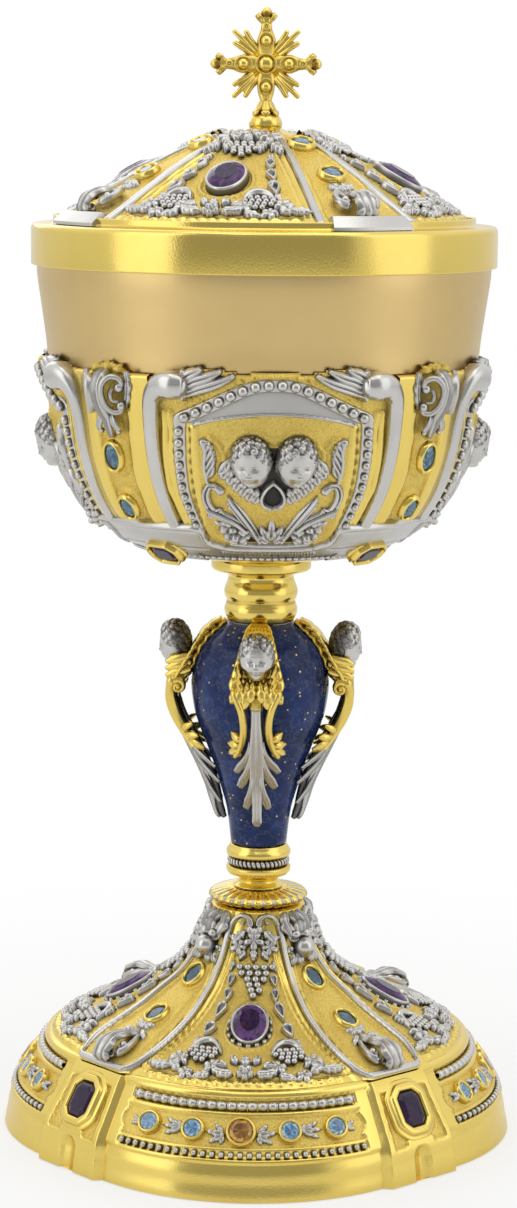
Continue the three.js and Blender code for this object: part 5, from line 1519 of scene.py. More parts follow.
panelTurn, strapTurn = turns["calyx"], turns["calyx"] + 45
seats = stoneSeats(calyxSkin, calyxCurve, calyx["strapStones"], 0.9)
addFour("calyx_ground", panelGround(), gilt, panelTurn, once="calyx_shell")
addFour("calyx_strap", strapGround(), gilt, strapTurn)
addFour("calyx_frame", panelFrame(), silver, panelTurn)
addFour("calyx_beads", frameBeads(), silver, panelTurn)
addFour("cherub_mount", cherubMount(), silver, panelTurn, "cherub_plaque")
addFour("cherub_heads", calyxHeads(), silver, panelTurn)
addFour("calyx_ribs", strapRibs(), silver, strapTurn)
addFour("calyx_base", calyxBase(), silver, strapTurn)
addPiece("calyx_base_beads", turnedShape(baseBeads(), panelTurn), silver)
addFour("calyx_rims", rimsOn(seats), gilt, strapTurn)
addFour("calyx_topaz", stonesOn(seats, 1.35, 20), deepTopaz, strapTurn)
addFour("calyx_setting", seated(gemSetting(4.2, 3.0, 2.6, 1.3), *gemSeat()), gilt, strapTurn)
addFour("calyx_gem", seated(stepCut(4.15, 2.95, 2.4, 1.6, 31), *gemSeat()), amethyst, strapTurn, "calyx_amethyst")
addFour("calyx_acanthus", strapScroll(), silver, strapTurn, "calyx_scroll")
print("calyx made")


# Foot: four lobed gilt fields between silver bars, four straps, four bands of stones and four plinths

foot = {
    "radius": 64.2, "bandDepth": 11.2, "lobeOffset": 15.0, "ledgeLobeOffset": 9.5,
    "plinthReach": 61.5, "plinthLedge": 51.8, "plinthSlope": 0.1727, "neck": 11.6, "inset": 0.8, "wall": 1.6,
    "rim": 3.0,
    "field": [(11.6, 57.0), (12.2, 54.0), (13.6, 50.5), (15.2, 47.0), (17.6, 43.6), (21.0, 40.0), (26.0, 36.6),
              (32.0, 33.0), (38.5, 30.0), (45.0, 27.4), (50.0, 24.9), (52.2, 23.4)],
    "band": [(50.6, 23.7), (52.3, 23.1), (53.3, 21.7), (55.5, 18.6), (57.6, 15.5), (59.8, 12.4), (61.8, 9.4),
             (62.8, 6.8), (63.3, 3.8), (63.8, 1.4), (64.0, 0.0)],
    "plinth": [(51.0, 23.3), (52.2, 21.7), (54.6, 17.6), (57.2, 13.4), (59.6, 9.4), (60.5, 5.0), (61.0, 2.0),
               (61.2, 0.0)],
    "bar": [(26.3, 53.6), (28.4, 49.8), (28.7, 45.0), (28.5, 40.5), (28.0, 36.0), (29.1, 31.6), (30.9, 27.8),
            (33.2, 25.4),
            (35.0, 24.2)],
    "barHead": [(26.3, 53.6), (22.0, 55.2), (15.5, 56.0), (9.0, 55.8), (5.2, 54.9), (4.6, 53.9)],
    "oval": {"height": 33.1, "halfWidth": 4.1, "halfLength": 6.2},
    "strapStones": [(40.5, 2.3, 3.1), (32.4, 2.35, 3.0)],
    "slopeStart": 53.3, "barrelDown": 1.6, "stoneDown": 7.9, "beadDown": 13.6, "barrels": 23, "beads": 29,
    "bandStones": [(0.0, 3.1), (11.5, 2.35), (23.0, 2.35)],
    "barHeadWidths": (0.55, 0.55, 0.55, 0.6, 0.75, 0.9),
    "barLines": [(-1.35, 0.42, 0.95, 0.0), (-2.7, 0.36, 0.75, 0.0), (1.7, 0.34, 0.55, 0.8)],
    "plinthBorder": [(35.0, 24.2, 0.8, 1.45), (40.0, 24.15, 0.85, 1.45), (45.0, 24.1, 0.85, 1.45)],
    "barLeaves": [(leafMotif, 43.9, 48.6, 0, 4.4, 2.4, 1.2, 3), (leafMotif, 41.0, 49.4, 60, 3.2, 1.8, 1.1, 2),
                  (leafMotif, 37.5, 48.4, -40, 3.2, 1.7, 1.1, 2), (leafMotif, 40.8, 46.6, -20, 3.4, 2.0, 1.1, 2),
                  (vineLeafMotif, 43.6, 30.6, 180, 2.6, 1.2), (leafMotif, 42.4, 29.8, -40, 4.2, 2.0, 1.2, 3)],
}


# An arc about a point out from the axis, whose radius and offset narrow from the floor to the ledge
def lobedRadius(fromPanel, share):
    offset = foot["lobeOffset"] + (foot["ledgeLobeOffset"] - foot["lobeOffset"]) * share
    arc = foot["radius"] - foot["bandDepth"] * share - offset
    return offset * np.cos(fromPanel) + np.sqrt(arc ** 2 - (offset * np.sin(fromPanel)) ** 2)


# The ledge's radius: the lobe, and the plinth's straight front near the strap
def footEdge(fromPanel):
    fromStrap = np.pi / 4 - fromPanel
    onPlinth = 1 - stepUp(np.degrees(fromStrap), 8.6, 11.0)
    lobe = lobedRadius(fromPanel, 1.0)
    return lobe + onPlinth * (foot["plinthLedge"] / np.cos(fromStrap) - lobe) - foot["inset"]


footCurve = meridian(foot["field"], 900)
bandCurve = meridian(foot["band"], 900)
plinthCurve = meridian(foot["plinth"], 500)
onFoot = lambda stops: byHeight(footCurve, stops)


# The field's skin about a panel's middle, or about a strap's middle if asked
def footSkinFrom(isStrap):
    def skin(down, across, lift):
        fromPanel = np.abs(np.abs(across) - np.pi / 4) if isStrap else np.abs(across)
        r, z = onMeridian(footCurve, down, lift)
        stretch = (footEdge(fromPanel) - foot["neck"]) / (foot["field"][-1][0] - foot["neck"])
        return polar(foot["neck"] + (r - foot["neck"]) * stretch, across, z)
    return skin


def bandSkin(down, across, lift):
    r, z = onMeridian(bandCurve, down, lift)
    return polar(lobedRadius(np.abs(across), (foot["radius"] - r) / foot["bandDepth"]), across, z)


def plinthSkin(down, across, lift):
    r, z = onMeridian(plinthCurve, down, lift)
    return np.stack(np.broadcast_arrays(across, -r, np.maximum(z, 0.0)), axis=-1)


footPanelSkin, footStrapSkin = footSkinFrom(False), footSkinFrom(True)


# A ridge drawn along an oval about a place, in millimetres across and down
def ringPath(chart, across, down, halfWidth, halfLength, width, height, steps=40):
    angle = np.linspace(0, 2 * np.pi, steps + 1)
    perUnit = radiusAt(chart, down) * chart["unit"]
    return [(across + halfWidth * np.sin(a) / perUnit, down + halfLength * np.cos(a), width, height)
            for a in angle]


# Lines beside a bar, on both sides of a chart: each at its own gap from the bar's middle, towards the
# strap if positive, with its half width, height and base
def linesBeside(chart, curve, bar, lines):
    for gap, half, tall, base in lines:
        aside = lambda d: np.degrees(gap / np.interp(d, curve["down"], curve["r"]))
        drawBoth(chart, [(a + aside(d), d, half, tall) for a, d in byHeight(curve, bar)], base=base)


# A pod: a drop-shaped leaf with a raised lip round a hollow, fat at its start and drawn out to its tip
def podMotif(length, width, height):
    def motif(u, v):
        t = np.clip(v / length, 0, 1)
        inside = np.minimum(width / 2 * np.sin(np.pi * t ** 0.55) - np.abs(u), np.minimum(v + 0.1, length - v))
        hollow = 0.75 * height * stepUp(inside, 0.16 * width, 0.34 * width)
        return roundedEdge(inside, 0.2 * width, height) - np.where(inside > 0, hollow, 0)
    return motif


# Gilt ground of a quarter: stippled field, ridges beside the bars and round the stones, raised straps
def footGround():
    chart = chartOn(footPanelSkin, (-45.0, 45.0), (0.2, footCurve["length"]), 0.53)
    across, height = chartPlaces(chart, footCurve)
    radius = onMeridian(footCurve, chart["down"])[0][:, None]
    barAt = np.interp(height, *np.array(foot["bar"][::-1]).T[::-1])
    fromBar = (np.abs(across) - barAt) * np.radians(1) * radius
    strap = stepUp(fromBar, -0.4, 0.4)
    field = (fromBar < -3.1) & (height > 25.2)
    chart["grain"] = blurred(np.where(field | (fromBar > 1.6), 1.0, 0.0), 1)
    border = 0.28 * stepUp(-fromBar, 3.4, 2.8) + 0.35 * stepUp(-height, -25.4, -24.6)
    chart["height"] = 0.05 + 0.75 * strap + border * (1 - strap)
    linesBeside(chart, footCurve, foot["bar"][1:-1], foot["barLines"])
    wide, tall = foot["oval"]["halfWidth"] + 1.75, foot["oval"]["halfLength"] + 1.9
    middle = downAtHeight(footCurve, foot["oval"]["height"])
    drawLine(chart, ringPath(chart, 0.4, middle, wide, tall, 0.42, 0.75))
    row = [(domeMotif, a, 24.55 + 0.1 * np.cos(a), 0, 1.25, 0.9, 0.55) for a in np.arange(1.4, 29, 2.9)]
    strew(chart, footCurve, row, 0.35)
    steps = [(domeMotif, 45, z, 0, w + 1.5, l + 1.5, 0.5) for z, w, l in foot["strapStones"]]
    strew(chart, footCurve, steps, 0.8)
    return reliefShape(chart, sink=-1.0, depth=1.0, foot=0, cuts=False, darkest=0.35, level=0.86)


# Silver of a quarter: the bars with their scroll heads, and the border along the plinth's top
def footBars():
    chart = chartOn(footPanelSkin, (-45.0, 45.0), (0.2, footCurve["length"]), 0.27)
    stops = [(*foot["bar"][0], 0.55, 1.6), *[(a, z, 0.74, 1.75) for a, z in foot["bar"][1:]]]
    drawBoth(chart, onFoot(stops), 0.5)
    head = [(a, z, w, 1.7) for (a, z), w in zip(foot["barHead"], foot["barHeadWidths"])]
    drawBoth(chart, onFoot(head), 0.5)
    drawBoth(chart, onFoot(foot["plinthBorder"]), 0.35)
    strew(chart, footCurve, foot["barLeaves"], 0.8)
    return reliefShape(chart, sink=0.0, depth=0.9, foot=0.7, level=0.74)


# Grapes of a bunch: rows of the given counts, each half a ball further in, hanging down the skin
def bunchPlaces(skin, across, down, rows, size):
    places = []
    for row, count in enumerate(rows):
        at = down + row * 1.72 * size
        radius = np.hypot(*skin(np.array(at), np.array(np.radians(across)), 0.0).reshape(3)[:2])
        step = np.degrees(2 * size / radius)
        places += [(across + (k - (count - 1) / 2 + 0.12 * (-1) ** row) * step, at) for k in range(count)]
    return places


# A field's grapes: a large bunch at its top and a small one on each side of its foot
def fieldGrapes(skin, curve, across, down, rows, size, sideHeight):
    shapes = [ballsOn(skin, bunchPlaces(skin, across, down, rows, size), size, 0.75)]
    for side in (-1, 1):
        bunch = bunchPlaces(skin, side * 14.4, downAtHeight(curve, sideHeight), (4, 5, 4, 2), 0.8)
        shapes.append(ballsOn(skin, bunch, 0.82, 0.95))
    return joined(shapes)


# The silver mount in a field, as a table: motifs on both sides and in the middle, each with its place in
# degrees across and height, its turn and its sizes; the stalk of the garland on both sides
footMount = {
    "reach": 31.5, "top": 2.6,
    "sides": [
        (leafMotif, 12.0, 53.6, 150, 2.6, 1.5, 1.2, 2), (leafMotif, 9.0, 52.6, 40, 4.4, 2.2, 1.6, 3),
        (leafMotif, 7.0, 53.8, -20, 3.2, 1.8, 1.5, 2), (vineLeafMotif, 14.5, 48.6, 60, 2.5, 1.6),
        (leafMotif, 12.0, 50.4, 95, 3.4, 1.9, 1.4, 3), (leafMotif, 7.5, 48.0, 25, 3.0, 1.8, 1.4, 2),
        (leafMotif, 16.4, 45.6, 10, 3.2, 1.1, 0.9, 1), (podMotif, 14.9, 42.4, 4, 3.4, 1.7, 1.2),
        (podMotif, 14.6, 39.4, -4, 3.8, 1.9, 1.3), (podMotif, 14.4, 36.9, 8, 5.4, 2.3, 1.4),
        (podMotif, 16.0, 33.2, 10, 4.6, 2.6, 1.5), (leafMotif, 17.4, 30.8, 25, 3.4, 1.6, 1.3, 2),
        (vineLeafMotif, 20.8, 27.4, 80, 3.0, 1.7), (leafMotif, 22.5, 26.3, 82, 6.4, 2.5, 1.4, 4),
        (leafMotif, 19.0, 25.8, 120, 4.6, 2.4, 1.4, 3), (vineLeafMotif, 17.0, 25.6, 20, 2.3, 1.5),
        (vineLeafMotif, 10.0, 26.9, -40, 2.7, 1.7), (leafMotif, 9.6, 25.8, 70, 4.4, 2.2, 1.4, 3),
        (leafMotif, 9.4, 26.2, -80, 4.6, 2.3, 1.5, 3), (leafMotif, 3.0, 26.0, 85, 4.2, 2.2, 1.5, 3),
        (leafMotif, 5.2, 27.0, 115, 3.4, 1.9, 1.4, 2), (leafMotif, 2.6, 27.4, 155, 3.3, 2.0, 1.4, 2)],
    "middle": [(vineLeafMotif, 0, 50.2, 0, 3.0, 2.0), (leafMotif, 0, 53.4, 0, 3.6, 1.8, 1.6, 2),
               (leafMotif, 0, 48.2, 0, 3.4, 2.2, 1.6, 3), (leafMotif, 0, 27.0, 180, 4.0, 2.6, 1.6, 3)],
    "middleBase": 0.25, "middleGrow": 1.1,
    "stalk": [(19.6, 28.6, 0.4, 1.2), (17.2, 30.0, 0.95, 1.7), (13.6, 30.4, 1.05, 1.8), (10.6, 29.9, 0.95, 1.7),
              (8.7, 28.9, 0.4, 1.2)],
    "ovalLeaves": 18,
}


def mountChart(skin, curve, mount):
    chart = chartOn(skin, (-mount["reach"], mount["reach"]), (mount["top"], curve["length"]), 0.243)
    strew(chart, curve, mount["sides"], 0.2, 1.18)
    strew(chart, curve, mount["middle"], mount["middleBase"], mount["middleGrow"])
    drawBoth(chart, byHeight(curve, mount["stalk"]), 0.8)
    return chart


def mountShape(chart):
    fillGaps(chart, 0.55)
    return reliefShape(chart, sink=-0.2, depth=0.75, foot=0.45, level=0.62, gain=1.8)


# The silver mount in a field: leaves and grapes at the top, pods down both sides, the oval's bezel, and
# a garland with two bunches at the foot
def footVine():
    chart = mountChart(footPanelSkin, footCurve, footMount)
    emboss(chart, 0.2, float(downAtHeight(footCurve, 26.1)), 0, 4, rosetteMotif(2.25, 1.6, 5), base=0.4)
    middle = float(downAtHeight(footCurve, foot["oval"]["height"]))
    wide, tall = foot["oval"]["halfWidth"] + 0.35, foot["oval"]["halfLength"] + 0.35
    for angle in 2 * np.pi * np.arange(footMount["ovalLeaves"]) / footMount["ovalLeaves"]:
        across = 0.4 + np.degrees(wide * np.sin(angle) / radiusAt(chart, middle))
        motif = leafMotif(1.5, 1.5, 1.0, 1)
        emboss(chart, across, middle + tall * np.cos(angle), np.degrees(angle), 3, motif, 0.2)
    return mountShape(chart)


def ovalSeat(skin, curve, oval, lift):
    return seatFrame(skin, 0.4, downAtHeight(curve, oval["height"]), lift)


# A silver cup round an oval stone: a sloping wall with a thin bright lip
def ovalBezel(oval, tall):
    section = [(-0.3, -1.6), (1.1, -1.6), (0.75, 0.1 * tall), (0.5, 0.6 * tall), (0.62, 0.9 * tall), (0.35, tall),
               (0.0, tall), (-0.2, 0.7 * tall)]
    outline = ovalOutline(oval["halfWidth"], oval["halfLength"], 56)
    return rimOf(outline, section, [0.05, 0.05, 0.1, 0.35, 0.9, 1, 1, 0.4])


# Gilt of a band: ledge roll, strip for the barrels, sunk field with cusped ends, strip for the beads, skirt
def footBand():
    start = float(downAtRadius(bandCurve, foot["slopeStart"]))
    chart = chartOn(bandSkin, (-36.6, 36.6), (0.0, bandCurve["length"]), 0.48)
    down = np.broadcast_to((chart["down"] - start)[:, None], chart["height"].shape)
    aside = np.broadcast_to(np.abs(np.degrees(chart["across"]))[None, :], chart["height"].shape)
    within = lambda top, bottom, end: np.minimum(np.minimum(down - top, bottom - down), 1.05 * (end - aside))
    wave = np.abs(np.cos(np.pi * (down - 8.0) / 5.4)) ** 0.6
    sunk = stepUp(within(4.1, 12.1, 29.2 + 1.9 * wave), -0.25, 0.25)
    strips = stepUp(np.maximum(within(0.1, 3.1, 29.9), within(12.7, 14.6, 30.4)), -0.2, 0.2)
    rim = np.exp(-(((sunk + strips) - 0.25) / 0.2) ** 2)
    skirt = stepUp(down, 15.0, 15.8)
    roll = np.exp(-((down + 1.15) / 0.95) ** 4)
    chart["height"] = 0.55 * (1 - skirt) + 0.5 * roll + 0.15 * rim - 0.55 * sunk - 0.8 * strips + 0.02
    chart["height"] += np.where(aside > 31.5, 0.0, 0.1 * np.exp(-((down - 15.1) / 0.4) ** 2))
    chart["grain"] = sunk
    return reliefShape(chart, sink=-1.2, depth=0.9, foot=0, cuts=False, darkest=0.3, level=0.9)


# Small shapes turned about a line: a profile of steps along it and radius, set at each place
def spun(centres, ways, outward, profile, around=10):
    profile = np.asarray(profile, float)
    v = np.linspace(0, 2 * np.pi, around, endpoint=False)
    ways = ways / np.linalg.norm(ways, axis=1, keepdims=True)
    outward = outward - ways * np.sum(outward * ways, axis=1, keepdims=True)
    outward /= np.linalg.norm(outward, axis=1, keepdims=True)
    beside = np.cross(ways, outward)
    ring = np.cos(v)[:, None] * outward[:, None] + np.sin(v)[:, None] * beside[:, None]
    points = (centres[:, None, None] + profile[None, :, None, :1] * ways[:, None, None]
              + profile[None, :, None, 1:] * ring[:, None])
    # Painted shade: each shape is darker on the side turned away from its outward direction
    tone = np.tile(0.25 + 0.75 * stepUp(np.cos(v), -0.4, 0.4), len(centres) * len(profile))
    quads = gridFaces(len(profile), around, closesRound=True)[:, ::-1]
    caps = [np.arange(around)[None, :], ((len(profile) - 1) * around + np.arange(around))[None, ::-1]]
    starts = (np.arange(len(centres)) * len(profile) * around)[:, None, None]
    return shapeOf(points.reshape(-1, 3), [(f[None] + starts).reshape(-1, f.shape[1]) for f in (quads, *caps)],
                   tone)


def spunOn(skin, places, lift, profile, unit=np.radians(1), **form):
    places = np.asarray(places, float)
    at = lambda step, rise: skin(places[:, 1], (places[:, 0] + step) * unit, lift + rise)
    return spun(at(0, 0), at(0.1, 0) - at(-0.1, 0), at(0, 1) - at(0, 0), profile, **form)


# Silver leaves between the band's stones: a fan of leaves from a bud, on each side
bandFans = [  # across, step down, and the leaves with their turns, lengths and widths
    (3.9, 0.9, ((62, 4.4, 1.7), (100, 5.0, 1.9), (140, 4.0, 1.6), (20, 2.6, 1.3))),
    (14.2, 0.0, ((66, 5.2, 1.6), (90, 5.6, 1.5), (114, 5.2, 1.6), (150, 2.2, 1.2))),
    (25.6, 0.3, ((70, 3.0, 1.3), (115, 3.2, 1.3)))]


def bandBeads():
    start = float(downAtRadius(bandCurve, foot["slopeStart"]))
    barrel = [(-1.12, 0.62), (-1.12, 0.92), (-0.98, 0.92), (-0.98, 0.7), (-0.8, 0.85), (-0.45, 1.05), (0.0, 1.1),
              (0.45, 1.05),
              (0.8, 0.85), (0.98, 0.7), (0.98, 0.92), (1.12, 0.92), (1.12, 0.62)]
    across = np.linspace(-28.2, 28.2, foot["barrels"])
    row = np.stack([across, np.full(len(across), start + foot["barrelDown"])], axis=1)
    across = np.linspace(-29.4, 29.4, foot["beads"])
    beads = np.stack([across, np.full(len(across), start + foot["beadDown"])], axis=1)
    return joined([spunOn(bandSkin, row, 0.35, barrel), ballsOn(bandSkin, beads, 0.78, 0.35)])


def bandLeaves():
    start = float(downAtRadius(bandCurve, foot["slopeStart"]))
    chart = chartOn(bandSkin, (-31.0, 31.0), (start + 3.6, start + 12.4), 0.22)
    for side in (-1, 1):
        for a, step, leaves in bandFans:
            down = start + foot["stoneDown"] + step
            for turn, length, width in leaves:
                motif = leafMotif(length, width, 1.15, 2, groove=0.45)
                emboss(chart, side * a, down, side * turn, length + 1, motif, 0.1)
            emboss(chart, side * (a + 0.4), down, 0, 3, domeMotif(0.6, 0.75, 1.3), 0.1)
    return reliefShape(chart, sink=-0.3, depth=0.7, foot=0.35, level=0.5)


# The seats of the band's stones, each with its size twice as half width and half length
def bandSeats(which, lift):
    down = float(downAtRadius(bandCurve, foot["slopeStart"])) + foot["stoneDown"]
    return [(*seatFrame(bandSkin, side * a, down, lift), size, size)
            for a, size in which for side in ((-1, 1) if a else (1,))]


# Gilt of a plinth: a sloping front with a framed, stippled field, a groove under an arch at its foot,
# and sides that fall back to the bands
def footPlinth():
    chart = chartOn(plinthSkin, (-13.4, 13.4), (0.0, plinthCurve["length"]), 0.34, unit=1)
    radius, height = onMeridian(plinthCurve, chart["down"])
    half, height = foot["plinthSlope"] * radius[:, None], height[:, None]
    x = chart["across"][None, :]
    aside = np.abs(x)
    arch = 8.7 + 2.6 * np.sqrt(np.clip(1 - (x / 4.6) ** 2, 0, 1))
    sunk = stepUp(np.minimum(np.minimum(half - 1.9 - aside, 20.6 - height), height - arch), -0.25, 0.25)
    frameRidge = np.exp(-((sunk - 0.2) / 0.18) ** 2)
    groove = np.minimum(2.7 - aside, np.where(height > 5.6, 2.7 - np.hypot(x, height - 5.6), 9))
    slot = 1.5 * np.sqrt(np.clip(groove / 2.7, 0, 1))
    chart["height"] = 0.5 - 0.55 * sunk + 0.2 * frameRidge - slot - 1.5 * np.clip(aside - half, 0, 9)
    chart["grain"] = sunk
    return reliefShape(chart, sink=-6, depth=1.0, foot=0, cuts=False, darkest=0.4, level=0.9)


def plinthSeat():
    return seatFrame(plinthSkin, 0, downAtHeight(plinthCurve, 16.0), 0.0, unit=1)


# The hollow inside: the outside drawn in by the wall, the rim on the floor and the plate at the top
def footInside():
    angle = np.linspace(0, 2 * np.pi, 240, endpoint=False)
    fromPanel = np.abs((angle + np.pi / 4) % (np.pi / 2) - np.pi / 4)
    fromStrap = np.pi / 4 - fromPanel
    neck, bore = foot["neck"], stem["boreRadius"]
    plinth = np.where(fromStrap < np.radians(9.8), (foot["plinthReach"] - 0.4) / np.cos(fromStrap), 0)
    rows = [(np.maximum(lobedRadius(fromPanel, 0.0) - 0.3, plinth), 0.0)]
    rows += [(lobedRadius(fromPanel, inset / foot["bandDepth"]) - foot["rim"], z)
             for inset, z in ((0, 0.0), (0.8, 3.6), (2, 7.6), (10.6, 20.0))]
    stretch = (footEdge(fromPanel) - 1.5 - neck) / (foot["field"][-1][0] - neck)
    for down in np.linspace(footCurve["length"] - 2.5, 1.5, 24):
        r, z = onMeridian(footCurve, down, -foot["wall"])
        rows.append((neck + (r - neck) * np.minimum(stretch, 0.97), z))
    rows += [(9.6, 55.4), (bore, 55.4), (bore, 57.0), (neck, 57.0), (neck + 0.3, 56.4)]
    points = np.stack([polar(r, angle, z) for r, z in rows])
    return shapeOf(points, gridFaces(len(rows), len(angle), closesRound=True), 0.75)


# The pendant at the head of a strap: hanging leaves, two berries and a fruit with its crown
pendant = {
    "leaves": [(-2.5, 2.4, 49.6), (0.0, 3.0, 50.8), (2.5, 2.4, 49.6)],  # place across, bow, height of the tip
    "fruits": [(50.6, 2.9, -1.25, 1.25), (50.4, 3.0, 1.2, 1.25), (47.2, 2.9, 0.1, 2.6)],
    "crown": [(45.6, 3.9, -0.6), (45.4, 3.9, 0.5), (46.2, 3.9, -1.3), (46.0, 3.9, 1.2), (46.6, 3.9, 0.1)],
    "husks": [(-2.4, -1.6), (-1.2, -0.7), (1.2, 0.7), (2.4, 1.6)],      # place across, and how far it spreads
    "husk": [(47.2, 0.9, -0.4), (45.8, 1.7, 0.0), (44.6, 1.9, 0.5), (43.8, 1.2, 1.0)],
}


def footPendant():
    def place(z, lift, x):
        down = downAtHeight(footCurve, z)
        return footStrapSkin(down, x / np.interp(down, footCurve["down"], footCurve["r"]), lift)

    shapes = []
    for x, bow, tip in pendant["leaves"]:
        stops = [(56.4, 0.4, 0.7), (55.0, 1.6, 1.0), (53.0, bow, 1.1), (51.2, bow, 0.9), (tip, bow - 0.3, 0.6),
                 (tip - 0.5, bow + 0.8, 0.5)]
        path = np.array([place(z, lift, x * share) for z, lift, share in stops])
        form = (0.8, 1.5, 1.8, 1.5, 1.0), (0.6, 0.9, 0.7, 0.5), 3, 0.35, 0.6, 16, 45
        shapes.append(leafBar(path, (1, 0.15 * x, 0), *form))
    for *stop, size in pendant["fruits"]:
        centre = place(*stop)
        shapes.append(balls(centre, centre * [1, 1, 0], size, rings=12, around=18))
    shapes += [balls(place(*stop), place(*stop) * [1, 1, 0], 0.5) for stop in pendant["crown"]]
    for x, spread in pendant["husks"]:
        path = np.array([place(z, lift, x + spread * share) for z, lift, share in pendant["husk"]])
        shapes.append(leafBar(path, (1, 0, 0), (0.6, 1.4, 1.2, 0.3), (0.4, 0.7, 0.4), 2, 0.3, 0.5, 14, 30))
    return joined(shapes)


# A cast scroll across a strap: a broad leaf that rises off the skin and rolls back under itself, with a
# curl on each side. Its stops are radius, lift and, for the curl, place across.
footScroll = {
    "stops": [(38.8, 0.8), (41.0, 1.4), (43.4, 2.6), (45.8, 3.9), (48.4, 4.2), (50.4, 3.2), (50.6, 1.8),
              (49.2, 1.3),
              (48.0, 2.0)],
    "curl": [(41.5, 1.2, 2.6), (43.6, 1.6, 4.0), (46.4, 2.0, 4.7), (48.2, 2.0, 4.0), (47.6, 2.2, 2.9),
             (46.2, 2.3, 3.2)],
    "widths": (0.6, 1.8, 2.2, 2.6, 3.3, 3.4, 3.1, 2.6, 1.8),
}


def castScroll(skin, curve, scroll):
    place = lambda r, lift, x: skin(downAtRadius(curve, r), x / r, lift)
    path = np.array([place(r, lift, 0.0) for r, lift in scroll["stops"]])
    thick = (0.5, 0.8, 0.9, 0.9, 0.8, 0.7, 0.6)
    shapes = [leafBar(path, (1, 0, 0), scroll["widths"], thick, 5, 0.25, 0.5, 26, 90)]
    for side in (-1, 1):
        path = np.array([place(r, lift, side * x) for r, lift, x in scroll["curl"]])
        form = (0.7, 1.2, 1.3, 1.2, 1.0, 0.9), (0.6, 0.9, 0.8), 0, 0, 0.35, 16, 60
        shapes.append(leafBar(path, (0, 0.3, 1), *form))
        shapes.append(balls(path[-1], (0, -0.3, 1), 1.0, rings=8, around=12))
    return joined(shapes)


panelTurn, strapTurn = turns["foot"], turns["foot"] + 45
oval, stones = foot["oval"], foot["bandStones"]
seatOf = lambda lift: ovalSeat(footPanelSkin, footCurve, oval, lift)
seats = stoneSeats(footStrapSkin, footCurve, foot["strapStones"], 0.85)
grapes = fieldGrapes(footPanelSkin, footCurve, 1.5, 14.3, (5, 4, 3, 2, 2, 1), 0.98, 29.1)
stone = brilliant(oval["halfWidth"], oval["halfLength"], 1.5, 20, 41)
addFour("foot_ground", footGround(), gilt, panelTurn, once="foot_shell")
addPiece("foot_inside", turnedShape(footInside(), panelTurn), gilt)
addFour("foot_bars", footBars(), silver, panelTurn)
addFour("foot_mount", footVine(), silver, panelTurn, "foot_vine")
addFour("foot_grapes", grapes, silver, panelTurn)
addFour("foot_band", footBand(), gilt, panelTurn)
addFour("foot_beads", bandBeads(), silver, panelTurn)
addFour("foot_leaves", bandLeaves(), silver, panelTurn)
addFour("foot_bezel", seated(ovalBezel(oval, 1.9), *seatOf(0.1)), silver, panelTurn)
addFour("foot_gem", seated(stone, *seatOf(1.5)), amethyst, panelTurn, "foot_amethyst")
addFour("foot_rims", rimsOn(seats), gilt, strapTurn)
addFour("foot_topaz", stonesOn(seats, 1.1, 50), deepTopaz, strapTurn)
addFour("band_rims", rimsOn(bandSeats(stones, 0.1), 0.6, 1.5), gilt, panelTurn)
addFour("band_topaz", stonesOn(bandSeats(stones[1:], 0.5), 1.1, 60), topaz, panelTurn)
addFour("band_citrine", stonesOn(bandSeats(stones[:1], 0.5), 1.3, 70), citrine, panelTurn)
addFour("foot_plinth", footPlinth(), gilt, strapTurn)
addFour("plinth_setting", seated(gemSetting(3.7, 4.7, 1.9), *plinthSeat()), gilt, strapTurn)
addFour("plinth_gem", seated(stepCut(3.65, 4.65, 2.1, 1.5, 33), *plinthSeat()), amethyst, strapTurn,
        "plinth_amethyst")
addFour("foot_pendant", footPendant(), silver, strapTurn)
addFour("foot_acanthus", castScroll(footStrapSkin, footCurve, footScroll), silver, strapTurn, "foot_scroll")
print("foot made")


# Lid: four gilt fields between silver bars, four straps with stones and scrolls, silver blocks at their feet

lid = {
    "curve": [(0.0, 249.0), (4.0, 248.9), (8.0, 248.2), (12.0, 247.2), (20.0, 244.0), (28.0, 240.2),
              (36.0, 235.8),
              (44.0, 231.2), (50.5, 227.6)],
    "barAngle": 31.0, "wall": 1.4, "oval": {"height": 237.6, "halfWidth": 4.3, "halfLength": 5.9},
    "strapStones": [(245.2, 2.9, 2.5), (238.3, 2.9, 2.5)], "blockAngle": 11.7,
    "bar": [(247.2, 0.35), (246.0, 0.75), (243.0, 0.85), (239.0, 0.9), (234.0, 0.95), (230.5, 1.0),
            (228.0, 1.05)],
    "barLines": [(-1.45, 0.4, 0.9, 0.0), (-2.9, 0.36, 0.7, 0.0), (1.5, 0.34, 0.5, 0.6)],
    "barLeaves": [(vineLeafMotif, 43.4, 235.6, 180, 2.4, 1.2), (leafMotif, 40.0, 235.2, 150, 3.4, 1.8, 1.2, 2)],
}
lidCurve = meridian(lid["curve"], 900)
lidSkin = turnedSkin(lidCurve)
onLid = lambda stops: byHeight(lidCurve, stops)


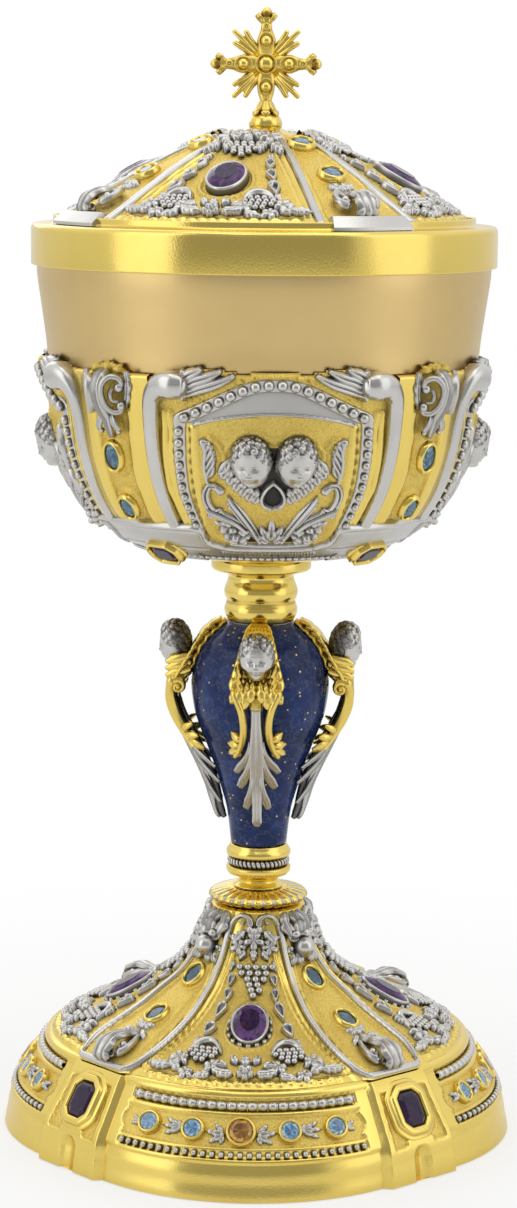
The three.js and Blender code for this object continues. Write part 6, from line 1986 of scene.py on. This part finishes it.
def lidGround():
    chart = chartOn(lidSkin, (-45.0, 45.0), (2.4, lidCurve["length"]), 0.54)
    across, height = chartPlaces(chart, lidCurve)
    radius = onMeridian(lidCurve, chart["down"])[0][:, None]
    fromBar = (np.abs(across) - lid["barAngle"]) * np.radians(1) * radius
    strap = stepUp(fromBar, -0.4, 0.4)
    field = (fromBar < -3.4) & (height > 229.6)
    chart["grain"] = blurred(np.where(field | (fromBar > 1.4), 1.0, 0.0), 1)
    hatch = 0.05 * np.cos(7.0 * chart["down"])[:, None] * field
    border = 0.3 * stepUp(-fromBar, 3.7, 3.2) + 0.3 * stepUp(-height, -229.7, -229.0)
    chart["height"] = 0.05 + 0.6 * strap + hatch + border * (1 - strap)
    stops = [(lid["barAngle"], z) for z in (246.8, 244.0, 240.0, 235.8, 231.2, 228.6)]
    linesBeside(chart, lidCurve, stops, lid["barLines"])
    wide, tall = lid["oval"]["halfWidth"] + 1.9, lid["oval"]["halfLength"] + 1.9
    middle = downAtHeight(lidCurve, lid["oval"]["height"])
    drawLine(chart, ringPath(chart, 0.4, middle, wide, tall, 0.45, 0.85))
    row = [(domeMotif, a, 228.9 + 0.15 * np.cos(a), 0, 1.2, 0.9, 0.6) for a in np.arange(1.4, 27, 2.9)]
    strew(chart, lidCurve, row, 0.3)
    steps = [(domeMotif, 45, z, 0, w + 1.5, l + 1.5, 0.5) for z, w, l in lid["strapStones"]]
    strew(chart, lidCurve, steps, 0.6)
    return reliefShape(chart, sink=-0.8, depth=1.0, foot=0, cuts=False, darkest=0.35, level=0.86)


# Silver bars beside the straps, flat on top, that run down to the blocks
def lidBars():
    chart = chartOn(lidSkin, (-45.0, 45.0), (9.0, lidCurve["length"]), 0.3)
    drawBoth(chart, onLid([(lid["barAngle"], z, w, 1.6) for z, w in lid["bar"]]), 0.4)
    strew(chart, lidCurve, lid["barLeaves"], 0.6)
    return reliefShape(chart, sink=0.0, depth=0.9, foot=0.6, level=0.76)


# The silver mount in a field of the lid, as the foot's
lidMount = {
    "reach": 30.0, "top": 8.4,
    "sides": [
        (vineLeafMotif, 0, 247.2, 0, 3.6, 2.6), (vineLeafMotif, 21.0, 246.6, 60, 3.7, 2.4),
        (leafMotif, 22.0, 247.6, 60, 4.8, 2.8, 2.2, 3), (leafMotif, 12.0, 247.8, 20, 4.4, 2.6, 2.3, 3),
        (leafMotif, 21.0, 245.4, 25, 5.0, 2.8, 2.1, 3), (leafMotif, 14.0, 245.6, -10, 4.0, 2.6, 2.0, 3),
        (leafMotif, 19.0, 243.4, 5, 3.2, 1.4, 1.1, 2), (podMotif, 18.9, 242.0, -5, 4.0, 2.2, 1.4),
        (podMotif, 18.2, 239.6, 10, 4.2, 2.4, 1.4), (leafMotif, 18.8, 237.6, -8, 3.4, 1.5, 1.2, 1),
        (podMotif, 19.0, 237.0, 6, 5.2, 2.7, 1.5), (leafMotif, 19.6, 234.4, 20, 3.2, 1.6, 1.3, 2),
        (vineLeafMotif, 21.4, 231.8, 70, 2.9, 1.7), (leafMotif, 23.0, 230.9, 80, 5.6, 2.4, 1.4, 4),
        (leafMotif, 20.4, 230.4, 110, 4.2, 2.3, 1.4, 3), (vineLeafMotif, 17.2, 230.3, 20, 2.4, 1.5),
        (vineLeafMotif, 9.8, 231.4, -40, 2.8, 1.7), (leafMotif, 9.6, 230.3, 72, 4.2, 2.2, 1.4, 3),
        (leafMotif, 9.2, 230.9, -80, 4.6, 2.3, 1.5, 3), (leafMotif, 3.0, 230.7, 85, 4.0, 2.2, 1.5, 3),
        (leafMotif, 5.4, 231.7, 118, 3.2, 1.9, 1.4, 2), (leafMotif, 2.6, 231.9, 155, 3.0, 2.0, 1.4, 2)],
    "middle": [(leafMotif, 0, 231.4, 180, 3.6, 2.5, 1.6, 3), (rosetteMotif, 0, 230.7, 0, 2.2, 1.6, 5)],
    "middleBase": 0.35, "middleGrow": 1.0,
    "stalk": [(19.4, 232.9, 0.4, 1.2), (17.0, 234.3, 0.95, 1.7), (13.6, 234.8, 1.05, 1.8),
              (10.8, 234.3, 0.95, 1.7),
              (9.2, 233.2, 0.4, 1.2)],
}


# The block across a strap's foot: its section in radius and height, its ends drawn in towards the top
def lidBlock():
    section = [(47.6, 229.4, 1.0), (50.1, 230.4, 0.95), (50.6, 230.4, 0.94), (53.1, 227.9, 0.99),
               (53.1, 227.15, 1.0),
               (51.5, 227.1, 1.0), (47.6, 228.0, 1.0)]
    r, z, share = np.array(section).T[:, :, None]
    columns, count = 25, len(section)
    across = np.radians(lid["blockAngle"]) * np.linspace(-1, 1, columns)[None, :]
    first = np.arange(count)[None, :] * columns
    ends = [first, first[:, ::-1] + columns - 1]
    return flipped(shapeOf(polar(r, across * share, z), [gridFaces(count, columns, closesDown=True), *ends],
                           0.93))


# The dome's wall under the dressed fields, with the hole for the finial's shank
def lidInside():
    down = np.linspace(2.6, lidCurve["length"], 34)
    outer = np.stack(onMeridian(lidCurve, down, -0.35), axis=1)
    inner = np.stack(onMeridian(lidCurve, down, -lid["wall"]), axis=1)
    profile = np.vstack([[(2.2, 248.6)], outer, [(50.2, 226.3), (49.0, 226.3)], inner[::-1], [(2.2, 247.5)]])
    return lathe(profile, 144, 0.85)


lidScroll = {
    "stops": [(38.0, 0.7), (39.8, 1.4), (41.6, 2.9), (43.6, 4.0), (46.0, 4.1), (47.9, 3.1), (48.1, 1.8),
              (46.8, 1.3),
              (45.8, 2.0)],
    "curl": [(40.4, 1.3, 1.4), (39.9, 1.9, 3.0), (41.2, 2.3, 4.6), (43.6, 2.5, 5.0), (45.0, 2.5, 3.9),
             (44.4, 2.6, 2.9),
             (43.2, 2.6, 3.2)],
    "widths": (0.6, 1.6, 2.0, 2.3, 2.9, 3.0, 2.8, 2.4, 1.6),
}


panelTurn, strapTurn = turns["lid"], turns["lid"] + 45
oval = lid["oval"]
seatOf = lambda lift: ovalSeat(lidSkin, lidCurve, oval, lift)
seats = stoneSeats(lidSkin, lidCurve, lid["strapStones"], 0.7)
grapes = fieldGrapes(lidSkin, lidCurve, 0.5, downAtHeight(lidCurve, 245.6), (6, 5, 4, 3, 1), 0.9, 233.3)
stone = brilliant(oval["halfWidth"], oval["halfLength"], 1.5, 20, 42)
addFour("lid_ground", lidGround(), gilt, panelTurn, body="lid")
addPiece("lid_inside", lidInside(), gilt, ["lid_dome"], "lid")
addFour("lid_bars", lidBars(), silver, panelTurn, body="lid")
addFour("lid_mount", mountShape(mountChart(lidSkin, lidCurve, lidMount)), silver, panelTurn, "lid_vine",
        body="lid")
addFour("lid_grapes", grapes, silver, panelTurn, body="lid")
addFour("lid_bezel", seated(ovalBezel(oval, 2.1), *seatOf(0.1)), silver, panelTurn, body="lid")
addFour("lid_gem", seated(stone, *seatOf(1.7)), amethyst, panelTurn, "lid_amethyst", body="lid")
addFour("lid_rims", rimsOn(seats, 0.75, 1.9), gilt, strapTurn, body="lid")
addFour("lid_topaz", stonesOn(seats, 1.6, 80), topaz, strapTurn, body="lid")
addFour("lid_block", lidBlock(), silver, strapTurn, body="lid", isFlat=True)
addFour("lid_acanthus", castScroll(lidSkin, lidCurve, lidScroll), silver, strapTurn, body="lid")
print("lid made")


# Finial: a cross of four petal arms with balls at their ends, rays between them, on a boss

cross = {"height": 265.5, "base": 249.25, "ball": 1.35, "ballAt": 12.2,
         "arm": [(1.4, 1.6, 1.1), (3.2, 2.3, 1.3), (5.4, 2.45, 1.4), (7.5, 1.8, 1.25), (9.4, 1.3, 1.0),
                 (11.2, 1.2, 0.9)],
         "shank": (11.6, 1.9, 1.5), "horn": [(9.4, 0.4), (10.5, 1.0), (11.3, 1.7), (11.9, 2.3)],
         "petals": [(5.5, 1.45, 1.8), (8.9, 0.35, 0.5)], "petalRim": [(-0.2, -0.3), (0.35, -0.3), (0.3, 0.55),
                                                                      (-0.05, 0.6)],
         "middleRim": [(-0.3, -1.1), (0.5, -1.1), (0.5, 0.2), (0.25, 0.5), (0.0, 0.4), (-0.3, 0.0)],
         "rays": [(45, 11.4), (33, 9.6), (57, 9.6)], "foot": 244.2,
         "boss": [(1.8, 0.0), (3.3, 0.0), (4.0, 1.1), (4.1, 2.2), (3.5, 3.6), (2.2, 4.4), (1.5, 5.0), (1.7, 5.6),
                  (0.0, 6.2)]}


# A place of the cross: along an arm, aside of it and towards the viewer, for an arm turned from upright
def onCross(turn, along, aside=0.0, towards=0.0):
    t = np.radians(turn)
    along, aside, towards = np.broadcast_arrays(along, aside, towards)
    height = cross["height"] + along * np.cos(t) - aside * np.sin(t)
    return np.stack([along * np.sin(t) + aside * np.cos(t), -towards, height], -1)


def crossArm(turn):
    t = np.radians(turn)
    way, side = np.array([np.sin(t), 0, np.cos(t)]), np.array([np.cos(t), 0, -np.sin(t)])
    arm = cross["arm"] + [cross["shank"]] if turn == 180 else cross["arm"]
    along, wide, thick = np.array(arm).T
    shapes = [leafBar(onCross(turn, along), side, wide, thick, 3, 0.14, 0.25, 22, 46)]
    for face in (-1, 1):
        for at, w, l in cross["petals"]:
            axes = np.stack([side * face, way, np.array([0, -face, 0])])
            origin = onCross(turn, at, 0.0, face * 0.9)
            shapes.append(seated(rimOf(ovalOutline(w + 0.15, l + 0.15, 20), cross["petalRim"]), origin, axes))
            shapes.append(balls(origin + axes[2] * 0.1, axes[2], (w + l) / 2.2, rings=8, around=14))
    if turn != 180:
        shapes.append(balls(onCross(turn, cross["ballAt"]), way, cross["ball"], rings=12, around=18))
        for hand in (-1, 1):
            path = np.array([onCross(turn, a, hand * b) for a, b in cross["horn"]])
            form = (0.8, 1.2, 1.2, 0.9), (0.5, 0.75, 0.8, 0.55), 2, 0.15, 0.2, 16, 30
            shapes.append(leafBar(path, (0, 1, 0), *form))
    return shapes


# A ray between two arms: a thin stick turned about its line, from the boss's edge to its tip
def crossRay(turn, length):
    start, end = onCross(turn, 0.0)[None], onCross(turn, 1.0)[None]
    profile = [(2.0, 0.1), (2.0, 0.75), (length - 0.5, 0.62), (length - 0.1, 0.45), (length, 0.1)]
    return spun(start, end - start, np.array([[0, -1.0, 0]]), profile, around=12)


def crossShape():
    shapes = [shape for turn in quarters for shape in crossArm(turn)]
    for face in (-1, 1):
        axes = np.array([[face, 0, 0], [0, 0, 1.0], [0, -face, 0]])
        origin = onCross(0, 0.0, 0.0, face * 1.1)
        shapes.append(seated(rimOf(ovalOutline(2.2, 2.2, 36), cross["middleRim"]), origin, axes))
        shapes.append(balls(origin, axes[2], 1.85, stretch=0.7, rings=14, around=24))
    shapes += [crossRay(quarter + turn, length) for quarter in quarters for turn, length in cross["rays"]]
    for turn in quarters:
        web = onCross(turn + 45, np.array([1.5, 4.0, 6.5, 8.6]))
        form = (1.2, 1.9, 2.0, 1.4), (0.7, 0.6, 0.45, 0.3), 0, 0, 0.2, 16, 20
        shapes.append(leafBar(web, onCross(turn + 135, 1.0) - onCross(0, 0.0), *form))
    foot = (0.0, cross["foot"] - cross["base"])
    boss = softened([(cross["boss"][0][0], foot[1]), *cross["boss"]], 0.5, 4, closes=False)
    shapes.append(lathe(np.vstack([foot, boss]) + [0, cross["base"]], 48))
    for turn in range(0, 360, 60):
        path = polar(np.array([1.0, 1.9, 2.9, 3.3]), np.radians(turn),
                     cross["base"] + np.array([7.4, 5.6, 4.6, 3.6]))
        beside = polar(1.0, np.radians(turn + 90), 0.0)
        shapes.append(leafBar(path, beside, (0.7, 1.1, 1.2, 0.3), (0.5, 0.5, 0.4, 0.2), 2, 0.2, 0.3, 14, 30))
    return joined(shapes)


addPiece("cross_gilt", crossShape(), gilt, ["finial_cross"], "lid")
print("cross made")


# Angel brackets: worked out in front of the axis as places of radius, height and aside

bracket = {
    "spine": [(8.6, 128.9, 2.2, 0.8), (11.0, 126.9, 3.2, 1.0), (13.2, 124.9, 4.0, 1.2), (15.4, 121.6, 4.6, 1.3),
              (17.0, 118.0, 4.6, 1.4), (19.0, 115.0, 3.6, 1.3), (21.1, 112.0, 2.0, 1.0), (21.3, 108.8, 1.1, 0.8)],
    "leaf": [(21.7, 110.2, 1.35, 0.9), (20.8, 106.4, 1.5, 1.1), (18.9, 102.2, 1.9, 1.3), (16.7, 97.6, 2.3, 1.3),
             (14.4, 92.6, 2.0, 1.2), (12.6, 88.2, 1.6, 1.1), (11.6, 84.2, 1.25, 0.9), (11.1, 81.6, 1.15, 0.6),
             (10.4, 79.6, 1.25, 0.55),
             (9.7, 78.6, 0.7, 0.4)],
    "keelBack": 1.25, "keelWidth": (0.4, 0.9, 1.1, 1.0, 0.9, 0.8, 0.6),
    "keelThick": (0.4, 1.0, 1.1, 1.1, 1.05, 1.0, 0.5),
    "lobes": [(101.5, 1.3, 92.4, 5.2, 1.05), (98.5, 1.2, 88.4, 4.4, 1.1), (93.0, 0.9, 83.0, 2.8, 0.95)],
    "head": {"radius": 21.2, "height": 122.9, "half": (4.2, 5.7, 3.9)},
    "bar": [(15.9, 97.6, 5.2), (17.2, 99.4, 4.2), (18.8, 101.8, 3.4), (20.3, 104.4, 3.05), (21.5, 107.4, 3.15),
            (22.1, 110.4, 3.8)],
    "volute": {"radius": 20.2, "height": 112.7, "aside": 5.2, "size": 1.9},
    "flare": [(18.9, 101.6, 3.6, 16.4, 103.6, 6.2), (17.9, 100.4, 4.0, 14.9, 100.6, 7.1),
              (17.1, 99.4, 4.4, 13.4, 97.6, 6.9),
              (16.6, 99.0, 4.2, 13.4, 96.8, 5.0)],
    "fan": [118.6, 116.9, 115.2], "feathers": [(0.2, 4.2), (0.6, 4.6), (1.0, 4.8)],
    "bib": [(116.8, 0.9, 112.0, 1.5), (116.7, 2.3, 110.4, 2.9), (116.3, 3.7, 111.4, 4.5)],
}
front = lambda radius, height, aside: np.stack(np.broadcast_arrays(aside, -np.asarray(radius, float), height),
                                               axis=-1)


# The radius of a path of radius and height at a given height
def radiusOn(path, height):
    stops = np.array(path)[::-1]
    return np.interp(height, stops[:, 1], stops[:, 0])


# A leaf from one place to another that bows outwards between them
def bentLeaf(start, end, bow, width, thick, out=(0, -1.0, 0), lobes=1, groove=0.45, samples=18, around=12):
    start, end, out = np.array(start, float), np.array(end, float), np.array(out, float)
    t = np.linspace(0, 1, 6)[:, None]
    path = start + (end - start) * t + bow * np.sin(np.pi * t) * out
    widths = [width * share for share in (0.55, 0.9, 1.0, 0.95, 0.35)]
    return leafBar(path, np.cross(out, end - start), widths, (thick, thick, 0.5 * thick), lobes, 0.12, groove,
                   around, samples)


# The bar on one side of a bracket, which ends in a volute that winds in towards its eye, with a ball in it
def bracketBar(side):
    bar = [front(*stop[:2], side * stop[2]) for stop in bracket["bar"]]
    volute = bracket["volute"]
    turn = np.linspace(0, 2.6 * np.pi, 20)
    size = volute["size"] * (1 - 0.75 * turn / turn[-1])
    aside = side * (volute["aside"] + 0.1 * turn)
    curl = front(volute["radius"] + size * np.cos(turn), volute["height"] + size * np.sin(turn), aside)
    wide, thick = (0.7, 1.0, 1.05, 0.95, 0.9, 0.85, 0.8, 0.7), (1.2, 1.6, 1.3, 0.6, 0.5, 0.45, 0.4)
    bar = leafBar(np.vstack([bar, curl[1:]]), (1, 0, 0), wide, thick, 0, 0, 0.2, 16, 100)
    eye = front(volute["radius"], volute["height"], side * (volute["aside"] + 0.6))
    return [bar, balls(eye, (side, 0, 0), 0.75, rings=8, around=12)]


# Rows of feathers down one side of a bracket's back, three in a row, which point down the back and lift
# off it towards their tips
def bracketFeathers(side):
    back = np.array(bracket["spine"])[:, :2]
    backAt = lambda t: np.array([np.interp(t, np.linspace(0, 1, len(back)), back[:, k]) for k in (0, 1)])
    shapes = []
    for t in np.linspace(0.04, 0.58, 7):
        place = backAt(t)
        way = (backAt(t + 0.16) - place) / np.linalg.norm(backAt(t + 0.16) - place)
        out = np.array([-way[1], way[0]])
        spread = np.interp(t, [0, 0.3, 0.6, 0.9], [1.3, 3.0, 5.0, 4.4])
        for share, longer in bracket["feathers"]:
            x = side * spread * share
            root, tip = place + 0.9 * out, place + way * longer + 1.5 * out
            ends = front(*root, x), front(*tip, x + side * 1.1 * share)
            shapes.append(bentLeaf(*ends, 0.35, 1.3, 0.5, (0, way[1], way[0]), 0, 0.35, 10, 8))
    return shapes


def bracketGold():
    r, z, wide, thick = np.array(bracket["spine"]).T
    shapes = [leafBar(front(r, z, 0.0), (1, 0, 0), wide, thick, 9, 0.1, 0.15, 22, 60)]
    for side in (-1, 1):
        shapes += bracketBar(side)
        for r0, z0, x0, r1, z1, x1 in bracket["flare"]:
            shapes.append(bentLeaf(front(r0, z0, side * x0), front(r1, z1, side * x1), 0.5, 1.15, 0.6))
        for z0, x0, z1, x1 in bracket["bib"]:
            shapes.append(bentLeaf(front(20.4, z0, side * x0), front(22.7, z1, side * x1), 0.8, 1.35, 0.6,
                                   lobes=3))
        shapes += bracketFeathers(side)
        for z1 in bracket["fan"]:
            root, tip = front(17.0, z1 + 1.8, side * 4.6), front(23.4, z1, side * 3.9)
            shapes.append(bentLeaf(root, tip, 0.3, 1.2, 0.55, (side, 0, 0), 0, 0.35, 16, 12))
    return joined(shapes)


def bracketSilver():
    r, z, wide, thick = np.array(bracket["leaf"]).T
    shapes = [leafBar(front(r, z, 0.0), (1, 0, 0), wide, thick, 0, 0, 0.35, 24, 70)]
    path = front(r[1:] - bracket["keelBack"], z[1:], 0.0)
    keel = leafBar(path, (1, 0, 0), bracket["keelWidth"], bracket["keelThick"], 0, 0, 0.2, 16, 50)
    shapes.append({**keel, "tone": keel["tone"] * 0.35})
    t = np.linspace(0, 1, 7)
    for top, rootX, low, tipX, width in bracket["lobes"]:
        widths = [width * share for share in (0.7, 0.75, 0.8, 0.95, 1.2, 0.8)]
        for side in (-1, 1):
            z = top + (low - top) * t
            x = side * (rootX + (tipX - rootX) * t ** 1.7)
            r = radiusOn(bracket["leaf"], z) + 0.1 + 0.9 * np.sin(np.pi * t) - 3.6 * t ** 1.6 * tipX / 5
            form = (0.6, 0.65, 0.6, 0.35), 0, 0, 0.4, 16, 36
            shapes.append(leafBar(front(r, z, x), (1, 0, 0.5 * side), widths, *form))
    return joined(shapes)


def bracketHead():
    head = bracket["head"]
    upright = np.array([[1.0, 0, 0], [0, 0, 1], [0, -1, 0]])
    return seated(posed(childHead(*head["half"], seed=9), nod=-6), front(head["radius"], head["height"], 0.0),
                  upright)


addFour("bracket_gilt", bracketGold(), gilt, turns["bracket"], "angel_bracket")
addFour("bracket_leaf", bracketSilver(), silver, turns["bracket"])
addFour("bracket_head", bracketHead(), silver, turns["bracket"], "angel_head")
print("brackets made")


# The CAD's own pieces that still show take the finish of their slot
for part in frame["record"]["subparts"]:
    materials = frame["nodes"][part["node"]].data.materials
    materials.clear()
    materials.append(slotFinish[part["material_slot"]])
